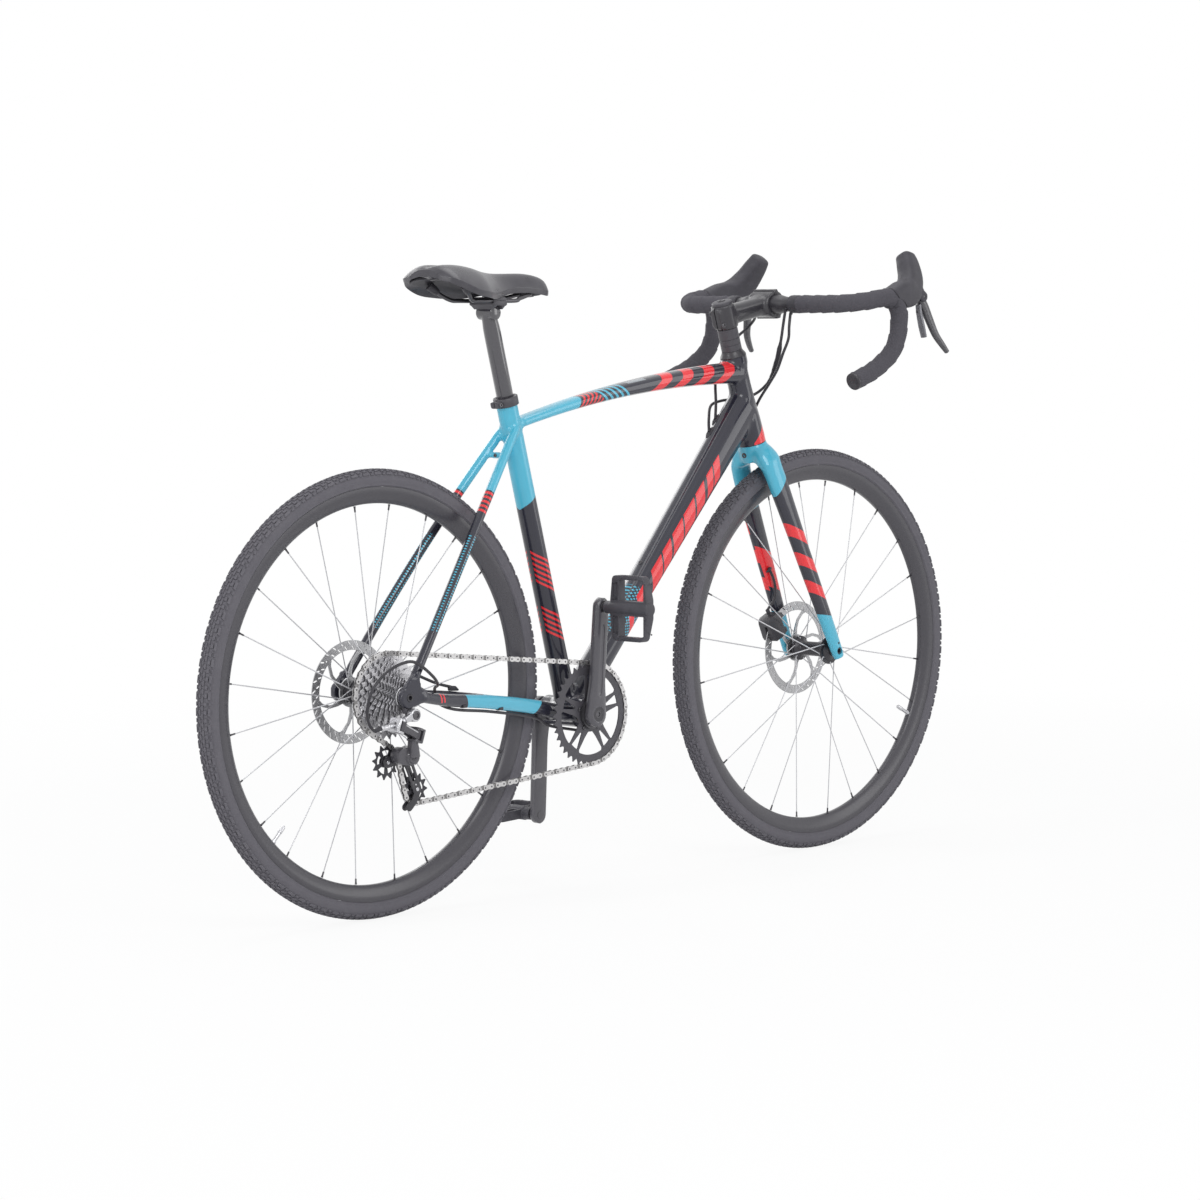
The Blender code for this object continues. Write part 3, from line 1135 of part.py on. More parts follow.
def make_crank_arm(name, sign, paint):
    up = crank_direction(sign)
    forward = Y.cross(up)

    def place(u, v, w):
        return BB + forward * u + up * v + Y * (sign * w)

    def inner(_, v):
        return blend(CRANK_INNER_OFFSET, CRANK_INNER_OFFSET_PEDAL[sign], min(max(v / CRANK_LENGTH, 0), 1))

    def outer(u, v):
        return inner(u, v) + CRANK_THICKNESS
    return add_object(name, prism(crank_outline(), inner, outer, place), paint)


def make_cranks(paints):
    right = make_crank_arm("crank_right", -1, paints["black_alloy"])
    outer = CRANK_INNER_OFFSET + CRANK_THICKNESS
    spindle = rod(BB - (outer + 0.0015) * Y, BB + (outer - 0.0015) * Y, SPINDLE_RADIUS, 18, hint=Z)
    unite(right, add_object("spindle", spindle, None))
    left = make_crank_arm("crank_left", 1, paints["black_alloy"])
    bore = rod(BB + 0.03 * Y, BB + 0.09 * Y, SPINDLE_RADIUS + CLEARANCE, 18, hint=Z)
    cut(left, add_object("spindle_bore", bore, None))
    spider = stack_of_rings([(CHAINLINE + CHAINRING_THICKNESS / 2 + CLEARANCE, SPIDER_RADIUS),
                             (CRANK_INNER_OFFSET + 0.001, SPIDER_RADIUS)], BB, -Y, 18, hint=Z)
    unite(right, add_object("spider", spider, None))
    for arm, sign in ((right, -1), (left, 1)):
        start = CRANK_INNER_OFFSET_PEDAL[sign] + 0.002
        end = pedal_inner_offset(sign) + PEDAL_WIDTH - 0.010
        centre = pedal_centre(sign)
        axle = stack_of_rings([(start, PEDAL_AXLE_RADIUS), (end, PEDAL_AXLE_RADIUS * 0.75)], centre, sign * Y, 10,
                              hint=Z)
        unite(arm, add_object("pedal_axle", axle, None))
        place_origin(arm, BB)


def pedal_inner_offset(sign):
    return CRANK_INNER_OFFSET_PEDAL[sign] + CRANK_THICKNESS + PEDAL_STAND_OFF


def make_pedal(name, sign, tilt, paint):
    """Platform pedal with two windows and a barrel that turns on the axle."""
    centre = pedal_centre(sign)
    start = pedal_inner_offset(sign)
    barrel_start = start - PEDAL_STAND_OFF + PEDAL_BARREL_STAND_OFF
    along = Vector((math.cos(tilt), 0, math.sin(tilt)))
    normal = Vector((-math.sin(tilt), 0, math.cos(tilt)))
    half_l, half_t = PEDAL_LENGTH / 2, PEDAL_THICKNESS / 2

    def place(u, v, w):
        return centre + along * u + normal * w + Y * (sign * v)
    end = start + PEDAL_WIDTH
    outline = [(-half_l * 0.80, start), (half_l * 0.80, start), (half_l, start + 0.014), (half_l * 0.96, end - 0.012),
               (half_l * 0.70, end), (-half_l * 0.70, end), (-half_l * 0.96, end - 0.012), (-half_l, start + 0.014)]
    pedal = add_object(name, prism(outline, -half_t, half_t, place), paint, centre)
    for side in (-1, 1):
        low, high = side * PEDAL_BARREL_RADIUS, side * (half_l - 0.0095)
        window = [(low, start + 0.020), (high, start + 0.020), (high * 0.97, end - 0.013), (low, end - 0.013)]
        cut(pedal, add_object("pedal_window", prism(window, -0.02, 0.02, place), None))
    barrel = rod(centre + Y * (sign * barrel_start), centre + Y * (sign * (end + 0.001)), PEDAL_BARREL_RADIUS, 12,
                 hint=Z)
    unite(pedal, add_object("barrel", barrel, None))
    bore = rod(centre + Y * (sign * (barrel_start - 0.01)), centre + Y * (sign * (end - 0.008)),
               PEDAL_AXLE_RADIUS + RUNNING_GAP, 10, hint=Z)
    cut(pedal, add_object("barrel_bore", bore, None))
    place_origin(pedal, centre)
    return pedal


def make_bb_cups(paint):
    half = BB_SHELL_WIDTH / 2
    bore = SPINDLE_RADIUS + RUNNING_GAP
    sleeve_radius = BB_BORE_RADIUS - CLEARANCE
    for name, sign in SIDES.items():
        profile = [(half - 0.012, bore), (half - 0.012, sleeve_radius), (half + CLEARANCE, sleeve_radius),
                   (half + CLEARANCE, BB_SHELL_RADIUS - 0.0015), (half + 0.0042, BB_SHELL_RADIUS - 0.0025),
                   (half + 0.0042, bore)]
        add_object("bb_cup_" + name, turned(profile, BB, sign * Y, 16, hint=Z), paint, BB)


# Rear derailleur and chain

def link_vector():
    """From a link's rear pivot to its front pivot, at rest."""
    return (RD_ALONG * math.cos(RD_SWING_AT_REST) + Y * math.sin(RD_SWING_AT_REST)) * RD_LINK_LENGTH


def link_pivot(sign):
    """Rear pivot of the outer (-1) or inner (+1) link."""
    return B_PIVOTS + Y * (sign * RD_LINK_SPACING / 2)


def strap(path, half_width, steps=5):
    """Outline of constant width round a path in the side view, with round ends."""
    ahead = directions(path)
    left = [(p.x - d.z * half_width, p.z + d.x * half_width) for p, d in zip(path, ahead)]
    right = [(p.x + d.z * half_width, p.z - d.x * half_width) for p, d in zip(path, ahead)]
    first, last = ahead[0], ahead[-1]
    start_turn = math.degrees(math.atan2(first.z, first.x))
    end_turn = math.degrees(math.atan2(last.z, last.x))
    start_cap = arc(path[0].x, path[0].z, half_width, start_turn + 90, start_turn + 270, steps)
    end_cap = arc(path[-1].x, path[-1].z, half_width, end_turn - 90, end_turn + 90, steps)
    return start_cap + right[1:-1] + end_cap + list(reversed(left[1:-1]))


def make_hanger(paint):
    """Hanger that carries the derailleur below the right dropout."""
    low, high = -HANGER_INNER - HANGER_THICKNESS, -HANGER_INNER
    outline = arc(0, 0, DROPOUT_RADIUS + CLEARANCE, 244, 290, 4)
    outline += [(0.0150, -0.0260), (0.0100, -0.0360), (-0.0020, -0.0360), (-0.0080, -0.0260)]
    return add_object("derailleur_hanger", prism(outline, low, high, side_view(REAR_AXLE)), paint)


def make_link(name, sign, paint):
    """Flat link with a round eye at each end."""
    rear = link_pivot(sign)
    front = rear + link_vector()
    reach = RD_AXIS * LINK_HALF_HEIGHT
    bar = sweep([rear, front], [(LINK_HALF_HEIGHT, LINK_HALF_THICKNESS)] * 2, 8, power=5, hint=RD_AXIS)
    link = add_object(name, bar, paint)
    for point in (rear, front):
        unite(link, add_object("eye", rod(point - reach, point + reach, LINK_EYE_RADIUS, 12), None))
    place_origin(link, rear)
    return link


def ears(middle, web_side):
    """Two ears above and below the links' ends, with the web that joins them on one side."""
    half = LINK_HALF_HEIGHT + RUNNING_GAP
    half_y = RD_LINK_SPACING / 2 + LINK_EYE_RADIUS
    web_place = middle + RD_ALONG * (web_side * (EAR_HALF_LENGTH + 0.0040))
    web_reach = RD_AXIS * (half + EAR_THICKNESS)
    web = sweep([web_place - web_reach, web_place + web_reach], [(half_y, WEB_HALF_THICKNESS)] * 2, 8, power=6)
    made = add_object("web", web, None)
    for end in (-1, 1):
        start = middle + RD_AXIS * (end * half) + RD_ALONG * (web_side * 0.0022)
        ear = sweep([start, start + RD_AXIS * (end * EAR_THICKNESS)], [(half_y, EAR_HALF_LENGTH + 0.0022)] * 2, 8,
                    power=5)
        unite(made, add_object("ear", ear, None))
    return made


def make_b_knuckle(paint):
    """Body that hangs on the B bolt, carries the rear ends of both links and takes the shift housing."""
    face = -HANGER_INNER - HANGER_THICKNESS - CLEARANCE
    drum_middle = Vector((B_BOLT.x, face - B_DRUM_LENGTH / 2, B_BOLT.z))
    drum = rod(drum_middle + Y * B_DRUM_LENGTH / 2, drum_middle - Y * B_DRUM_LENGTH / 2, B_DRUM_RADIUS, 16, hint=Z)
    knuckle = add_object("derailleur_b_knuckle", drum, paint)
    top = B_PIVOTS + RD_AXIS * (LINK_HALF_HEIGHT + RUNNING_GAP + EAR_THICKNESS / 2)
    arm_end = Vector((top.x, drum_middle.y, top.z + 0.0010))
    arm = sweep([drum_middle, arm_end], [(B_DRUM_LENGTH / 2 - 0.0010, 0.0070), (B_DRUM_LENGTH / 2 - 0.0010, 0.0040)],
                8, power=4)
    unite(knuckle, ears(B_PIVOTS, -1), add_object("arm", arm, None))
    barrel = rod(B_PIVOTS - RD_ALONG * 0.0080, adjuster_end(), ADJUSTER_RADIUS, 10)
    return unite(knuckle, add_object("adjuster", barrel, None))


def adjuster_direction():
    """Rearward and slightly downward, where the housing comes in."""
    return Vector((-1, 0, -0.12)).normalized()


def adjuster_end():
    return B_PIVOTS - RD_ALONG * 0.0080 + adjuster_direction() * ADJUSTER_LENGTH


def make_p_knuckle(paint):
    """Body that carries the front ends of both links and the cage pivot."""
    middle = B_PIVOTS + link_vector()
    inner_face = CAGE_PIVOT - Y * (CAGE_HALF_GAP + CAGE_PLATE_THICKNESS + RUNNING_GAP)
    drum = rod(inner_face, inner_face - Y * P_DRUM_LENGTH, P_DRUM_RADIUS, 18, hint=Z)
    knuckle = add_object("derailleur_p_knuckle", drum, paint)
    low_ear = middle - RD_AXIS * (LINK_HALF_HEIGHT + RUNNING_GAP + EAR_THICKNESS / 2)
    post_foot = Vector((CAGE_PIVOT.x, middle.y, CAGE_PIVOT.z))
    post = sweep([low_ear, post_foot], [(RD_LINK_SPACING / 2, EAR_HALF_LENGTH), (0.0070, 0.0100)], 8, power=4)
    unite(knuckle, ears(middle, 1), add_object("post", post, None))
    bore = rod(inner_face + Y * 0.01, inner_face - Y * (CAGE_PIN_LENGTH + 0.001), CAGE_PIN_RADIUS + CLEARANCE, 12,
               hint=Z)
    cut(knuckle, add_object("cage_bore", bore, None))
    place_origin(knuckle, link_pivot(-1) + link_vector())
    return knuckle


def make_cage(paint):
    """Two plates joined by the pulley bolts, with the pin that turns in the P knuckle."""
    path = [GUIDE_PULLEY - CAGE_PIVOT, *CAGE_ELBOW, TENSION_PULLEY - CAGE_PIVOT]
    outline = strap(path, CAGE_STRAP_HALF_WIDTH)
    outer, inner = CAGE_PIVOT.y - CAGE_HALF_GAP, CAGE_PIVOT.y + CAGE_HALF_GAP
    plate = prism(outline, outer - CAGE_PLATE_THICKNESS, outer, side_view(CAGE_PIVOT))
    cage = add_object("derailleur_cage", plate, paint)
    plate = prism(outline, inner, inner + CAGE_PLATE_THICKNESS, side_view(CAGE_PIVOT))
    unite(cage, add_object("inner_plate", plate, None))
    pin_start = Vector((CAGE_PIVOT.x, outer - CAGE_PLATE_THICKNESS / 2, CAGE_PIVOT.z))
    pin = rod(pin_start, pin_start - Y * CAGE_PIN_LENGTH, CAGE_PIN_RADIUS, 12, hint=Z)
    unite(cage, add_object("pin", pin, None))
    for centre in (GUIDE_PULLEY, TENSION_PULLEY):
        reach = CAGE_HALF_GAP + CAGE_PLATE_THICKNESS / 2
        bolt = rod(centre - reach * Y, centre + reach * Y, PULLEY_BOLT_RADIUS, 8, hint=Z)
        unite(cage, add_object("bolt", bolt, None))
    place_origin(cage, CAGE_PIVOT)
    return cage


def make_pulley(name, centre, teeth, paint):
    pulley = add_object(name, sprocket(teeth, LARGEST_COG_OFFSET, PULLEY_THICKNESS, centre), paint)
    half = CAGE_HALF_GAP - RUNNING_GAP
    hub = rod(centre - half * Y, centre + half * Y, PULLEY_HUB_RADIUS, 10, hint=Z)
    unite(pulley, add_object("pulley_hub", hub, None))
    bore = rod(centre - 0.01 * Y, centre + 0.01 * Y, PULLEY_BOLT_RADIUS + CLEARANCE, 8, hint=Z)
    cut(pulley, add_object("pulley_bore", bore, None))
    place_origin(pulley, centre)
    return pulley


def make_derailleur(paints):
    black = paints["black_alloy"]
    make_hanger(black)
    make_b_knuckle(paints["silver_alloy"])
    make_link("derailleur_outer_link", -1, black)
    make_link("derailleur_inner_link", 1, black)
    make_p_knuckle(black)
    make_cage(black)
    make_pulley("guide_pulley", GUIDE_PULLEY, GUIDE_PULLEY_TEETH, paints["black_plastic"])
    make_pulley("tension_pulley", TENSION_PULLEY, TENSION_PULLEY_TEETH, paints["black_plastic"])


def chain_wheels():
    """What the chain runs round, in order: centre, pitch radius and sense, +1 where it turns clockwise
    as seen from the drive side with +X to the right."""
    return [
        (BB + Vector((0, -CHAINLINE, 0)), pitch_radius(CHAINRING_TEETH), 1),
        (TENSION_PULLEY, pitch_radius(TENSION_PULLEY_TEETH), 1),
        (GUIDE_PULLEY, pitch_radius(GUIDE_PULLEY_TEETH), -1),
        (REAR_AXLE + Vector((0, -LARGEST_COG_OFFSET, 0)), pitch_radius(COG_TEETH[-1]), 1),
    ]


def tangent_normal(first, second):
    """Unit normal, as an angle in the side view, of the straight run between two wheels."""
    (c1, r1, s1), (c2, r2, s2) = first, second
    gap = math.hypot(c2.x - c1.x, c2.z - c1.z)
    heading = math.atan2(c2.z - c1.z, c2.x - c1.x)
    return heading + math.acos((s1 * r1 - s2 * r2) / gap)


def chain_path():
    """Closed path along the chain's pitch line, with the outward normal at each point."""
    wheels = chain_wheels()
    count = len(wheels)
    normals = [tangent_normal(wheels[i], wheels[(i + 1) % count]) for i in range(count)]
    points = []
    for i, (centre, radius, sense) in enumerate(wheels):
        arrive, leave = normals[i - 1], normals[i]
        turn = leave - arrive
        while sense * turn > 0.001:
            turn -= sense * 2 * math.pi
        while sense * turn < -2 * math.pi:
            turn += sense * 2 * math.pi
        steps = max(2, math.ceil(abs(turn) / math.radians(13 if radius > 0.04 else 30)))
        for k in range(steps + 1):
            angle = arrive + turn * k / steps
            normal = Vector((math.cos(angle), 0, math.sin(angle)))
            points.append((centre + normal * (radius * sense), normal))
    return points


def make_chain(paint):
    """Side plates with a web along the pitch line, which stands for the rollers and pins."""
    half_h, half_w = CHAIN_HALF_HEIGHT, CHAIN_HALF_WIDTH
    slot, web = CHAIN_SLOT_HALF_WIDTH, CHAIN_WEB_HALF_HEIGHT
    section = [(-half_w, -half_h), (-slot, -half_h), (-slot, -web), (slot, -web), (slot, -half_h),
               (half_w, -half_h), (half_w, half_h), (slot, half_h), (slot, web), (-slot, web),
               (-slot, half_h), (-half_w, half_h)]
    rings = [[point + Y * w + normal * h for w, h in section] for point, normal in chain_path()]
    return add_object("chain", skin(rings, loop=True), paint)


# Seatpost and saddle

def rail_path():
    """Centre line of the rails, from the rear of the left one round the nose to the rear of the right one."""
    x, z = TILT_AXIS.x, RAIL_HEIGHT
    half = [Vector((x - 0.0850, 0.0380, z + 0.0200)), Vector((x - 0.0720, 0.0320, z + 0.0090)),
            Vector((x - 0.0580, 0.0240, z + 0.0010)), Vector((x - 0.0400, RAIL_SPREAD, z)),
            Vector((x + 0.0340, RAIL_SPREAD, z)), Vector((x + 0.0500, 0.0190, z + 0.0035)),
            Vector((x + 0.0780, 0.0120, z + 0.0095)), Vector((x + 0.0860, 0.0050, z + 0.0110))]
    return half + [mirror_y(p) for p in reversed(half)]


def rails_bmesh(radius, count, longer=0.0):
    path = rail_path()
    ahead = directions(path)
    path[0] -= ahead[0] * longer
    path[-1] += ahead[-1] * longer
    side, _ = across(ahead[0], Z)
    rings = []
    for point, along in zip(path, ahead):
        side, other = across(along, side)
        rings.append(oval(point, side, other, radius, radius, count))
    return skin(rings)


def make_seatpost(paint):
    low = SEAT_TUBE_LENGTH - SEATPOST_INSERTED
    top = SEAT_TUBE_LENGTH + SEATPOST_SHOWN
    post = add_object("seatpost", stack_of_rings([(low, SEATPOST_RADIUS), (top - 0.020, SEATPOST_RADIUS),
                                                  (top - 0.004, SEATPOST_RADIUS * 0.92)],
                                                 BB, SEAT_AXIS, 18, hint=Y), paint)
    half = POST_HEAD_WIDTH / 2
    head = rod(TILT_AXIS - half * Y, TILT_AXIS + half * Y, POST_HEAD_RADIUS, 20, hint=Z)
    return unite(post, add_object("post_head", head, None))


def make_saddle_clamp(paint):
    """Cradle and top plate round the rails, which tilt on the round head of the seatpost."""
    middle = Vector((TILT_AXIS.x, 0, RAIL_HEIGHT))
    half_y = RAIL_SPREAD + RAIL_RADIUS + 0.0025
    top, bottom, half = RAIL_RADIUS + 0.0025, CLAMP_ABOVE_PIVOT - RAIL_ABOVE_PIVOT, CLAMP_LENGTH / 2
    outline = [(-half, bottom), (half, bottom), (half, top * 0.4), (half * 0.7, top), (-half * 0.7, top),
               (-half, top * 0.4)]
    clamp = add_object("saddle_clamp", prism(outline, -half_y, half_y, side_view(middle)), paint, TILT_AXIS)
    head = rod(TILT_AXIS - 0.05 * Y, TILT_AXIS + 0.05 * Y, POST_HEAD_RADIUS + CLEARANCE, 20, hint=Z)
    cut(clamp, add_object("head_recess", head, None),
        add_object("rail_grooves", rails_bmesh(RAIL_RADIUS + CLEARANCE, 8), None))
    place_origin(clamp, TILT_AXIS)
    return clamp


def saddle_ring(station):
    """Closed section of the padded cover: a crowned upper line from left to right, with a channel along the
    middle, and the lower line back from right to left."""
    share, half_share, rise, hang = station
    x = TILT_AXIS.x - SADDLE_REAR_BEHIND_PIVOT + share * SADDLE_LENGTH
    top = RAIL_HEIGHT + SADDLE_ABOVE_RAILS + rise
    channel = CHANNEL_DEPTH * max(0.0, 1 - (share / 0.75) ** 2)
    thickness = SADDLE_THICKNESS * (0.5 if share in (0.0, 1.0) else 1.0)
    upper, lower = [], []
    for across_share in SADDLE_ACROSS:
        groove = channel * math.exp(-(across_share / 0.16) ** 2)
        height = top - hang * abs(across_share) ** 2.6 - groove
        y = half_share * SADDLE_WIDTH * across_share
        upper.append(Vector((x, y, height)))
        lower.append(Vector((x, y, height - thickness * (1 - 0.35 * abs(across_share)))))
    return upper + lower[-2:0:-1]


def saddle_under(station):
    """Lower line of the cover from right to left, over the width that the shell takes."""
    lower = saddle_ring(station)[len(SADDLE_ACROSS):]
    return lower[SHELL_EDGE_COUNT - 1:len(lower) - SHELL_EDGE_COUNT + 1]


def make_saddle(paints):
    add_object("saddle_cover", skin([saddle_ring(station) for station in SADDLE_STATIONS]), paints["saddle_cover"])
    rings = []
    for station in SADDLE_STATIONS[1:-1]:
        upper = [point - Z * CLEARANCE for point in saddle_under(station)]
        rings.append(upper + [point - Z * SHELL_THICKNESS for point in reversed(upper)])
    shell = add_object("saddle_shell", skin(rings), paints["black_plastic"])
    path = rail_path()
    ahead = directions(path)
    for end, outward in ((0, -ahead[0]), (-1, ahead[-1])):
        socket = rod(path[end] - outward * 0.0080, path[end] + outward * 0.0060, RAIL_RADIUS + 0.0025, 8)
        unite(shell, add_object("socket", socket, None))
    nose = (path[len(path) // 2 - 1] + path[len(path) // 2]) / 2
    front = sweep([nose - X * 0.0080, nose + X * 0.0080], [(0.0090, 0.0055)] * 2, 8, power=4)
    bridge = sweep([nose, nose + Z * 0.0070], [(0.0060, 0.0050)] * 2, 8, power=4)
    unite(shell, add_object("nose_socket", front, None), add_object("nose_bridge", bridge, None))
    cut(shell, add_object("rail_sockets", rails_bmesh(RAIL_RADIUS + CLEARANCE, 8, CLEARANCE), None))
    add_object("saddle_rails", rails_bmesh(RAIL_RADIUS, 8), paints["black_alloy"])


# Hoses and housings

def tape_end(turn, sign):
    """Straight start of a hose at the end of the bar tape, against the bar, at an angle round it from forward."""
    out = BAR_RADIUS + HOSE_RADIUS + 2 * RUNNING_GAP
    u, v = out * math.cos(turn), out * math.sin(turn)
    return [bar_point(u, v, sign * (TAPE_START - inward)) for inward in (0.0012, 0.0026, 0.0040)]


def by_head(x, y, z):
    """Point measured from the middle of the head tube's top."""
    return on_steerer(HEAD_TOP) + Vector((x, y, z))


def by_front_axle(x, y, z):
    return FRONT_AXLE + Vector((x, y, z))


def by_rear_axle(x, y, z):
    return REAR_AXLE + Vector((x, y, z))


def make_cockpit_hoses(paint, front_caliper_place):
    """The shift housing and the front brake hose come from the right lever, the rear brake hose from the left."""
    hose("shift_housing_front", [
        *tape_end(math.radians(215), -1), by_head(0.0688, -0.0510, 0.0512), by_head(0.0671, -0.0470, 0.0232),
        by_head(0.0763, -0.0285, -0.0158), by_head(0.0838, -0.0070, -0.0428), by_head(0.0703, 0.0130, -0.0648),
        by_head(0.0423, 0.0310, -0.0728), by_head(0.0073, 0.0330, -0.0753), by_head(-0.0247, 0.0280, -0.0828),
        by_head(-0.0432, 0.0160, -0.1038), above_down_tube(0.868, 0.0060, HOSE_RADIUS)], paint)
    hose("rear_brake_hose_front", [
        *tape_end(math.radians(335), 1), by_head(0.1013, 0.0400, 0.0672), by_head(0.0703, 0.0280, 0.0482),
        by_head(0.0463, 0.0320, 0.0312), by_head(0.0203, 0.0370, -0.0008), by_head(-0.0017, 0.0360, -0.0278),
        by_head(-0.0147, 0.0270, -0.0498), by_head(-0.0222, 0.0190, -0.0788),
        above_down_tube(0.912, 0.0090, HOSE_RADIUS)], paint)
    leg = fork_leg_top(1)
    hose("front_brake_hose", [
        *tape_end(math.radians(270), -1), by_head(0.0773, -0.0570, 0.0492), by_head(0.0753, -0.0570, 0.0282),
        by_head(0.0693, -0.0500, 0.0032), by_head(0.0659, -0.0400, -0.0240), by_head(0.0643, -0.0240, -0.0468),
        by_head(0.0593, -0.0040, -0.0768), by_head(0.0643, 0.0190, -0.1128), leg + Vector((0.0170, 0.0010, 0.0560)),
        leg + Vector((0.0205, 0.0065, 0.0280)), leg + Vector((0.0185, 0.0080, 0.0040))], paint)
    hose("front_brake_hose_lower", [
        by_front_axle(-0.0725, 0.0357, 0.1420), by_front_axle(-0.0635, 0.0332, 0.1240),
        by_front_axle(-0.0580, 0.0330, 0.1030), by_front_axle(-0.0605, 0.0350, 0.0850),
        front_caliper_place(-CALIPER_LENGTH / 2 - 0.0100, -0.0060, 0.0030),
        front_caliper_place(-CALIPER_LENGTH / 2 - 0.0009, -0.0060, 0.0030)], paint)


def make_rear_hoses(paint, rear_caliper_place):
    left, right = chainstay_path(1), chainstay_path(-1)
    hose("rear_brake_hose", [
        rear_caliper_place(-CALIPER_LENGTH / 2 - CLEARANCE * 2, 0.0, 0.0050),
        rear_caliper_place(-CALIPER_LENGTH / 2 - 0.0050, 0.0, 0.0050),
        rear_caliper_place(-CALIPER_LENGTH / 2 - 0.0250, -0.0020, 0.0050),
        left[2] + Vector((-0.0250, 0.0010, 0.0260)),
        left[2] + Vector((0.0120, -0.0030, CHAINSTAY_HEIGHT * 0.55 + HOSE_RADIUS + 0.0015))], paint)
    under = CHAINSTAY_HEIGHT * 0.55 + HOSE_RADIUS + 0.0010
    hose("shift_housing", [
        BB + Vector((-0.004, -0.0240, -BB_SHELL_RADIUS - HOSE_RADIUS - 0.002)),
        right[4] + Vector((-0.020, 0.006, -CHAINSTAY_HEIGHT * 0.65 - 0.006)),
        right[3] + Vector((0, 0, -under - 0.002)),
        right[2] + Vector((0, 0.001, -under)),
        right[1] + Vector((0.0140, 0.0030, -under)),
        right[1] + Vector((-0.0140, 0.0125, -0.0020)),
        right[1] + Vector((-0.0230, 0.0085, 0.0190)),
        by_rear_axle(0.0675, -0.0710, 0.0150), by_rear_axle(0.0465, -0.0810, 0.0305),
        by_rear_axle(0.0065, -0.0910, 0.0525), by_rear_axle(-0.0205, -0.0930, 0.0560),
        by_rear_axle(-0.0575, -0.0920, 0.0440), by_rear_axle(-0.0845, -0.0900, 0.0190),
        by_rear_axle(-0.0915, -0.0860, -0.0080), by_rear_axle(-0.0845, -0.0800, -0.0300),
        adjuster_end() + adjuster_direction() * 0.0140, adjuster_end() + adjuster_direction() * 0.0060,
        adjuster_end() + adjuster_direction() * CLEARANCE * 2], paint)


# Assembly

def clear_scene():
    for obj in list(bpy.data.objects):
        bpy.data.objects.remove(obj)


def carry(name, place, direction, pieces):
    """Parents pieces to an empty that stands on a joint's axis, with its Z along that axis."""
    empty = bpy.data.objects.new(name, None)
    empty.empty_display_size = 0.05
    empty.location = place
    empty.rotation_mode = "QUATERNION"
    empty.rotation_quaternion = Vector(direction).to_track_quat("Z", "Y")
    bpy.context.scene.collection.objects.link(empty)
    bpy.context.view_layer.update()
    for piece in pieces:
        obj = bpy.data.objects[piece]
        obj.parent = empty
        obj.matrix_parent_inverse = empty.matrix_world.inverted()
    return empty


def add_joint_empties():
    carry("saddle_tilt_axis", TILT_AXIS, Y, ("saddle_clamp", "saddle_rails", "saddle_shell", "saddle_cover"))
    carry("seatpost_slide_axis", on_seat_tube(SEAT_TUBE_LENGTH), SEAT_AXIS, ("seatpost", "saddle_tilt_axis"))
    wheel = [f"front_{piece}" for piece in ("tyre", "rim", "hub", "rotor", "axle", "spokes_right", "spokes_left")]
    cockpit = ["fork", "headset_cover", "headset_spacers", "stem", "stem_faceplate", "stem_top_cap", "handlebar",
               "front_caliper", "front_brake_hose", "front_brake_hose_lower", "shift_paddle"]
    for side in SIDES:
        cockpit += [f"{piece}_{side}" for piece in ("bar_tape", "brake_hood", "brake_lever")]
    carry("steering_axis", on_steerer(HEAD_TOP), STEER_AXIS, wheel + cockpit)


def make_bike():
    paints = make_materials()
    black = paints["black_alloy"]
    make_frame(paints["frame_paint"])
    make_seat_collar(black)
    make_fork(paints["fork_paint"])
    make_headset(paints)
    make_stem(black)
    make_handlebar(paints)
    make_controls(paints)
    make_wheel("front", FRONT_AXLE, FRONT_SPACING, FRONT_FLANGES, FRONT_ROTOR_OFFSET,
               FRONT_SPACING / 2 + 0.0105, paints)
    make_wheel("rear", REAR_AXLE, REAR_SPACING, REAR_FLANGES, REAR_ROTOR_OFFSET,
               REAR_SPACING / 2 + DROPOUT_THICKNESS + 0.001, paints)
    front_caliper_place = make_caliper("front_caliper", FRONT_AXLE, FRONT_ROTOR_OFFSET, FRONT_CALIPER_ANGLE,
                                       FRONT_CALIPER_TURN, FRONT_CALIPER_FOOT, black)
    rear_caliper_place = make_caliper("rear_caliper", REAR_AXLE, REAR_ROTOR_OFFSET, REAR_CALIPER_ANGLE,
                                      REAR_CALIPER_TURN, REAR_CALIPER_FOOT, black)
    make_cassette(paints["silver_alloy"])
    make_chainring(black)
    make_cranks(paints)
    for name, sign in SIDES.items():
        make_pedal("pedal_" + name, sign, PEDAL_TILT[name], paints["black_plastic"])
    make_bb_cups(black)
    make_derailleur(paints)
    make_chain(paints["chain_nickel"])
    make_seatpost(black)
    make_saddle_clamp(black)
    make_saddle(paints)
    make_cockpit_hoses(paints["hose"], front_caliper_place)
    make_rear_hoses(paints["hose"], rear_caliper_place)
    add_joint_empties()


clear_scene()
make_bike()
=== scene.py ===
"""Looks of the cyclocross bike: its fine shapes, materials, floor, light and camera.

Same frame of reference as the part: +X forward, +Y to the rider's left, +Z up, in metres, ground at z = 0.
"""

import math

import bmesh
import bpy
import numpy as np
from mathutils import Matrix, Vector


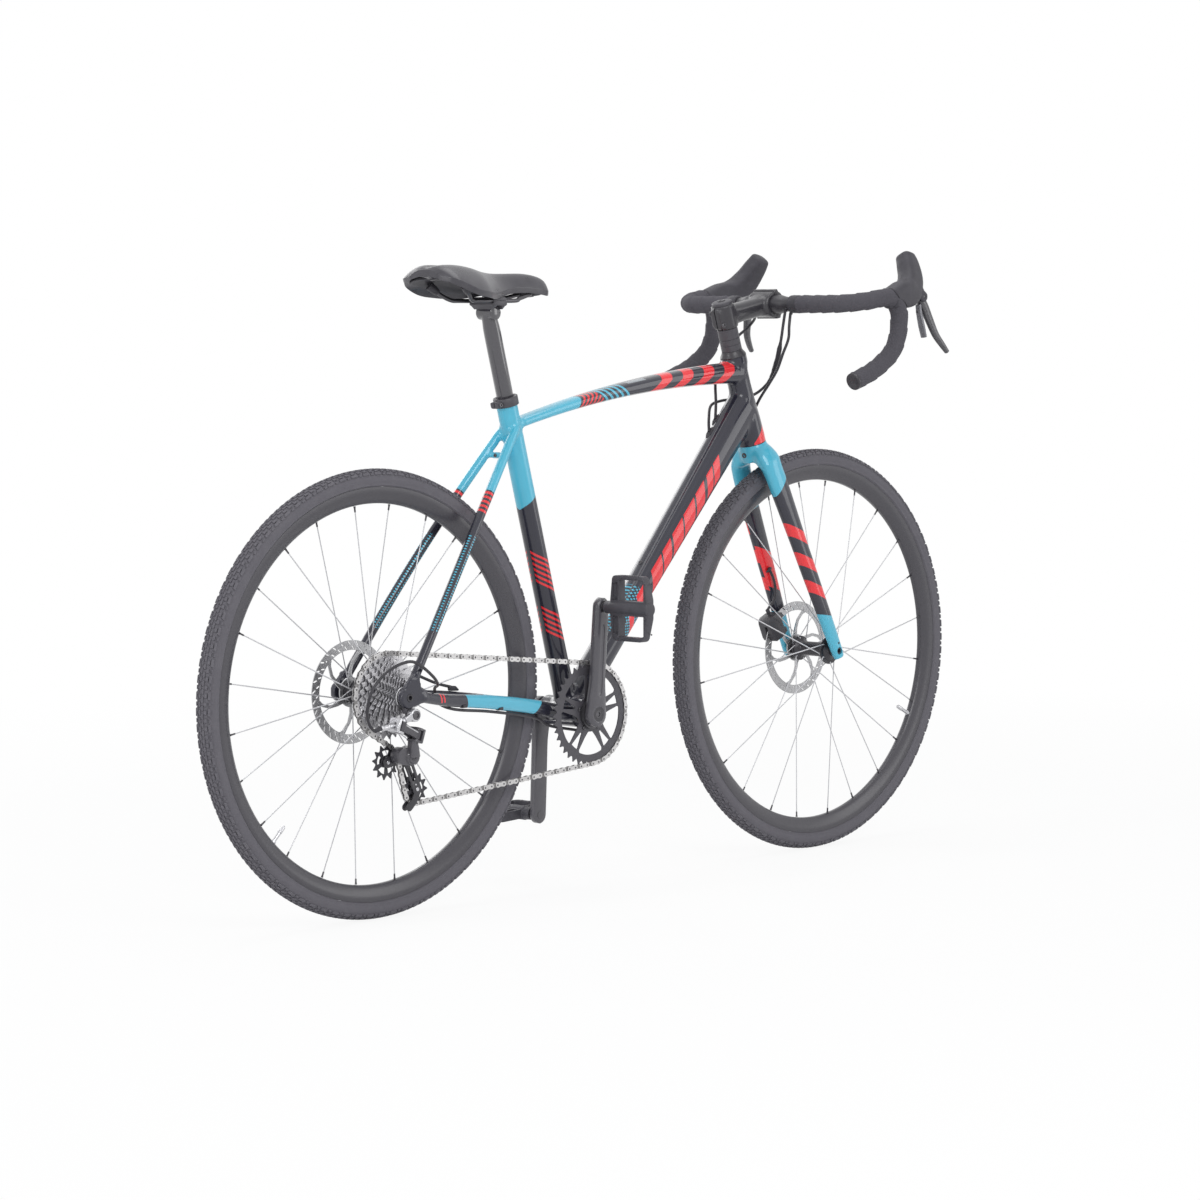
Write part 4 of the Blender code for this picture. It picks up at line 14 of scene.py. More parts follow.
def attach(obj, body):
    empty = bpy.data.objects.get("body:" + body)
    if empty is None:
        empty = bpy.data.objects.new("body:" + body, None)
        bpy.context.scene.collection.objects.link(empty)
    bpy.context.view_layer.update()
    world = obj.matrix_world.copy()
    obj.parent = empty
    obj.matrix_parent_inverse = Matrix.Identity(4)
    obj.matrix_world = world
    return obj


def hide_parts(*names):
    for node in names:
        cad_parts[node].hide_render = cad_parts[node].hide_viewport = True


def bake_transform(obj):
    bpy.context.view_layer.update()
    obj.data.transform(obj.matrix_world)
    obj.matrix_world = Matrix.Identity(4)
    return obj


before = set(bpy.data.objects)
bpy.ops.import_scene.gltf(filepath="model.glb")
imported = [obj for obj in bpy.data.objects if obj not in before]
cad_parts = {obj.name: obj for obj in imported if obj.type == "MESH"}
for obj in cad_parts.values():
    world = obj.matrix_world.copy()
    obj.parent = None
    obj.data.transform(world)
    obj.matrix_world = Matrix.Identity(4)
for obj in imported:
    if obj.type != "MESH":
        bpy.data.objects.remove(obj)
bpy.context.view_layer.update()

X, Y, Z = Vector((1, 0, 0)), Vector((0, 1, 0)), Vector((0, 0, 1))
SIDES = {"right": -1, "left": 1}


# Camera, from the photograph's perspective

CAMERA_PLACE = Vector((-4.3023, -4.1322, 0.9206))
CAMERA_AZIMUTH, CAMERA_ELEVATION, CAMERA_ROLL = (math.radians(a) for a in (-46.0616, 4.4219, -0.2457))
FOCAL_PIXELS, IMAGE_PIXELS, SENSOR = 3687.8, 1200, 36.0


def add_camera():
    a, e, roll = CAMERA_AZIMUTH, CAMERA_ELEVATION, CAMERA_ROLL
    back = Vector((math.sin(a) * math.cos(e), -math.cos(a) * math.cos(e), math.sin(e)))
    right = Z.cross(back).normalized()
    up = back.cross(right)
    right, up = (right * math.cos(roll) + up * math.sin(roll), up * math.cos(roll) - right * math.sin(roll))
    data = bpy.data.cameras.new("camera")
    data.sensor_fit = "HORIZONTAL"
    data.sensor_width = SENSOR
    data.lens = FOCAL_PIXELS / IMAGE_PIXELS * SENSOR
    data.clip_end = 100
    camera = bpy.data.objects.new("camera", data)
    camera.matrix_world = Matrix.Translation(CAMERA_PLACE) @ Matrix((right, up, back)).transposed().to_4x4()
    bpy.context.scene.collection.objects.link(camera)
    bpy.context.scene.camera = camera


add_camera()


# Sizes shared with the part

CLEARANCE = 0.0003
WHEEL_RADIUS, WHEELBASE, CHAINSTAY_LENGTH, BB_DROP = 0.345, 1.025, 0.4267, 0.06
SEAT_ANGLE, HEAD_ANGLE = math.radians(74.9), math.radians(72.3)
REAR_AXLE = Vector((-WHEELBASE / 2, 0, WHEEL_RADIUS))
FRONT_AXLE = Vector((WHEELBASE / 2, 0, WHEEL_RADIUS))
BB = REAR_AXLE + Vector((math.sqrt(CHAINSTAY_LENGTH ** 2 - BB_DROP ** 2), 0, -BB_DROP))
SEAT_AXIS = Vector((-math.cos(SEAT_ANGLE), 0, math.sin(SEAT_ANGLE)))
STEER_AXIS = Vector((-math.cos(HEAD_ANGLE), 0, math.sin(HEAD_ANGLE)))
STEER_FORWARD = Vector((math.sin(HEAD_ANGLE), 0, math.cos(HEAD_ANGLE)))
STEER_FOOT = FRONT_AXLE - 0.0394 * STEER_FORWARD
CROWN_RACE = 0.3905
HEAD_TOP = CROWN_RACE + 0.153
COVER_TOP = HEAD_TOP + 0.011
STEM_BOTTOM = COVER_TOP + 0.039
STEM_TOP = STEM_BOTTOM + 0.04
SEAT_TUBE_LENGTH = 0.524


def on_steerer(distance):
    return STEER_FOOT + distance * STEER_AXIS


def on_seat_tube(distance):
    return BB + distance * SEAT_AXIS


STEM_DIRECTION = Matrix.Rotation(math.radians(7), 3, "Y") @ STEER_FORWARD
BAR_CENTRE = on_steerer(STEM_BOTTOM + 0.02) + 0.105 * STEM_DIRECTION
TILT_AXIS = on_seat_tube(SEAT_TUBE_LENGTH + 0.1385)
RAIL_HEIGHT = TILT_AXIS.z + 0.0185
TOP_TUBE_REAR = on_seat_tube(0.479)
TOP_TUBE_FRONT = on_steerer(HEAD_TOP - 0.029)
DOWN_TUBE_FRONT = on_steerer(CROWN_RACE + 0.066)
SEAT_STAY_TOP = on_seat_tube(0.478)
LARGEST_COG_OFFSET = 0.0288
B_BOLT = REAR_AXLE + Vector((0.004, 0, -0.026))
B_PIVOTS = REAR_AXLE + Vector((-0.0185, -0.0765, -0.042))
GUIDE_PULLEY = REAR_AXLE + Vector((-0.003, -LARGEST_COG_OFFSET, -0.1015))
TENSION_PULLEY = REAR_AXLE + Vector((0.0574, -LARGEST_COG_OFFSET, -0.1482))
CAGE_PIVOT = REAR_AXLE + Vector((0.0285, -LARGEST_COG_OFFSET, -0.094))
RD_AXIS = Vector((math.sin(math.radians(20)), 0, math.cos(math.radians(20))))
RD_ALONG = Vector((math.cos(math.radians(20)), 0, -math.sin(math.radians(20))))
CHAIN_PITCH, CHAINRING_TEETH, CHAINLINE = 0.0127, 40, 0.05
GUIDE_TEETH, TENSION_TEETH = 12, 11
COG_TEETH = (11, 12, 13, 14, 16, 18, 20, 22, 25, 28, 32)
FIRST_COG_OFFSET, COG_PITCH = 0.0663, 0.00375
CRANK_LENGTH, CRANK_INNER, CRANK_THICKNESS = 0.1725, 0.056, 0.0138
CRANK_INNER_PEDAL = {-1: 0.063, 1: 0.057}
PEDAL_GAP, PEDAL_WIDTH = 0.02, 0.08
TYRE_WIDTH, TYRE_GAP = 0.033, 0.0065
CHAINSTAY_WIDTH, CHAINSTAY_HEIGHT, STAY_RADIUS = 0.015, 0.021, 0.0075
SEAT_STAY_BRIDGE = SEAT_STAY_TOP - Vector((0.03, 0, 0.045))
AXLE_BORE, SEAT_BORE, STEERER_BORE = 0.0063, 0.0139, 0.0146
BB_HALF_WIDTH = 0.0425
DOWN_TUBE_ALONG = (DOWN_TUBE_FRONT - BB).normalized()
DOWN_TUBE_UP = Vector((-DOWN_TUBE_ALONG.z, 0, DOWN_TUBE_ALONG.x))
BARREL_AXIS = Vector((-1, 0, -0.12)).normalized()
BARREL_FOOT = B_PIVOTS - RD_ALONG * 0.008


def pitch_radius(teeth):
    return CHAIN_PITCH / (2 * math.sin(math.pi / teeth))


# Mesh helpers

def skin(rings, loop=False):
    bm = bmesh.new()
    made = [[bm.verts.new(point) for point in ring] for ring in rings]
    count = len(made[0])
    pairs = list(zip(made, made[1:])) + ([(made[-1], made[0])] if loop else [])
    for first, second in pairs:
        for i in range(count):
            j = (i + 1) % count
            bm.faces.new((first[i], first[j], second[j], second[i]))
    if not loop:
        bm.faces.new(list(reversed(made[0])))
        bm.faces.new(made[-1])
    return bm


def across(direction, hint=Y):
    along = Vector(direction).normalized()
    side = Vector(hint) - along * along.dot(Vector(hint))
    side.normalize()
    return side, along.cross(side)


def oval(centre, side, other, half_side, half_other, count, power=2.0):
    ring = []
    for i in range(count):
        angle = 2 * math.pi * (i + 0.5) / count
        c, s = math.cos(angle), math.sin(angle)
        ring.append(Vector(centre) + side * (half_side * math.copysign(abs(c) ** (2 / power), c))
                    + other * (half_other * math.copysign(abs(s) ** (2 / power), s)))
    return ring


def directions(points):
    ends = [points[0], *points, points[-1]]
    return [(after - before).normalized() for before, after in zip(ends, ends[2:])]


def sweep(points, sections, count, power=2.0, hint=Y):
    rings = []
    for point, along, (half_side, half_other) in zip(points, directions(points), sections):
        side, other = across(along, hint)
        rings.append(oval(point, side, other, half_side, half_other, count, power))
    return skin(rings)


def rod(start, end, radius, count=32, hint=Y):
    start, end = Vector(start), Vector(end)
    if abs((end - start).normalized().dot(Vector(hint))) > 0.95:
        hint = Z
    return sweep([start, end], [(radius, radius)] * 2, count, hint=hint)


def cross_rod(centre, half, radius, count):
    """Rod from side to side of the bike, about a centre."""
    return rod(centre - half * Y, centre + half * Y, radius, count)


def turned(profile, centre, axis, count, hint=X):
    """Closed profile of (place along the axis, radius) turned round an axis."""
    axis = Vector(axis).normalized()
    side, other = across(axis, hint)
    rings = []
    for i in range(count):
        angle = 2 * math.pi * i / count
        out = side * math.cos(angle) + other * math.sin(angle)
        rings.append([Vector(centre) + axis * place + out * radius for place, radius in profile])
    return skin(rings, loop=True)


def stack(profile, centre, axis, count=48, hint=Z):
    """Solid turned piece: profile lists (place along the axis, radius) from one end to the other."""
    axis = Vector(axis).normalized()
    side, other = across(axis, hint)
    return skin([oval(Vector(centre) + axis * place, side, other, radius, radius, count)
                 for place, radius in profile])


def prism(outline, low, high, place):
    def level(value, u, v):
        return value(u, v) if callable(value) else value
    return skin([[place(u, v, level(end, u, v)) for u, v in outline] for end in (low, high)])


def side_view(centre):
    return lambda u, v, w: Vector((centre.x + u, w, centre.z + v))


def arc(centre_u, centre_v, radius, start, end, count):
    points = []
    for i in range(count + 1):
        angle = math.radians(start + (end - start) * i / count)
        points.append((centre_u + radius * math.cos(angle), centre_v + radius * math.sin(angle)))
    return points


def curve_through(points, per_span):
    """Smooth path through points (Catmull-Rom)."""
    points = [Vector(p) for p in points]
    count = len(points)
    path = []
    for i in range(count - 1):
        b, c = points[i], points[i + 1]
        a = points[i - 1] if i else b * 2 - c
        d = points[i + 2] if i + 2 < count else c * 2 - b
        for k in range(per_span):
            t = k / per_span
            path.append(0.5 * (2 * b + (c - a) * t + (2 * a - 5 * b + 4 * c - d) * t * t
                               + (3 * b - 3 * c + d - a) * t ** 3))
    path.append(points[-1])
    return path


def mirror_y(point):
    return Vector((point[0], -point[1], point[2]))


def lerp(a, b, t):
    return a + (b - a) * t


def smoothstep(t):
    t = min(max(t, 0.0), 1.0)
    return t * t * (3 - 2 * t)


def carried_rings(path, radii, count, hint=Z):
    """Rings carried along a path with the least twist. radii holds (half side, half other) for each point."""
    along = directions(path)
    side, _ = across(along[0], hint)
    rings = []
    for point, ahead, (a, b) in zip(path, along, radii):
        side, other = across(ahead, side)
        rings.append(oval(point, side, other, a, b, count))
    return rings


def tube(path, radius, count=16, hint=Z):
    return skin(carried_rings(path, [(radius, radius)] * len(path), count, hint))


def joined(*parts):
    """One bmesh of several."""
    bm = bmesh.new()
    for part in parts:
        mesh = bpy.data.meshes.new("part")
        part.to_mesh(mesh)
        part.free()
        bm.from_mesh(mesh)
        bpy.data.meshes.remove(mesh)
    return bm


def mesh_object(name, bm, sharp=35):
    bmesh.ops.recalc_face_normals(bm, faces=bm.faces)
    mesh = bpy.data.meshes.new(name)
    bm.to_mesh(mesh)
    bm.free()
    mesh.shade_smooth()
    if sharp:
        mesh.set_sharp_from_angle(angle=math.radians(sharp))
    obj = bpy.data.objects.new(name, mesh)
    bpy.context.scene.collection.objects.link(obj)
    return obj


def applied(obj):
    """Applies an object's modifiers."""
    bpy.context.view_layer.update()
    graph = bpy.context.evaluated_depsgraph_get()
    baked = bpy.data.meshes.new_from_object(obj.evaluated_get(graph))
    obj.modifiers.clear()
    old, name = obj.data, obj.data.name
    obj.data = baked
    bpy.data.meshes.remove(old)
    baked.name = name
    return obj


def boolean(obj, other, operation="DIFFERENCE", solver="MANIFOLD"):
    modifier = obj.modifiers.new("cut", "BOOLEAN")
    modifier.operation = operation
    modifier.solver = solver
    modifier.object = other
    applied(obj)
    bpy.data.objects.remove(other)
    return obj


def smooth_shading(obj, sharp=35):
    obj.data.shade_smooth()
    obj.data.set_sharp_from_angle(angle=math.radians(sharp))
    return obj


def bevelled(obj, width, segments=2, angle=30):
    modifier = obj.modifiers.new("edges", "BEVEL")
    modifier.width = width
    modifier.segments = segments
    modifier.limit_method = "ANGLE"
    modifier.angle_limit = math.radians(angle)
    modifier.harden_normals = False
    applied(obj)
    return smooth_shading(obj, 40)


def subdivided(obj, levels=2):
    modifier = obj.modifiers.new("fine", "SUBSURF")
    modifier.levels = modifier.render_levels = levels
    applied(obj)
    obj.data.shade_smooth()
    return obj


def finish_piece(obj, look, body, replaces=()):
    """look is the name of a material in MATERIALS. replaces lists the solids that the piece stands for."""
    obj.data.materials.clear()
    obj.data.materials.append(MATERIALS[look])
    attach(obj, body)
    if replaces:
        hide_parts(*replaces)


def add_piece(name, bm, look, body, replaces=(), sharp=30):
    finish_piece(mesh_object(name, bm, sharp), look, body, replaces)


def bolt(place, axis, radius, height, socket=True, washer=0.0):
    """Round bolt head with a hexagon socket, standing on a face at place."""
    axis = Vector(axis).normalized()
    profile = [(-0.0006, radius), (height * 0.75, radius), (height, radius * 0.86)]
    if washer:
        profile = [(-0.0006, washer), (0.0006, washer)] + [(max(p, 0.0007), r) for p, r in profile]
    side, other = across(axis, X if abs(axis.x) < 0.8 else Z)
    rings = [oval(Vector(place) + axis * p, side, other, r, r, 24) for p, r in profile]
    if socket:
        inner = radius * 0.52
        for depth in (height, height * 0.35):
            ring = []
            for i in range(24):
                angle = 2 * math.pi * (i + 0.5) / 24
                sector = (angle % (math.pi / 3)) - math.pi / 6
                reach = inner * math.cos(math.pi / 6) / math.cos(sector)
                ring.append(Vector(place) + axis * depth + side * (reach * math.cos(angle))
                            + other * (reach * math.sin(angle)))
            rings.append(ring)
    return skin(rings)


# Materials

class Field:
    """A number that varies over a surface. The usual signs combine such numbers."""

    def __init__(self, tree, socket):
        self.tree, self.socket = tree, socket

    def math(self, operation, *others):
        node = self.tree.nodes.new("ShaderNodeMath")
        node.operation = operation
        for place, value in zip(node.inputs, (self, *others)):
            if isinstance(value, Field):
                self.tree.links.new(value.socket, place)
            else:
                place.default_value = value
        return Field(self.tree, node.outputs[0])

    def __add__(self, other):
        return self.math("ADD", other)

    def __sub__(self, other):
        return self.math("SUBTRACT", other)

    def __mul__(self, other):
        return self.math("MULTIPLY", other)

    def __truediv__(self, other):
        return self.math("DIVIDE", other)

    def __rsub__(self, other):
        return self.math("MULTIPLY", -1.0) + other

    __radd__, __rmul__ = __add__, __mul__

    def above(self, edge):
        return self.math("GREATER_THAN", edge)

    def below(self, edge):
        return self.math("LESS_THAN", edge)

    def between(self, low, high):
        return self.above(low) * self.below(high)

    def rise(self, low, high):
        """From 0 at low to 1 at high."""
        node = self.tree.nodes.new("ShaderNodeMapRange")
        self.tree.links.new(self.socket, node.inputs["Value"])
        node.inputs["From Min"].default_value, node.inputs["From Max"].default_value = low, high
        return Field(self.tree, node.outputs["Result"])

    def abs(self):
        return self.math("ABSOLUTE")

    def min(self, other):
        return self.math("MINIMUM", other)

    def max(self, other):
        return self.math("MAXIMUM", other)

    def either(self, *others):
        found = self
        for other in others:
            found = found.max(other)
        return found

    def stripes(self, first, pitch, width, count):
        """1 on count stripes of a width, the first of them centred on first."""
        place = self - (first - pitch / 2)
        cell = (place / pitch).math("FLOOR")
        return (place - (cell + 0.5) * pitch).abs().below(width / 2) * cell.between(-0.5, count - 0.5)


class Shade:
    """A material under construction: numbers set alike all over go on the shader, and the rest is linked."""

    def __init__(self, name, roughness=0.4, metallic=0.0, coat=0.0, coat_roughness=0.04, specular=0.5):
        self.material = bpy.data.materials.new(name)
        self.material.use_nodes = True
        self.tree = self.material.node_tree
        self.shader = self.tree.nodes["Principled BSDF"]
        for key, value in (("Roughness", roughness), ("Metallic", metallic), ("Coat Weight", coat),
                           ("Coat Roughness", coat_roughness), ("Specular IOR Level", specular)):
            self.shader.inputs[key].default_value = value
        self.place = self.tree.nodes.new("ShaderNodeTexCoord").outputs["Object"]

    def along(self, origin, direction):
        """Distance from origin in a direction, over the surface."""
        node = self.tree.nodes.new("ShaderNodeVectorMath")
        node.operation = "DOT_PRODUCT"
        self.tree.links.new(self.place, node.inputs[0])
        node.inputs[1].default_value = tuple(direction)
        return Field(self.tree, node.outputs["Value"]) - Vector(origin).dot(Vector(direction))

    def around(self, origin, axis, zero):
        """Angle round an axis in degrees, from -180 to 180, zero towards the given direction."""
        axis = Vector(axis).normalized()
        side, other = across(axis, zero)
        return self.along(origin, other).math("ARCTAN2", self.along(origin, side)) * math.degrees(1)

    def noise(self, scale, detail=3.0, roughness=0.55, stretch=(1, 1, 1), seed=0.0):
        mapping = self.tree.nodes.new("ShaderNodeMapping")
        mapping.inputs["Scale"].default_value = stretch
        mapping.inputs["Location"].default_value = (seed, seed, seed)
        self.tree.links.new(self.place, mapping.inputs["Vector"])
        node = self.tree.nodes.new("ShaderNodeTexNoise")
        self.tree.links.new(mapping.outputs["Vector"], node.inputs["Vector"])
        node.inputs["Scale"].default_value = scale
        node.inputs["Detail"].default_value = detail
        node.inputs["Roughness"].default_value = roughness
        return Field(self.tree, node.outputs["Fac"])

    def cells(self, scale):
        mapping = self.tree.nodes.new("ShaderNodeMapping")
        self.tree.links.new(self.place, mapping.inputs["Vector"])
        node = self.tree.nodes.new("ShaderNodeTexVoronoi")
        self.tree.links.new(mapping.outputs["Vector"], node.inputs["Vector"])
        node.inputs["Scale"].default_value = scale
        return Field(self.tree, node.outputs["Distance"])

    def mix(self, share, first, second):
        """Colour between two, each a colour or the result of another mix."""
        node = self.tree.nodes.new("ShaderNodeMix")
        node.data_type = "RGBA"
        self.tree.links.new(share.socket, node.inputs["Factor"])
        for place, colour in ((node.inputs[6], first), (node.inputs[7], second)):
            if isinstance(colour, bpy.types.NodeSocket):
                self.tree.links.new(colour, place)
            else:
                place.default_value = (*colour, 1)
        return node.outputs[2]

    def colour(self, value):
        if isinstance(value, bpy.types.NodeSocket):
            self.tree.links.new(value, self.shader.inputs["Base Color"])
        else:
            self.shader.inputs["Base Color"].default_value = (*value, 1)
        return self

    def speckle(self, base, other, scale):
        """Base colour that turns to the other one in fine specks."""
        return self.colour(self.mix(self.noise(scale).rise(0.35, 0.75), base, other))

    def vary(self, key, field, low, high):
        self.tree.links.new((field * (high - low) + low).socket, self.shader.inputs[key])
        return self

    def bump(self, height, distance, strength):
        """Relief of a height field that runs from 0 to 1, over a distance in metres."""
        node = self.tree.nodes.new("ShaderNodeBump")
        node.inputs["Strength"].default_value = strength
        node.inputs["Distance"].default_value = distance
        self.tree.links.new(height.socket, node.inputs["Height"])
        self.tree.links.new(node.outputs["Normal"], self.shader.inputs["Normal"])
        return self


NAVY, TEAL, RED = (0.021, 0.021, 0.034), (0.085, 0.49, 0.67), (0.87, 0.026, 0.036)


def tube_coordinates(shade, start, end):
    """Distance along a line in the side view and upwards from it."""
    ahead = (end - start).normalized()
    return shade.along(start, ahead), shade.along(start, Vector((-ahead.z, 0, ahead.x)))


def paint(name, seed):
    """Glossy bike paint: a clear coat over colour with the faintest flake and orange peel."""
    shade = Shade(name, roughness=0.34, coat=0.8, coat_roughness=0.035, specular=0.2)
    shade.bump(shade.noise(240, 2.0, seed=seed), 0.00001, 0.06)
    return shade


def painted(shade, colours, seed=0.0):
    """Takes [(mask, colour)] over the dark base, and mottles the whole very slightly."""
    fleck = shade.noise(1400, 2.0, seed=seed).rise(0.3, 0.85)
    base = shade.mix(fleck, NAVY, tuple(1.25 * c for c in NAVY))
    for mask, colour in colours:
        lively = shade.mix(fleck, tuple(0.94 * c for c in colour),
                           tuple(min(1.0, 1.05 * c) for c in colour))
        base = shade.mix(mask, base, lively)
    return shade.colour(base).material


def top_tube_paint():
    shade = paint("paint_top_tube", 1.0)
    t, h = tube_coordinates(shade, TOP_TUBE_REAR, TOP_TUBE_FRONT)
    leaning = t - h * 0.7
    upright = t + h * 0.96
    teal = (t - h * 0.51).below(0.1381).max(upright.stripes(0.2145, 0.0126, 0.0055, 5))
    thin = leaning.stripes(0.1425, 0.0091, 0.0042, 6) * upright.below(0.2085)
    fold = t * -0.0794 + (0.0177 + 0.0794 * 0.345)
    chevron = t - (h - fold).max(0.0) * 0.43 - (h - fold).min(0.0) * 1.5
    wide = chevron.stripes(0.3478, 0.0502, 0.0248, 4)
    plate = t.between(0.262, 0.303) * h.between(0.0252,
                                                0.0287) * shade.along((0, 0, 0), Y).abs().above(0.004)
    return painted(shade, [(teal, TEAL), (thin.max(wide), RED), (plate, (0.3, 0.33, 0.36))], 1.0)


def down_tube_paint():
    shade = paint("paint_down_tube", 2.0)
    t, h = tube_coordinates(shade, BB, DOWN_TUBE_FRONT)
    slant = t - h * 0.9
    bars = slant.between(0.345, 0.424).either(slant.between(0.43, 0.46), slant.between(0.47, 0.516),
                                              slant.between(0.268, 0.338), slant.between(0.215, 0.24),
                                              slant.between(0.184, 0.2))
    gaps = slant.stripes(0.3065, 0.077, 0.005, 2).max(slant.stripes(0.493, 0.08, 0.004, 1))
    bars = bars * h.between(-0.0165, 0.0125) * (1.0 - gaps)
    pitch = 0.0065
    dots = []
    for shift in (0.0, pitch / 2):
        u = ((t + shift) / pitch).math("FRACT") - 0.5
        v = ((h + shift) / pitch).math("FRACT") - 0.5
        dots.append((u * u + v * v).math("SQRT").below(0.22))
    halftone = dots[0].max(dots[1]) * t.between(0.15, 0.243)
    return painted(shade, [(halftone, TEAL), (bars, RED)], 2.0)


def seat_tube_paint():
    shade = paint("paint_seat_tube", 3.0)
    t = shade.along(BB, SEAT_AXIS)
    turn = shade.around(BB, SEAT_AXIS, Vector((-SEAT_AXIS.z, 0, SEAT_AXIS.x))).abs()
    teal = (t - turn * 0.000133).above(0.3447)
    slant = t + turn * 0.000224
    stripes = slant.stripes(0.231, 0.00946, 0.0045, 6).max(slant.stripes(0.148, 0.0095, 0.0045, 5))
    return painted(shade, [(teal, TEAL), (stripes * turn.above(15.0), RED)], 3.0)


def head_tube_paint():
    shade = paint("paint_head_tube", 4.0)
    t = shade.along(STEER_FOOT, STEER_AXIS)
    turn = shade.around(STEER_FOOT, STEER_AXIS, -STEER_FORWARD).abs()
    wedge = (t - (turn - 52.7) * 0.000343).below(0.3942) * turn.above(52.7)
    return painted(shade, [(wedge, RED)], 4.0)


def seat_stay_paint(sign):
    shade = paint("paint_seat_stay", 5.0 + sign)
    foot = REAR_AXLE + Vector((0.013, sign * 0.074, 0.024))
    head = SEAT_STAY_TOP + Vector((0, sign * 0.0125, 0))
    ahead = (head - foot).normalized()
    side, other = across(ahead)
    t, u, v = shade.along(foot, ahead), shade.along(foot, side), shade.along(foot, other)
    turn = v.math("ARCTAN2", u)
    pitch = 0.0048
    row = (turn * (0.0075 / pitch)).math("FLOOR")
    across_row = (turn * (0.0075 / pitch)).math("FRACT") - 0.5
    along_row = (t / pitch + row * 0.5).math("FRACT") - 0.5
    away = (across_row * across_row + along_row * along_row).math("SQRT")
    dots = away.below(0.25) * t.between(0.0863, 0.2615)
    teal, marks = t.above(0.3469).max(dots), t.stripes(0.3084, 0.0084, 0.0042, 5)
    return painted(shade, [(teal, TEAL), (marks, RED)], 5.0)


def chainstay_paint():
    shade = paint("paint_chainstay", 6.0)
    x, y, z = (shade.along((0, 0, 0), axis) for axis in (X, Y, Z))
    slant = x + z * 0.2
    hidden = y.above(0.0) * slant.below(-0.18)
    bounded = slant.above(-0.31) * (x - z).below(-0.4936) * (x + z).below(0.135)
    teal = bounded * y.abs().above(0.012) * (1.0 - hidden)
    marks = slant.between(-0.3745, -0.371).max(slant.between(-0.367, -0.3635)) * z.above(0.331)
    return painted(shade, [(teal, TEAL), (marks, RED)], 6.0)


def plain_paint():
    return painted(paint("paint_navy", 7.0), [], 7.0)


def fork_leg_paint(sign):
    shade = paint("paint_fork_" + ("left" if sign > 0 else "right"), 8.0 + sign)
    top, foot = fork_leg_top(sign), front_dropout(sign)
    ahead = (foot - top).normalized()
    fore = Vector((-ahead.z, 0, ahead.x)).normalized()
    t, h = shade.along(top, ahead), shade.along(top, fore)
    out = shade.along(top, Y * sign)
    leaning = t - h * 1.04
    bands = leaning.between(0.096, 0.1204).either(leaning.between(0.15, 0.175),
                                                  leaning.between(0.2025, 0.2265))
    inside = out.below(-0.003)
    tip = (t - h * 0.64).above(0.2626)
    if sign > 0:
        outer = out.above(0.006)
        colours = [(bands * outer, RED), (tip * outer, TEAL),
                   ((t + h * 0.55).below(0.016).either(inside * t.below(0.06)), TEAL),
                   ((1.0 - outer) * (t - h * 0.9).between(0.14, 0.216), RED)]
        return painted(shade, colours, 8.0 + sign)
    teal = ((t + h * 0.55).below(0.016)).either(tip, inside * t.below(0.06))
    colours = [(bands * (1.0 - inside), RED), (teal, TEAL)]
    return painted(shade, colours, 8.0 + sign)


def crown_paint():
    shade = paint("paint_crown", 10.0)
    t = shade.along(STEER_FOOT, STEER_AXIS)
    return painted(shade, [(t.below(CROWN_RACE - 0.001), TEAL)], 10.0)


def alloy(name, colour, roughness, other=None, metallic=0.0, scale=1800.0, relief=0.00002, coat=0.0):
    """Anodised or painted metal: fine grain in colour and roughness."""
    shade = Shade(name, roughness, metallic, coat)
    shade.speckle(colour, other or tuple(1.6 * c + 0.004 for c in colour), scale)
    grain = shade.noise(scale * 1.3, 2.0)
    shade.vary("Roughness", grain, roughness * 0.85, min(1.0, roughness * 1.2))
    if relief:
        shade.bump(grain, relief, 0.35)
    return shade.material


def turned_metal(name, colour, roughness, centre, axis, metallic=0.9):
    """Metal with fine turning marks round an axis."""
    shade = Shade(name, roughness, metallic)
    side, other = across(axis, X if abs(Vector(axis).x) < 0.9 else Z)
    u, v = shade.along(centre, side), shade.along(centre, other)
    radius = (u * u + v * v).math("SQRT")
    marks = (radius * 9000.0).math("SINE") * 0.5 + 0.5
    blotch = shade.noise(160, 3.0)
    shade.colour(shade.mix(blotch.rise(0.3, 0.7), tuple(0.88 * c for c in colour), colour))
    shade.vary("Roughness", blotch, roughness * 0.85, roughness * 1.25)
    return shade.bump(marks, 0.00001, 0.12).material


def rubber(name, colour, roughness, scale=700.0, relief=0.00006, lighter=1.7):
    shade = Shade(name, roughness, specular=0.35)
    patch, grain = shade.noise(60, 4.0), shade.noise(scale, 3.0)
    base = shade.mix(grain.rise(0.35, 0.7), colour, tuple(lighter * c for c in colour))
    shade.colour(shade.mix(patch.rise(0.45, 0.75) * 0.35, base, tuple(2.2 * c for c in colour)))
    shade.vary("Roughness", patch, roughness * 0.9, min(1.0, roughness * 1.1))
    return shade.bump(grain, relief, 0.5).material


# Frame and fork: smooth sweeps, melted together by a remesh, with fillets where they meet

VOXEL = 0.0018
INNER_CORNER_LIFT = 0.00011


def neighbour_mean(points, edges, degree):
    total = np.zeros_like(points)
    np.add.at(total, edges[:, 0], points[edges[:, 1]])
    np.add.at(total, edges[:, 1], points[edges[:, 0]])
    return total / degree[:, None]


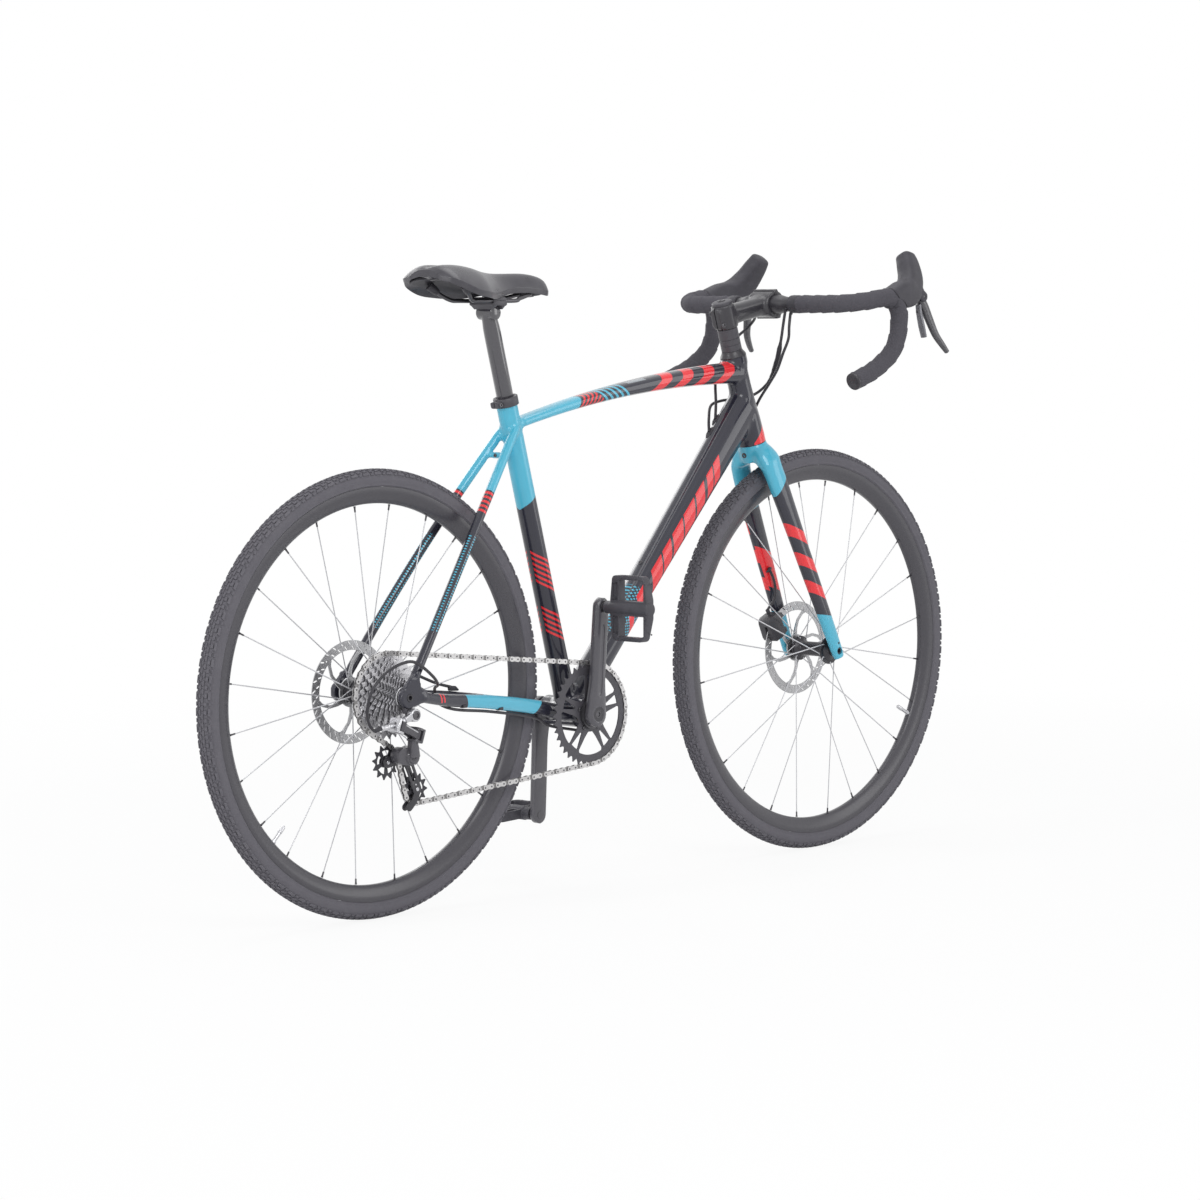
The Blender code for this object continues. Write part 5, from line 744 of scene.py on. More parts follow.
def melted(name, parts, fillet):
    """Remeshes overlapping closed bodies into one skin, and rounds the inner corners where they meet."""
    obj = mesh_object(name, joined(*parts), sharp=None)
    modifier = obj.modifiers.new("remesh", "REMESH")
    modifier.mode = "VOXEL"
    modifier.voxel_size = VOXEL
    applied(obj)
    mesh = obj.data
    count = len(mesh.vertices)
    points = np.empty(count * 3)
    mesh.vertices.foreach_get("co", points)
    points = points.reshape(-1, 3)
    edges = np.empty(len(mesh.edges) * 2, np.int64)
    mesh.edges.foreach_get("vertices", edges)
    edges = edges.reshape(-1, 2)
    degree = np.bincount(edges.ravel(), minlength=count).astype(float)

    def write():
        mesh.vertices.foreach_set("co", points.ravel())
        mesh.update()

    def even():
        nonlocal points
        for step in (0.55, -0.57) * 4:
            points = points + step * (neighbour_mean(points, edges, degree) - points)
    even()
    write()
    normals = np.empty(count * 3)
    mesh.vertex_normals.foreach_get("vector", normals)
    lift = ((neighbour_mean(points, edges, degree) - points) * normals.reshape(-1, 3)).sum(axis=1)
    weight = (lift > INNER_CORNER_LIFT).astype(float)
    for _ in range(6 if VOXEL < 0.002 else 4):
        spread = weight.copy()
        np.maximum.at(spread, edges[:, 0], weight[edges[:, 1]] * 0.86)
        np.maximum.at(spread, edges[:, 1], weight[edges[:, 0]] * 0.86)
        weight = spread
    for _ in range(fillet):
        points = points + 0.5 * weight[:, None] * (neighbour_mean(points, edges, degree) - points)
    even()
    write()
    return obj


def paint_by_nearest(obj, areas):
    """Gives each face the material of the nearest area. areas lists (points of an axis, radius, material)."""
    mesh = obj.data
    centres = np.empty(len(mesh.polygons) * 3)
    mesh.polygons.foreach_get("center", centres)
    centres = centres.reshape(-1, 3)
    best, choice = np.full(len(centres), 1e9), np.zeros(len(centres), np.int32)
    mesh.materials.clear()
    for index, (axis, radius, material) in enumerate(areas):
        mesh.materials.append(material)
        for start, end in zip(axis, axis[1:]):
            a, d = np.array(start), np.array(end) - np.array(start)
            share = np.clip(((centres - a) @ d) / (d @ d), 0, 1)
            away = np.linalg.norm(centres - a - share[:, None] * d, axis=1) - radius
            closer = away < best
            best[closer], choice[closer] = away[closer], index
    mesh.polygons.foreach_set("material_index", choice)
    mesh.update()


def cutter(name, *parts):
    return mesh_object(name, joined(*parts), sharp=None)


def top_tube_path(count=40):
    start, end = TOP_TUBE_REAR, TOP_TUBE_FRONT
    control = (start + end) / 2 + Z * 0.0315
    return [lerp(lerp(start, control, i / count), lerp(control, end, i / count), i / count)
            for i in range(count + 1)]


def down_tube_height(share):
    return lerp(0.045, 0.065, max(0.0, (share - 0.35) / 0.65))


def dropout_centre(sign):
    return REAR_AXLE + Vector((0, sign * 0.076, 0))


def seat_stay_path(sign, count=24):
    foot = dropout_centre(sign) + Vector((0.013, -sign * 0.002, 0.024))
    head = SEAT_STAY_TOP + Vector((0, sign * 0.0125, 0))
    bow = Vector((-0.006, sign * 0.006, 0))
    return [lerp(foot, head, i / count) + bow * math.sin(math.pi * i / count) for i in range(count + 1)]


def chainstay_corners(sign):
    tyre_front = REAR_AXLE.x + WHEEL_RADIUS
    beside = TYRE_WIDTH / 2 + TYRE_GAP + CHAINSTAY_WIDTH / 2
    return [dropout_centre(sign) + Vector((0.027, 0, -0.001)),
            Vector((REAR_AXLE.x + 0.1, sign * 0.0625, WHEEL_RADIUS - 0.013)),
            Vector((REAR_AXLE.x + 0.2, sign * 0.05, WHEEL_RADIUS - 0.024)),
            Vector((tyre_front - 0.03, sign * beside, WHEEL_RADIUS - 0.042)),
            Vector((tyre_front + 0.03, sign * beside, BB.z + 0.004)),
            Vector((BB.x - 0.004, sign * beside, BB.z))]


def above_down_tube(share, y, gap):
    rise = down_tube_height(share) / 2 * (1 - (abs(y) / 0.0225) ** 2.3) ** (1 / 2.3)
    return lerp(BB, DOWN_TUBE_FRONT, share) + DOWN_TUBE_UP * (rise + gap) + Y * y


def frame_parts():
    path = top_tube_path()
    last = len(path) - 1
    parts = [sweep(path, [(lerp(0.032, 0.041, i / last) / 2, lerp(0.0165, 0.037, (i / last) ** 1.5) / 2)
                          for i in range(len(path))], 48, power=2.6)]
    shares = [i / 20 for i in range(21)]
    parts.append(sweep([lerp(BB, DOWN_TUBE_FRONT, s) for s in shares],
                       [(0.0225, down_tube_height(s) / 2) for s in shares], 48, power=2.3))
    head = [(CROWN_RACE - 0.006, 0.024), (CROWN_RACE + 0.012, 0.024), (CROWN_RACE + 0.04, 0.0228),
            (CROWN_RACE + 0.07, 0.0206), (CROWN_RACE + 0.1, 0.0193), (HEAD_TOP - 0.028, 0.0192),
            (HEAD_TOP - 0.02, 0.0205), (HEAD_TOP - 0.013, 0.0222), (HEAD_TOP + 0.006, 0.0222)]
    parts.append(stack(head, STEER_FOOT, STEER_AXIS, 64, hint=Y))
    parts.append(stack([(0.0, 0.0178), (0.16, 0.0168), (SEAT_TUBE_LENGTH + 0.006, 0.0168)], BB, SEAT_AXIS,
                       56, hint=Y))
    parts.append(cross_rod(BB, 0.048, 0.024, 64))
    yoke_half = TYRE_WIDTH / 2 + TYRE_GAP + CHAINSTAY_WIDTH
    yoke_start = Vector((REAR_AXLE.x + WHEEL_RADIUS + 0.016, 0, BB.z + 0.003))
    parts.append(sweep([yoke_start, Vector((BB.x, 0, BB.z))],
                       [(yoke_half, 0.0122), (yoke_half, 0.013)], 32, power=4))
    for sign in SIDES.values():
        parts.append(sweep(seat_stay_path(sign), [(STAY_RADIUS, STAY_RADIUS)] * 25, 24))
        corners = chainstay_corners(sign)
        fine = curve_through(corners, 6)
        heights = (0.8, 0.9, 1.05, 1.1, 1.2, 1.3)
        sections = []
        for i in range(len(fine)):
            place = i / (len(fine) - 1) * 5
            low = min(int(place), 4)
            sections.append((CHAINSTAY_WIDTH / 2,
                             CHAINSTAY_HEIGHT / 2 * lerp(heights[low], heights[low + 1], place - low)))
        parts.append(sweep(fine, sections, 32, power=2.4))
        outline = (arc(0, 0, 0.0165, 118, 292, 20)
                   + [(0.03, -0.01), (0.04, 0.0075), (0.024, 0.015), (0.0205, 0.033), (0.0075, 0.033)])
        parts.append(prism(outline, sign * 0.071, sign * 0.081, side_view(REAR_AXLE)))
    parts.append(cross_rod(SEAT_STAY_BRIDGE, 0.01625, 0.005, 20))
    return parts


def make_frame():
    obj = melted("frame_shell", frame_parts(), 45)
    ends = cutter("frame_ends", rod(on_steerer(HEAD_TOP), on_steerer(HEAD_TOP + 0.02), 0.035, 48),
                  rod(on_steerer(CROWN_RACE - 0.02), on_steerer(CROWN_RACE + CLEARANCE), 0.035, 48),
                  rod(on_seat_tube(SEAT_TUBE_LENGTH), on_seat_tube(SEAT_TUBE_LENGTH + 0.02), 0.03, 48),
                  rod(BB + BB_HALF_WIDTH * Y, BB + 0.06 * Y, 0.035, 48),
                  rod(BB - 0.06 * Y, BB - BB_HALF_WIDTH * Y, 0.035, 48))
    boolean(obj, ends)
    bores = cutter("frame_bores", rod(on_seat_tube(SEAT_TUBE_LENGTH - 0.176),
                                      on_seat_tube(SEAT_TUBE_LENGTH + 0.02), SEAT_BORE, 48),
                   rod(on_steerer(CROWN_RACE - 0.02), on_steerer(HEAD_TOP + 0.02), 0.015, 48),
                   cross_rod(REAR_AXLE, 0.1, AXLE_BORE, 32))
    boolean(obj, bores)
    boolean(obj, cutter("frame_shell_bore", cross_rod(BB, 0.06, 0.0205, 48)))
    navy = plain_paint()
    chainstay = chainstay_paint()
    paint_by_nearest(obj, [(top_tube_path(10), 0.0165, top_tube_paint()),
                           ([BB, DOWN_TUBE_FRONT], 0.024, down_tube_paint()),
                           ([BB, on_seat_tube(SEAT_TUBE_LENGTH + 0.003)], 0.0168, seat_tube_paint()),
                           ([on_steerer(CROWN_RACE), on_steerer(HEAD_TOP)], 0.0215, head_tube_paint()),
                           (seat_stay_path(-1, 6), STAY_RADIUS, seat_stay_paint(-1)),
                           (seat_stay_path(1, 6), STAY_RADIUS, seat_stay_paint(1)),
                           (chainstay_corners(-1), 0.0085, chainstay),
                           (chainstay_corners(1), 0.0085, chainstay),
                           ([BB - 0.05 * Y, BB + 0.05 * Y], 0.024, navy)])
    obj.data.shade_smooth()
    obj.data.set_sharp_from_angle(angle=math.radians(48))
    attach(obj, "frame")
    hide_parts("frame")


def fork_leg_top(sign):
    return on_steerer(CROWN_RACE - 0.062) + Y * (sign * 0.0375)


def front_dropout(sign):
    return FRONT_AXLE + Vector((0, sign * 0.0555, 0))


def make_fork():
    parts = [stack([(CROWN_RACE - 0.03, 0.0143), (STEM_TOP - 0.003, 0.0143)], STEER_FOOT, STEER_AXIS, 48,
                   hint=Y), stack([(CROWN_RACE - 0.03, 0.024), (CROWN_RACE - 0.02, 0.025),
                                   (CROWN_RACE - 0.008, 0.0244), (CROWN_RACE + 0.004, 0.024)], STEER_FOOT,
                                  STEER_AXIS, 64, hint=Y)]
    for sign in SIDES.values():
        start = on_steerer(CROWN_RACE - 0.012) + Vector((0, sign * 0.01, 0))
        shoulder = on_steerer(CROWN_RACE - 0.03) + Vector((0, sign * 0.027, 0))
        top, foot = fork_leg_top(sign), front_dropout(sign)
        corners = [start, shoulder, top, lerp(top, foot, 0.5), foot - (foot - top) * 0.05,
                   foot + (foot - top).normalized() * 0.013]
        sizes = [(0.018, 0.02), (0.015, 0.0225), (0.011, 0.02), (0.00925, 0.01625), (0.0075, 0.0125),
                 (0.0075, 0.0094)]
        path = curve_through(corners, 8)
        rings = []
        down = (foot - top).normalized()
        for i, point in enumerate(path):
            place = i / 8
            low = min(int(place), 4)
            share = smoothstep(place - low)
            along = lerp((top - start).normalized(), down, smoothstep(place - 0.8)).normalized()
            side, other = across(along)
            a, b = (lerp(sizes[low][k], sizes[low + 1][k], share if low < 3 else place - low)
                    for k in (0, 1))
            rings.append(oval(point, side, other, a, b, 40, 2.3))
        parts.append(skin(rings))
    obj = melted("fork_shell", parts, 30)
    gap = cutter("fork_gap", prism(arc(0, 0, 0.024, 0, 350, 35), -0.05, 0.05, side_view(FRONT_AXLE)),
                 rod(FRONT_AXLE - 0.1 * Y, FRONT_AXLE - 0.05 * Y, AXLE_BORE, 32),
                 rod(FRONT_AXLE + 0.05 * Y, FRONT_AXLE + 0.1 * Y, AXLE_BORE, 32))
    boolean(obj, gap)
    steerer = alloy("steerer_alloy", (0.35, 0.35, 0.36), 0.35, metallic=0.8)
    paint_by_nearest(obj, [
        ([fork_leg_top(-1), front_dropout(-1)], 0.013, fork_leg_paint(-1)),
        ([fork_leg_top(1), front_dropout(1)], 0.013, fork_leg_paint(1)),
        ([on_steerer(CROWN_RACE - 0.03), on_steerer(CROWN_RACE - 0.004)], 0.024, crown_paint()),
        ([on_steerer(CROWN_RACE + 0.02), on_steerer(STEM_TOP)], 0.0143, steerer)])
    obj.data.shade_smooth()
    obj.data.set_sharp_from_angle(angle=math.radians(48))
    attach(obj, "steering")
    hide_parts("fork")


make_frame()
make_fork()


# Wheels

TREAD_SEGMENTS = 176
RIM_OUTER, RIM_INNER = 0.317, 0.2915
FRONT_FLANGES = {"right": (-0.0385, 0.024), "left": (0.027, 0.021)}
REAR_FLANGES = {"right": (-0.0205, 0.024), "left": (0.0345, 0.022)}
ROTOR_OFFSETS = {"front": 0.037, "rear": 0.052}
SPOKES_PER_SIDE, SPOKE_LEAN = 12, math.radians(38)
ROTOR_RADIUS = 0.08


def on_casing(angle):
    """(Sideways, radius) of a point of the casing's section, and its outward direction, at an angle."""
    half, height = 0.0158, 0.0148
    centre = WHEEL_RADIUS - 0.0021 - height
    return (half * math.sin(angle), centre + height * math.cos(angle)), (math.sin(angle), math.cos(angle))


def tyre_profile():
    outer = [on_casing(math.radians(a))[0] for a in range(-112, 113, 8)]
    edge = [(0.0149, 0.3196), (0.0133, 0.3181), (0.0122, 0.3173), (0.0095, 0.3173)]
    inner = [(0.009, 0.32), (0.0125, 0.326), (0.01, 0.336), (0.0, 0.339)]
    right = [(-y, r) for y, r in reversed(edge)]
    inner_all = inner + [(-y, r) for y, r in reversed(inner[:-1])]
    return right + outer + edge + inner_all


def knob(bm, centre, turn, angle, length, width, height, skew=0.0, taper=0.8):
    """Block of rubber on the casing: turn round the wheel, angle across the tread, sizes in metres."""
    (side, radius), (out_y, out_r) = on_casing(angle)
    radial = Vector((math.cos(turn), 0, math.sin(turn)))
    ahead = Vector((-math.sin(turn), 0, math.cos(turn)))
    out = (Y * out_y + radial * out_r).normalized()
    across_ = out.cross(ahead)
    base = centre + radial * radius + Y * side
    rings = []
    for level, share in ((-0.0009, 1.0), (height * 0.82, 0.93), (height, taper)):
        ring = []
        for u, v in ((-1, -1), (1, -1), (1, 1), (-1, 1)):
            ring.append(bm.verts.new(base + out * level + ahead * (u * length / 2 * share + v * skew)
                                     + across_ * (v * width / 2 * share)))
        rings.append(ring)
    for first, second in zip(rings, rings[1:]):
        for i in range(4):
            j = (i + 1) % 4
            bm.faces.new((first[i], first[j], second[j], second[i]))
    bm.faces.new(rings[-1])
    bm.faces.new(list(reversed(rings[0])))


def make_tyre(end, centre):
    bm = turned(tyre_profile(), centre, Y, TREAD_SEGMENTS)
    step = 2 * math.pi / TREAD_SEGMENTS
    for i in range(TREAD_SEGMENTS):
        turn = i * step
        for column, shift in ((-17, 0.5), (0, 0.0), (17, 0.5)):
            knob(bm, centre, turn + shift * step, math.radians(column), 0.0082, 0.0034, 0.0017)
        for column, shift in ((-35, 0.0), (35, 0.0)):
            knob(bm, centre, turn + shift * step, math.radians(column), 0.0066, 0.0042, 0.002)
        if i % 2 == 0:
            for sign in (-1, 1):
                knob(bm, centre, turn, math.radians(sign * 54), 0.0125, 0.0046, 0.0023, skew=0.0006)
        else:
            for sign in (-1, 1):
                knob(bm, centre, turn, math.radians(sign * 58), 0.006, 0.003, 0.0019)
    add_piece(end + "_tyre_tread", bm, "tyre", end + "_wheel", [end + "_tyre"], sharp=28)


def tyre_material():
    """Black rubber: a fine grain, lighter patches at random, and a slight relief."""
    shade = Shade("tyre_rubber", 0.72, specular=0.3)
    grain, patch = shade.noise(900, 3.0), shade.noise(45, 4.0)
    base = shade.mix(grain.rise(0.3, 0.8), (0.105, 0.1005, 0.115), (0.165, 0.158, 0.179))
    shade.colour(shade.mix(patch.rise(0.5, 0.85) * 0.4, base, (0.185, 0.178, 0.192)))
    shade.vary("Roughness", patch, 0.62, 0.8)
    return shade.bump(grain, 0.00008, 0.5).material


def make_rim(end, centre):
    half, outer, inner = 0.01225, RIM_OUTER, RIM_INNER
    left = [(half - 0.0022, outer), (half, outer), (half, outer - 0.002), (half - 0.0001, outer - 0.006),
            (half - 0.0006, outer - 0.01), (half - 0.0022, outer - 0.015), (half - 0.0042, outer - 0.0195),
            (half - 0.0064, outer - 0.0232), (half - 0.0085, inner + 0.0004), (0.0018, inner)]
    profile = left + [(-y, r) for y, r in reversed(left)] + [(0.0, outer - 0.011)]
    rim = turned(profile, centre, Y, 192)
    add_piece(end + "_rim_hoop", rim, "rim", end + "_wheel", [end + "_rim"], sharp=40)
    add_valve(end, centre)


def add_valve(end, centre):
    turn = math.radians(225.0 if end == "rear" else 333.0)
    outward = Vector((math.cos(turn), 0, math.sin(turn)))
    root = centre + outward * (RIM_INNER + 0.0015)
    stem = stack([(0.0, 0.003), (0.0012, 0.0042), (0.004, 0.0042), (0.0042, 0.003), (0.02, 0.003),
                  (0.0205, 0.0036), (0.031, 0.0034), (0.0335, 0.0018)], root, -outward, 20, hint=Y)
    add_piece(end + "_valve", stem, "silver", end + "_wheel", sharp=35)


def make_spokes(end, centre, side, index):
    offset, flange = (FRONT_FLANGES if end == "front" else REAR_FLANGES)[side]
    phase = 0.25 + 0.5 * index
    spokes, nipples = [], []
    for i in range(SPOKES_PER_SIDE):
        angle = 2 * math.pi * (i + phase) / SPOKES_PER_SIDE
        turn = 1 if i % 2 else -1
        lean = angle + SPOKE_LEAN * turn
        root_radius = flange - 0.00275
        root = centre + Vector((root_radius * math.cos(lean), offset + 0.0018 * turn,
                                root_radius * math.sin(lean)))
        tip = centre + Vector((0.2905 * math.cos(angle), math.copysign(0.00245, offset),
                               0.2905 * math.sin(angle)))
        along = (tip - root).normalized()
        wide = along.cross(Y).normalized()
        thin = along.cross(wide)
        reach = (tip - root).length
        rings = []
        for share, a, b in ((0.0, 0.00095, 0.00095), (0.06, 0.00095, 0.00095), (0.11, 0.00105, 0.0005),
                            (0.86, 0.00105, 0.0005), (0.91, 0.0009, 0.0009), (1.0, 0.0009, 0.0009)):
            rings.append(oval(root + along * (share * reach), wide, thin, a, b, 10))
        spokes.append(skin(rings))
        spokes.append(cross_rod(root, 0.0022, 0.00125, 8))
        nipples.append(stack([(reach - 0.0085, 0.00125), (reach - 0.008, 0.0014), (reach - 0.003, 0.0014),
                              (reach - 0.0005, 0.0018), (reach + 0.0005, 0.0018)], root, along, 10, hint=Y))
    half, inner = 0.0014, flange - 0.0055
    ring = [(offset - half, inner), (offset - half, flange - 0.0004), (offset - half + 0.0004, flange),
            (offset + half - 0.0004, flange), (offset + half, flange - 0.0004), (offset + half, inner)]
    add_piece(f"{end}_spokes_{side}_bladed", joined(*spokes), "spoke", end + "_wheel",
              [f"{end}_spokes_{side}"], sharp=40)
    add_piece(f"{end}_flange_{side}", turned(ring, centre, Y, 72), "hub", end + "_wheel")
    add_piece(f"{end}_nipples_{side}", joined(*nipples), "black_alloy", end + "_wheel")


def make_hub(end, centre, spacing):
    flanges, rotor = (FRONT_FLANGES if end == "front" else REAR_FLANGES), ROTOR_OFFSETS[end]
    half, bore = spacing / 2 - CLEARANCE, AXLE_BORE
    (right, rr), (left, lr) = flanges["right"], flanges["left"]
    edge = 0.0014 + CLEARANCE
    shoulder = right - edge - 0.003 if end == "rear" else -half + 0.006
    profile = [(-half, bore), (-half, 0.0088), (-half + 0.0006, 0.0095), (shoulder - 0.0012, 0.0095),
               (shoulder, 0.0108), (right - edge - 0.0006, rr - 0.0078), (right - edge, rr - 0.0058),
               (right + edge, rr - 0.0058), (right + edge, rr - 0.002),
               (right + edge + 0.0014, rr - 0.0026), (right + edge + 0.0032, rr - 0.005),
               (right + edge + 0.0052, 0.0148), (right + edge + 0.008, 0.0128),
               (right + edge + 0.012, 0.0123), (left - edge - 0.012, 0.0121),
               (left - edge - 0.008, 0.0127), (left - edge - 0.005, 0.0146),
               (left - edge - 0.0028, lr - 0.0045), (left - edge - 0.0012, lr - 0.0024),
               (left - edge, lr - 0.002), (left - edge, lr - 0.0058), (left + edge, lr - 0.0058),
               (rotor - 0.0014, lr - 0.006), (rotor - 0.0013, 0.016), (rotor + 0.003, 0.016),
               (rotor + 0.0034, 0.0146), (rotor + 0.0042, 0.0135), (rotor + 0.0046, 0.0097),
               (half - 0.0008, 0.0094), (half, 0.0088), (half, bore)]
    add_piece(end + "_hub_shell", turned(profile, centre, Y, 96), "hub", end + "_wheel",
              [end + "_hub"], sharp=32)


def make_rotor(end, centre):
    """Slotted steel band carried by six curved arms."""
    offset, half = ROTOR_OFFSETS[end], 0.0009
    inner = ROTOR_RADIUS - 0.015
    band = turned([(offset - half, inner), (offset - half, ROTOR_RADIUS - 0.0003),
                   (offset - half * 0.6, ROTOR_RADIUS), (offset + half * 0.6, ROTOR_RADIUS),
                   (offset + half, ROTOR_RADIUS - 0.0003), (offset + half, inner)], centre, Y, 144)
    band = mesh_object(end + "_rotor_band", band, sharp=30)
    slots = []
    count = 30
    for i in range(count):
        turn = 2 * math.pi * i / count
        for k, (low, high, lean) in enumerate(((0.0012, 0.006, 0.05), (0.0086, 0.0134, 0.05))):
            start = turn + (0.5 * 2 * math.pi / count if k else 0.0)
            a, b = inner + low, inner + high
            centre_line = [Vector((a * math.cos(start), 0, a * math.sin(start))),
                           Vector((b * math.cos(start + lean), 0, b * math.sin(start + lean)))]
            slots.append(prism(strap(centre_line, 0.0011, 4), offset - 0.004, offset + 0.004,
                               side_view(centre)))
    boolean(band, cutter("slots", *slots))
    smooth_shading(band, 30)
    finish_piece(band, "rotor", end + "_wheel", [end + "_rotor"])
    arms = []
    for i in range(6):
        turn = 2 * math.pi * (i + 0.5) / 6
        path = []
        for radius, lean in ((0.0205, 0.1), (0.033, 0.02), (0.048, -0.1), (0.061, -0.26),
                             (inner + 0.002, -0.34)):
            path.append(Vector((radius * math.cos(turn + lean), 0, radius * math.sin(turn + lean))))
        widths = (0.0042, 0.0028, 0.0024, 0.0024, 0.004)
        ahead = directions(path)
        sides = [[(p.x - s * d.z * w, p.z + s * d.x * w) for p, d, w in zip(path, ahead, widths)]
                 for s in (1, -1)]
        arms.append(prism(sides[0] + sides[1][::-1], offset - 0.00115, offset + 0.00115, side_view(centre)))
        tip = path[-1]
        arms.append(rod(centre + Vector((tip.x, offset - 0.0016, tip.z)),
                        centre + Vector((tip.x, offset + 0.0016, tip.z)), 0.0034, 20, hint=Z))
    arms.append(turned([(offset - 0.0013, 0.0165), (offset - 0.0013, 0.0232), (offset + 0.0013, 0.0232),
                        (offset + 0.0013, 0.0165)], centre, Y, 72))
    lock = [(offset + 0.0012, 0.0164), (offset + 0.0012, 0.0215), (offset + 0.0034, 0.0205),
            (offset + 0.0034, 0.0164)]
    arms.append(turned(lock, centre, Y, 60))
    add_piece(end + "_rotor_spider", joined(*arms), "rotor", end + "_wheel")


def make_wheel(end, centre, spacing):
    make_tyre(end, centre)
    make_rim(end, centre)
    for index, side in enumerate(("right", "left")):
        make_spokes(end, centre, side, index)
    make_hub(end, centre, spacing)
    make_rotor(end, centre)


def make_axle(end, centre, half, body):
    """Through axle with a round recess in each end."""
    profile = [(-half, 0.0036), (-half, 0.0054), (-half + 0.0006, 0.006), (half - 0.0008, 0.006),
               (half, 0.0052), (half, 0.004), (half - 0.004, 0.0038), (half - 0.004, 0.0004),
               (-half + 0.005, 0.0004), (-half + 0.005, 0.0036)]
    add_piece(end + "_axle_pin", turned(profile, centre, Y, 36), "black_alloy", body,
              [end + "_axle"])


def strap(path, half_width, steps=5):
    """Outline of constant width round a path in the side view, with round ends."""
    ahead = directions(path)
    left = [(p.x - d.z * half_width, p.z + d.x * half_width) for p, d in zip(path, ahead)]
    right = [(p.x + d.z * half_width, p.z - d.x * half_width) for p, d in zip(path, ahead)]
    first, last = ahead[0], ahead[-1]
    start_turn = math.degrees(math.atan2(first.z, first.x))
    end_turn = math.degrees(math.atan2(last.z, last.x))
    start_cap = arc(path[0].x, path[0].z, half_width, start_turn + 90, start_turn + 270, steps)
    end_cap = arc(path[-1].x, path[-1].z, half_width, end_turn - 90, end_turn + 90, steps)
    return start_cap + right[1:-1] + end_cap + list(reversed(left[1:-1]))


MATERIALS = {"tyre": tyre_material(), "rim": alloy("rim_black", (0.048, 0.0455, 0.054), 0.27, scale=1400,
                                                   relief=0.00001),
             "black_alloy": alloy("black_alloy", (0.03, 0.0285, 0.034), 0.32, scale=2200),
             "satin_black": alloy("satin_black", (0.05, 0.0475, 0.056), 0.44, scale=1500, relief=0.00004),
             "hub": turned_metal("hub_black", (0.045, 0.043, 0.05), 0.32, REAR_AXLE, Y, metallic=0.35),
             "spoke": alloy("spoke_steel", (0.56, 0.56, 0.58), 0.38, other=(0.48, 0.48, 0.5),
                            metallic=0.55, scale=600),
             "rotor": turned_metal("rotor_steel", (0.42, 0.42, 0.43), 0.34, FRONT_AXLE, Y, metallic=0.8),
             "silver": alloy("silver_alloy", (0.58, 0.58, 0.6), 0.28, other=(0.5, 0.5, 0.52),
                             metallic=0.85, scale=900),
             "cog": turned_metal("cog_steel", (0.55, 0.545, 0.565), 0.3, REAR_AXLE, Y, metallic=0.85),
             "chain": alloy("chain_steel", (0.6, 0.59, 0.59), 0.3, other=(0.46, 0.455, 0.455),
                            metallic=0.85, scale=500),
             "dark_steel": alloy("dark_steel", (0.085, 0.083, 0.09), 0.32, metallic=0.7, scale=900),
             "plastic": rubber("black_plastic", (0.034, 0.0325, 0.0385), 0.5, 1500, 0.00003, 1.4),
             "hose": rubber("hose_black", (0.028, 0.0265, 0.032), 0.36, 2500, 0.00001, 1.4),}

make_wheel("front", FRONT_AXLE, 0.1)
make_wheel("rear", REAR_AXLE, 0.142)
make_axle("front", FRONT_AXLE, 0.0605, "steering")
make_axle("rear", REAR_AXLE, 0.082, "frame")


# Drivetrain

def tooth_outline(teeth, phase, tip_above):
    """Outline of a sprocket: round roots that a roller sits in, and slim round-tipped teeth."""
    radius, root_below, width = pitch_radius(teeth), 0.004, 0.3
    points = []
    for i in range(teeth):
        for part, away in ((0.0, -root_below), (0.13, -root_below * 0.86), (0.24, -root_below * 0.45),
                           (0.5 - width * 0.52, 0.0002), (0.5 - width * 0.3, tip_above * 0.72),
                           (0.5 - 0.05, tip_above), (0.5 + 0.05, tip_above),
                           (0.5 + width * 0.3, tip_above * 0.72), (0.5 + width * 0.52, 0.0002),
                           (0.76, -root_below * 0.45), (0.87, -root_below * 0.86)):
            angle = phase + 2 * math.pi * (i + part) / teeth
            points.append(((radius + away) * math.cos(angle), (radius + away) * math.sin(angle)))
    return points


def chain_wheels():
    """(Centre, pitch radius, sense of turning) of each wheel that the chain runs round, in order."""
    ring, cog = BB + Vector((0, -CHAINLINE, 0)), REAR_AXLE + Vector((0, -LARGEST_COG_OFFSET, 0))
    wheels = ((ring, CHAINRING_TEETH, 1), (TENSION_PULLEY, TENSION_TEETH, 1),
              (GUIDE_PULLEY, GUIDE_TEETH, -1), (cog, COG_TEETH[-1], 1))
    return [(centre, pitch_radius(teeth), sense) for centre, teeth, sense in wheels]


def tangent_normal(first, second):
    (c1, r1, s1), (c2, r2, s2) = first, second
    gap = math.hypot(c2.x - c1.x, c2.z - c1.z)
    return math.atan2(c2.z - c1.z, c2.x - c1.x) + math.acos((s1 * r1 - s2 * r2) / gap)


def chain_path():
    """Fine closed path of the chain's pitch line: (point, outward normal)."""
    wheels = chain_wheels()
    count = len(wheels)
    normals = [tangent_normal(wheels[i], wheels[(i + 1) % count]) for i in range(count)]
    points = []
    for i, (centre, radius, sense) in enumerate(wheels):
        arrive, leave = normals[i - 1], normals[i]
        turn = leave - arrive
        while sense * turn > 0.001:
            turn -= sense * 2 * math.pi
        while sense * turn < -2 * math.pi:
            turn += sense * 2 * math.pi
        steps = max(3, math.ceil(abs(turn) / math.radians(2.5 if radius > 0.04 else 6)))
        for k in range(steps + 1):
            angle = arrive + turn * k / steps
            normal = Vector((math.cos(angle), 0, math.sin(angle)))
            points.append((centre + normal * (radius * sense), normal))
    return points


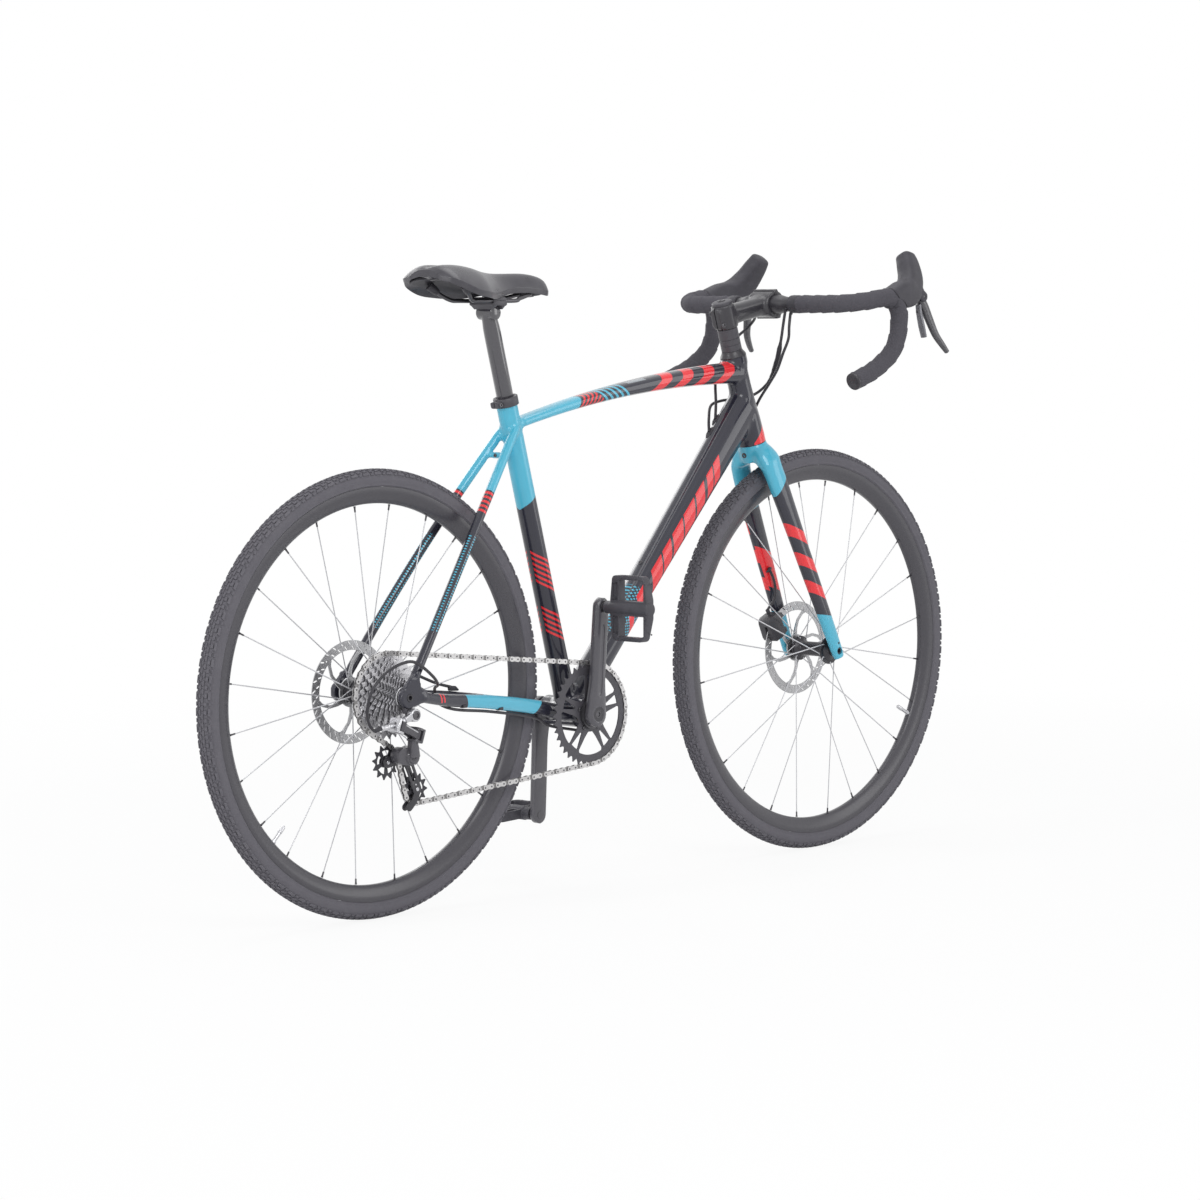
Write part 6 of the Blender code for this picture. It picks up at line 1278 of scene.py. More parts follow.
def pin_places():
    """Pins of the chain, about one pitch apart, starting where the chain meets the chainring."""
    path = [p for p, _ in chain_path()]
    path.append(path[0])
    lengths = [(b - a).length for a, b in zip(path, path[1:])]
    total = sum(lengths)
    count = 2 * round(total / CHAIN_PITCH / 2)
    pins, at, walked = [], 0, 0.0
    for i in range(count):
        goal = total * i / count
        while walked + lengths[at] < goal:
            walked += lengths[at]
            at += 1
        pins.append(lerp(path[at], path[at + 1], (goal - walked) / lengths[at]))
    return pins


def link_outline(reach, half, waist):
    """Plate of a chain link about its middle: two round ends and a waist."""
    ahead, behind = arc(reach, 0, half, -105, 105, 7), arc(-reach, 0, half, 75, 285, 7)
    return ahead + [(0, waist)] + behind + [(0, -waist)]


def make_chain():
    pins = pin_places()
    plates, inner, rollers = [], [], []
    for i, pin in enumerate(pins):
        following = pins[(i + 1) % len(pins)]
        middle, ahead = (pin + following) / 2, (following - pin).normalized()
        up = Vector((-ahead.z, 0, ahead.x))
        outer = i % 2 == 0
        reach = (following - pin).length / 2
        low, high = (0.00172, 0.00262) if outer else (0.00085, 0.00165)
        outline = link_outline(reach, 0.0042 if outer else 0.004, 0.003)

        def place(u, v, w, middle=middle, ahead=ahead, up=up):
            return middle + ahead * u + up * v + Y * w
        for sign in (-1, 1):
            (plates if outer else inner).append(prism(outline, sign * low, sign * high, place))
        rollers.append(cross_rod(pin, 0.00083, 0.0038, 14))
        rollers.append(stack([(-0.00285, 0.0011), (-0.0027, 0.0016), (0.0027, 0.0016), (0.00285, 0.0011)],
                             pin, Y, 10))
    add_piece("chain_plates", joined(*plates), "chain", "frame", ["chain"], sharp=40)
    for name, parts, paint_all in (("chain_inner_plates", inner, "chain_inner"),
                                   ("chain_rollers", rollers, "dark_steel")):
        add_piece(name, joined(*parts), paint_all, "frame", sharp=40)
    return pins


def roller_phase(centre, pins, radius):
    """Angle about a sprocket's centre of a pin that lies on its pitch circle, near the middle of the wrap."""
    on = [p for p in pins if abs(math.hypot(p.x - centre.x, p.z - centre.z) - radius) < 0.0004]
    pin = on[len(on) // 2]
    return math.atan2(pin.z - centre.z, pin.x - centre.x)


def sprocket(teeth, offset, thickness, centre, phase, tip=0.0026, bevel=0.35):
    """Toothed disc, thinner towards the tips of its teeth."""
    outline = tooth_outline(teeth, phase, tip)
    radius = pitch_radius(teeth)

    def half(u, v):
        return thickness / 2 * (1 - bevel * smoothstep((math.hypot(u, v) - radius + 0.003) / 0.0055))
    return prism(outline, lambda u, v: -offset - half(u, v), lambda u, v: -offset + half(u, v),
                 side_view(centre))


def make_cassette(pins):
    phase = roller_phase(REAR_AXLE, pins, pitch_radius(COG_TEETH[-1]))
    cogs = []
    for index, teeth in enumerate(COG_TEETH):
        offset = FIRST_COG_OFFSET - COG_PITCH * index
        cogs.append(sprocket(teeth, offset, 0.0017, REAR_AXLE, phase + 0.11 * (len(COG_TEETH) - 1 - index)))
    cassette = mesh_object("cassette_cogs", joined(*cogs), sharp=32)
    bore = turned([(-0.08, 0.0001), (-0.08, 0.0101), (-0.02, 0.0101), (-0.02, 0.0001)], REAR_AXLE, Y, 40)
    boolean(cassette, mesh_object("cassette_bore", bore), solver="EXACT")
    windows = []
    for index in (8, 9, 10):
        teeth = COG_TEETH[index]
        offset = FIRST_COG_OFFSET - COG_PITCH * index
        reach = pitch_radius(teeth)
        for k in range(6):
            middle = 60 * k + 14 * (10 - index)
            outline = (arc(0, 0, reach - 0.0085, middle - 20, middle + 20, 8)
                       + arc(0, 0, max(0.0285, reach - 0.0235), middle + 19, middle - 19, 6))
            windows.append(prism(outline, -offset - 0.0014, -offset + 0.0014, side_view(REAR_AXLE)))
    boolean(cassette, cutter("cog_windows", *windows), solver="EXACT")
    smooth_shading(cassette, 32)
    finish_piece(cassette, "cog", "sprockets", ["cassette"])
    core = [(-0.0672, 0.0102), (-0.0672, 0.015), (-0.064, 0.0158), (-0.05, 0.019), (-0.04, 0.0235),
            (-0.0305, 0.0282), (-0.0272, 0.0282), (-0.0268, 0.0102)]
    add_piece("cassette_carrier", turned(core, REAR_AXLE, Y, 72), "satin_black",
              "sprockets", sharp=32)
    ring = [(-0.069, 0.0104), (-0.069, 0.0128), (-0.0684, 0.0136), (-0.0684, 0.0158), (-0.0672, 0.0164),
            (-0.067, 0.0104)]
    teeth = [rod(REAR_AXLE + Vector((0.0121 * math.cos(a), -0.0691, 0.0121 * math.sin(a))), REAR_AXLE
                 + Vector((0.0121 * math.cos(a), -0.0676, 0.0121 * math.sin(a))), 0.0008, 6, hint=Z)
             for a in (2 * math.pi * k / 20 for k in range(20))]
    add_piece("cassette_lockring", joined(turned(ring, REAR_AXLE, Y, 60), *teeth), "silver",
              "sprockets", sharp=32)


def make_chainring(pins):
    phase = roller_phase(BB, pins, pitch_radius(CHAINRING_TEETH))
    toothed = sprocket(CHAINRING_TEETH, CHAINLINE, 0.0019, BB, phase, tip=0.003)
    ring = mesh_object("chainring_toothed", toothed, sharp=32)
    inner, hub = pitch_radius(CHAINRING_TEETH) - 0.015, 0.029
    windows = []
    for i in range(5):
        middle = 90 + 72 * (i + 0.5)
        outline = (arc(0, 0, inner, middle - 23, middle + 23, 14)
                   + [(r * math.cos(math.radians(a)), r * math.sin(math.radians(a))) for r, a in
                      ((inner - 0.0035, middle + 25), (0.04, middle + 19), (hub + 0.001, middle + 11))]
                   + arc(0, 0, hub, middle + 8, middle - 8, 4)
                   + [(r * math.cos(math.radians(a)), r * math.sin(math.radians(a))) for r, a in
                      ((hub + 0.001, middle - 11), (0.04, middle - 19), (inner - 0.0035, middle - 25))])
        narrow = middle + 36
        slot = (arc(0, 0, inner - 0.003, narrow - 7.0, narrow + 7.0, 5)
                + arc(0, 0, hub + 0.007, narrow + 2.5, narrow - 2.5, 3))
        for one in (outline, slot):
            windows.append(prism(one, -CHAINLINE - 0.005, -CHAINLINE + 0.005, side_view(BB)))
    windows.append(rod(BB + (-CHAINLINE - 0.02) * Y, BB + (-CHAINLINE + 0.02) * Y, 0.0153, 48, hint=Z))
    boolean(ring, cutter("ring_windows", *windows))
    finish_piece(bevelled(ring, 0.00022, 1, 50), "satin_black", "crankset", ["chainring"])


def crank_up(sign):
    up = Vector((math.sin(math.radians(2)), 0, math.cos(math.radians(2))))
    return up if sign < 0 else -up


def pedal_centre(sign):
    return BB + crank_up(sign) * CRANK_LENGTH


def make_crank_arm(name, sign):
    """Arm of lens section, with a pocket round the spindle's end and a shallow channel along its face."""
    up = crank_up(sign)
    forward = Y.cross(up)
    stations = 30
    rings = []
    boss, boss_end, shoulder, eye = 0.0205, 0.0095, 0.0188, 0.014
    for i in range(stations + 1):
        t = i / stations
        v = lerp(-boss, CRANK_LENGTH + eye, 0.5 - 0.5 * math.cos(math.pi * t))
        if v < 0:
            half = math.sqrt(max(boss ** 2 - v ** 2, 1e-7))
        elif v < boss_end:
            half = lerp(boss, shoulder, v / boss_end)
        elif v > CRANK_LENGTH:
            half = math.sqrt(max(eye ** 2 - (v - CRANK_LENGTH) ** 2, 1e-7))
        else:
            share = (v - boss_end) / (CRANK_LENGTH - boss_end)
            slim = lerp(shoulder, 0.0143, smoothstep(share / 0.3))
            half = lerp(slim, eye, smoothstep((share - 0.78) / 0.22))
        half = max(half, 0.0012)
        inner = lerp(CRANK_INNER, CRANK_INNER_PEDAL[sign], min(max(v / CRANK_LENGTH, 0), 1))
        outer = inner + CRANK_THICKNESS
        edge = min(half * 0.42, 0.0046)
        section = [(-half, inner + 0.0035), (-half + 0.0012, inner + 0.0006), (-half + 0.003, inner),
                   (half - 0.003, inner), (half - 0.0012, inner + 0.0006), (half, inner + 0.0035),
                   (half, outer - 0.0048), (half - edge * 0.25, outer - 0.0026),
                   (half - edge, outer - 0.0008), (half * 0.35, outer), (-half * 0.35, outer),
                   (-half + edge, outer - 0.0008), (-half + edge * 0.25, outer - 0.0026),
                   (-half, outer - 0.0048)]
        rings.append([BB + forward * u + up * v + Y * (sign * w) for u, w in section])
    arm = mesh_object(name, skin(rings), sharp=None)
    face, eye_face = CRANK_INNER + CRANK_THICKNESS, CRANK_INNER_PEDAL[sign] + CRANK_THICKNESS
    pocket_depth = eye_face - 0.0012
    pocket = cutter("pocket", stack([(face - 0.0022, 0.0118), (face + 0.004, 0.0128)], BB, Y * sign, 48),
                    rod(pedal_centre(sign) + Y * (sign * pocket_depth), pedal_centre(sign)
                        + Y * (sign * 0.09), 0.0088, 40, hint=Z))
    boolean(arm, pocket)
    channel = []
    for v, half in ((0.03, 0.0012), (0.036, 0.0048), (0.138, 0.004), (0.144, 0.001)):
        low = lerp(CRANK_INNER, CRANK_INNER_PEDAL[sign], v / CRANK_LENGTH) + CRANK_THICKNESS - 0.0009
        channel.append([BB + forward * u + up * v + Y * (sign * w)
                        for u, w in ((-half, low), (half, low), (half, low + 0.004), (-half, low + 0.004))])
    boolean(arm, cutter("channel", skin(channel)))
    bevelled(arm, 0.0006, 2, 38)
    finish_piece(arm, "crank", "crankset", ["crank_right" if sign < 0 else "crank_left"])
    centre = pedal_centre(sign)
    end = eye_face + PEDAL_GAP + PEDAL_WIDTH - 0.01
    axle = [(CRANK_INNER_PEDAL[sign] - 0.0006, 0.0066), (eye_face, 0.0066),
            (CRANK_INNER_PEDAL[sign] + 0.0142, 0.0083), (CRANK_INNER_PEDAL[sign] + 0.0168, 0.0083),
            (CRANK_INNER_PEDAL[sign] + 0.0172, 0.006), (end, 0.0045)]
    add_piece(name + "_pedal_axle", stack(axle, centre, Y * sign, 32), "dark_steel",
              "crankset")
    cap = [(face - 0.0024, 0.004), (face - 0.0024, 0.0112), (face - 0.001, 0.0112), (face - 0.0006, 0.0106),
           (face - 0.0006, 0.0058), (face - 0.0018, 0.005), (face - 0.0018, 0.004)]
    add_piece(name + "_cap", turned(cap, BB, Y * sign, 48), "black_alloy", "crankset")


def make_spindle():
    spindle = [(-0.069, 0.004), (-0.069, 0.015), (0.0685, 0.015), (0.0685, 0.004)]
    spider = [(0.051, 0.015), (0.051, 0.0236), (0.052, 0.024), (0.0566, 0.024), (0.057, 0.015)]
    bm = joined(turned(spindle, BB, Y, 48), turned(spider, BB, -Y, 72),
                *[bolt(BB + Vector((0.0268 * math.cos(a), -0.0512, 0.0268 * math.sin(a))), -Y, 0.003,
                       0.0024) for a in (math.radians(90 + 72 * k) for k in range(5))])
    add_piece("crank_spindle", bm, "dark_steel", "crankset")


def make_pedal(name, sign, tilt):
    """Platform with a stepped frame round two windows, reflector slots and raised dots on its faces."""
    centre = pedal_centre(sign)
    start = CRANK_INNER_PEDAL[sign] + 0.014 + PEDAL_GAP
    along = Vector((math.cos(tilt), 0, math.sin(tilt)))
    normal = Vector((-math.sin(tilt), 0, math.cos(tilt)))
    half_l, half_t, end = 0.052, 0.0076, start + PEDAL_WIDTH

    def place(u, v, w):
        return centre + along * u + normal * w + Y * (sign * v)
    half_outline = [(0.012, start), (half_l * 0.9, start + 0.004), (half_l * 0.97, start + 0.0065),
                    (half_l, start + 0.011), (half_l, end - 0.016), (half_l * 0.97, end - 0.0115),
                    (half_l * 0.9, end - 0.0085), (0.015, end)]
    outline = half_outline + [(-u, v) for u, v in reversed(half_outline)]
    pedal = mesh_object(name + "_platform", prism(outline, -half_t, half_t, place), sharp=None)
    cuts = []
    for side in (-1, 1):
        low, high = side * 0.0116, side * (half_l - 0.0066)
        window = [(low, start + 0.0185), (high * 0.98, start + 0.0185), (high, start + 0.0225),
                  (high, end - 0.016), (high * 0.94, end - 0.008), (low, end - 0.008)]
        cuts.append(prism(window, -0.02, 0.02, place))
        for level in (-1, 1):
            shallow = [(side * 0.0125, start + 0.005), (side * (half_l - 0.013), start + 0.005),
                       (side * (half_l - 0.01), start + 0.016), (side * 0.0125, start + 0.016)]
            cuts.append(prism(shallow, level * (half_t - 0.003), level * 0.02, place))
        slot = [(side * (half_l - 0.004), start + 0.021), (side * (half_l + 0.01), start + 0.021),
                (side * (half_l + 0.01), end - 0.021), (side * (half_l - 0.004), end - 0.021)]
        cuts.append(prism(slot, -0.0045, 0.0045, place))
    boolean(pedal, cutter("pedal_cuts", *cuts))
    barrel_start = start - 0.015
    barrel = mesh_object("barrel", stack([(barrel_start, 0.0092), (barrel_start + 0.001, 0.01),
                                          (barrel_start + 0.014, 0.0104), (start, 0.0115),
                                          (end - 0.0006, 0.0115), (end + 0.001, 0.01)], centre, Y * sign,
                                         40))
    boolean(pedal, barrel, "UNION")
    bore = cutter("pedal_bore", rod(centre + Y * (sign * (barrel_start - 0.01)),
                                    centre + Y * (sign * (end - 0.008)), 0.0066, 32, hint=Z))
    boolean(pedal, bore)
    bevelled(pedal, 0.0007, 2, 35)
    finish_piece(pedal, "pedal", name, [name])
    studs = []
    for level in (-1, 1):
        for side in (-1, 1):
            for v in (0.008, 0.024, 0.04, 0.056, 0.0755):
                for u in (0.0155, 0.0485 if v < 0.07 else 0.04):
                    if v == 0.008 and u > 0.04:
                        continue
                    if 0.02 < v < 0.066 and u < 0.04:
                        continue
                    foot = place(side * min(u, half_l - 0.0034), start + v, level * (half_t - 0.0004))
                    studs.append(stack([(0, 0.0014), (0.0011, 0.0012), (0.0014, 0.0006)], foot,
                                       normal * level, 10, hint=Y))
    add_piece(name + "_studs", joined(*studs), "pedal", name)


def make_bb_cups():
    for name, sign in SIDES.items():
        half = BB_HALF_WIDTH
        profile = [(half - 0.012, 0.0156), (half - 0.012, 0.0202), (half + 0.0003, 0.0202),
                   (half + 0.0003, 0.0222), (half + 0.0008, 0.0225), (half + 0.003, 0.0225),
                   (half + 0.0042, 0.0214), (half + 0.0042, 0.0178), (half + 0.0036, 0.0172),
                   (half + 0.0036, 0.0156)]
        add_piece("bb_cup_ring_" + name, turned(profile, BB, Y * sign, 72), "black_alloy",
                  "frame", ["bb_cup_" + name])


MATERIALS["chain_inner"] = alloy("chain_inner_steel", (0.2, 0.195, 0.195), 0.32, metallic=0.85, scale=500)
MATERIALS["crank"] = alloy("crank_black", (0.066, 0.063, 0.073), 0.28, scale=1600, relief=0.00001,
                           coat=0.25)
MATERIALS["pedal"] = rubber("pedal_plastic", (0.052, 0.05, 0.059), 0.48, 900, 0.00006, 1.4)
PINS = make_chain()
make_cassette(PINS)
make_chainring(PINS)
for arm_name, arm_sign in (("crank_arm_right", -1), ("crank_arm_left", 1)):
    make_crank_arm(arm_name, arm_sign)
make_spindle()
for pedal_name, pedal_sign, pedal_tilt in (("pedal_right", -1, 90), ("pedal_left", 1, 4)):
    make_pedal(pedal_name, pedal_sign, math.radians(pedal_tilt))
make_bb_cups()


# Cockpit

BAR_RADIUS, BAR_CLAMP_RADIUS, TAPE_START = 0.0119, 0.0159, 0.06
CLAMP_HALF, CLAMP_OUTER, CLAMP_BORE = 0.023, 0.0222, 0.0162
BAR_HALF_WIDTH, BAR_CORNER, BAR_RAMP = 0.208, 0.06, 0.165
DROP_LINE = ((0.068, 0.0105), (0.088, 0.005), (0.0995, -0.011), (0.1012, -0.03), (0.0965, -0.056),
             (0.083, -0.079), (0.062, -0.095), (0.03, -0.112), (-0.015, -0.1275))
HOOD_SPINE = ((0.08, 0.0085, 0.207, 0.017, 0.0175), (0.108, 0.014, 0.2035, 0.018, 0.0225),
              (0.138, 0.02, 0.1965, 0.018, 0.0245), (0.158, 0.04, 0.186, 0.0172, 0.022),
              (0.168, 0.064, 0.1725, 0.016, 0.0185), (0.1715, 0.078, 0.164, 0.0145, 0.015))
LEVER_SPINE = ((0.171, 0.012, 0.193, 0.007, 0.0075), (0.179, -0.004, 0.1975, 0.0065, 0.0085),
               (0.185, -0.028, 0.205, 0.0055, 0.008), (0.192, -0.052, 0.2125, 0.005, 0.0065),
               (0.204, -0.07, 0.218, 0.0048, 0.005), (0.213, -0.081, 0.2205, 0.0042, 0.0038))
PADDLE_SPINE = ((0.1655, -0.002, 0.197, 0.0055, 0.003), (0.166, -0.016, 0.1985, 0.0055, 0.0035),
                (0.1665, -0.038, 0.2035, 0.0065, 0.003), (0.17, -0.056, 0.2055, 0.006, 0.0025))


def bar_point(u, v, w):
    return BAR_CENTRE + Vector((u, w, v))


def bar_corners():
    path = [bar_point(0, 0, TAPE_START), bar_point(0, 0, BAR_HALF_WIDTH - BAR_CORNER)]
    for angle in (30, 60):
        turn = math.radians(angle)
        u = BAR_CORNER * (1 - math.cos(turn))
        path.append(bar_point(u, u * BAR_RAMP, BAR_HALF_WIDTH - BAR_CORNER + BAR_CORNER * math.sin(turn)))
    return path + [bar_point(u, v, BAR_HALF_WIDTH) for u, v in DROP_LINE]


def even_path(points, step):
    """Points a step apart along a path."""
    lengths = [(b - a).length for a, b in zip(points, points[1:])]
    total = sum(lengths)
    count = max(2, round(total / step))
    found, at, walked = [], 0, 0.0
    for i in range(count + 1):
        goal = total * i / count
        while at < len(lengths) - 1 and walked + lengths[at] < goal:
            walked += lengths[at]
            at += 1
        found.append(lerp(points[at], points[at + 1], (goal - walked) / lengths[at]))
    return found


def mirrored(rings, sign):
    return [[Vector((p.x, sign * p.y, p.z)) for p in ring] for ring in rings]


def make_handlebar():
    half = curve_through(bar_corners(), 6)
    slim = carried_rings(half, [(BAR_RADIUS, BAR_RADIUS)] * len(half), 28)
    side, other = across(directions(half)[0], Z)
    start = [oval(bar_point(0, 0, y), side, other, r, r, 28) for y,
             r in ((0.023, BAR_CLAMP_RADIUS), (0.031, BAR_CLAMP_RADIUS), (0.036, 0.0155), (0.043, 0.0137),
                   (0.05, 0.0124), (0.056, BAR_RADIUS))]
    outward = directions(half)[-1]
    end = half[-1]
    side, other = across(outward, Z)
    plug = [oval(end + outward * p, side, other, r, r, 28) for p,
            r in ((0.0005, 0.0148), (0.0024, 0.0146), (0.0034, 0.013), (0.0038, 0.01), (0.003, 0.0085),
                  (0.0028, 0.003))]
    left = start + slim[1:] + plug
    add_piece("handlebar_tube", skin(list(reversed(mirrored(left, -1))) + left), "black_alloy",
              "steering", ["handlebar"], sharp=40)


def make_tape(name, sign):
    """Tape wound round the bar: each turn laps the one before, with a fine rib along its edge."""
    half = even_path(curve_through(bar_corners(), 8), 0.0016)
    pitch, count = 0.0265, 40
    along = directions(half)
    side, _ = across(along[0], Z)
    outer, inner = [], []
    total = len(half) - 1
    walked = 0.0
    for i, (point, ahead) in enumerate(zip(half, along)):
        if i:
            walked += (half[i] - half[i - 1]).length
        side, other = across(ahead, side)
        ring = []
        ends = min(1.0, i / 2, (total - i) / 2)
        for k in range(count):
            angle = 2 * math.pi * (k + 0.5) / count
            turn = (walked / pitch - k / count) % 1.0
            lap = 0.00135 * (1 - turn) * smoothstep(turn / 0.05)
            rib = 0.00022 * math.cos(2 * math.pi * turn * 9)
            radius = BAR_RADIUS + 0.0022 + (lap + rib) * ends - 0.0012 * (1 - ends)
            ring.append(point + side * (radius * math.cos(angle)) + other * (radius * math.sin(angle)))
        outer.append(ring)
        inner.append(oval(point, side, other, BAR_RADIUS + 0.0003, BAR_RADIUS + 0.0003, count))
    rings = mirrored(outer, sign) + mirrored(inner, sign)[::-1]
    add_piece("bar_tape_wound_" + name, skin(rings, loop=True), "tape", "steering",
              ["bar_tape_" + name], sharp=50)
    start = Vector((half[0].x, sign * half[0].y, half[0].z))
    band = turned([(-0.0016, BAR_RADIUS + 0.0004), (-0.0016, BAR_RADIUS + 0.0012),
                   (0.0, BAR_RADIUS + 0.003), (0.015, BAR_RADIUS + 0.0033), (0.0162, BAR_RADIUS + 0.0029),
                   (0.0162, BAR_RADIUS + 0.0026)], start, Y * sign, 48)
    add_piece("bar_finish_tape_" + name, band, "plastic", "steering")


def spine_mesh(spine, sign, count, power, per_span=5):
    """Smooth body along a spine of (forward, above, outward, half width, half depth), with rounded ends."""
    corners = [bar_point(u, v, w) for u, v, w, _, _ in spine]
    path = curve_through(corners, per_span)
    last = len(path) - 1
    ahead = directions(path)
    rings = []
    for i, (point, along) in enumerate(zip(path, ahead)):
        place = i / per_span
        low = min(int(place), len(spine) - 2)
        share = place - low
        a, b = (lerp(spine[low][k], spine[low + 1][k], share) for k in (3, 4))
        side, other = across(along)
        rings.append(oval(point, side, other, a, b, count, power))
        if i in (0, last):
            outward = -along if i == 0 else along
            caps = [oval(point + outward * (min(a, b) * 0.45 * math.sin(t)), side, other,
                         a * math.cos(t) ** 0.6, b * math.cos(t) ** 0.6, count, power)
                    for t in (0.45, 0.9, 1.3)]
            rings = caps[::-1] + rings if i == 0 else rings + caps
    return skin(mirrored(rings, sign)[::sign])


def lever_pivot(sign):
    u, v, w, _, _ = LEVER_SPINE[0]
    return bar_point(u, v, sign * w)


def paddle_pivot():
    u, v, w, _, _ = PADDLE_SPINE[0]
    return bar_point(u, v, -w) - Z * 0.012


def make_hood(name, sign):
    """Rubber hood, with the bracket that holds the lever's pin below it."""
    body = spine_mesh(HOOD_SPINE, sign, 40, 3.4)
    pivot = lever_pivot(sign)
    inward = Vector((-1, 0, 1)).normalized() * 0.02
    cheeks = sweep([pivot + inward, pivot + inward * 0.4, pivot], [(0.013, 0.009)] * 3, 32, power=8)
    eye = cross_rod(pivot, 0.013, 0.009, 40)
    hood = melted("hood_" + name, [body, cheeks, eye], 14)
    reach = 0.01
    bar_path = curve_through(bar_corners(), 5)
    bar = skin(mirrored(carried_rings(bar_path, [(0.0156, 0.0156)] * len(bar_path), 32), sign)[::sign])
    slot_outline = [(-0.0115, 0), (0.04, 0), (0.06, -0.09), (-0.0115, -0.09)]
    for tool in (bar, cross_rod(pivot, reach, 0.0115, 40),
                 prism(slot_outline, pivot.y - reach, pivot.y + reach, side_view(pivot)),
                 cross_rod(pivot, 0.03, 0.0028, 20)):
        boolean(hood, cutter("hood_tool", tool))
    smooth_shading(hood, 45)
    finish_piece(hood, "hood", "steering", ["brake_hood_" + name])


def make_lever(name, sign):
    """Blade on an eye with a pin, and on the right lever the rod that the shift paddle turns on."""
    pivot = lever_pivot(sign)
    blade = mesh_object("lever_blade_" + name, spine_mesh(LEVER_SPINE, sign, 28, 2.6, 6), sharp=45)
    eye = cross_rod(pivot, 0.0072, 0.0085, 40)
    boolean(blade, mesh_object("eye", eye), "UNION")
    pin = stack([(-0.0128, 0.0016), (-0.0124, 0.0025), (0.0124, 0.0025), (0.0128, 0.0016)], pivot, Y, 24)
    parts = [pin]
    if sign < 0:
        place = paddle_pivot()
        parts.append(rod(place + X * 0.015, place + X * 0.0042, 0.0032, 20, hint=Z))
        parts.append(rod(place + X * 0.015, place - X * 0.0046, 0.0018, 16, hint=Z))
    for part in parts:
        boolean(blade, mesh_object("pin", part), "UNION")
    bevelled(blade, 0.0004, 2, 45)
    finish_piece(blade, "lever", "brake_lever_" + name, ["brake_lever_" + name])


def make_paddle():
    paddle = mesh_object("shift_paddle_blade", spine_mesh(PADDLE_SPINE, -1, 24, 2.8, 6), sharp=45)
    place = paddle_pivot()
    boolean(paddle, mesh_object("paddle_bore", rod(place + X * 0.01, place - X * 0.02, 0.0021, 16, hint=Z)))
    smooth_shading(paddle, 45)
    finish_piece(paddle, "paddle", "shift_paddle", ["shift_paddle"])


def along_stem(u, v, w):
    up = STEM_DIRECTION.cross(Y) * -1
    return BAR_CENTRE + STEM_DIRECTION * u + up * v + Y * w


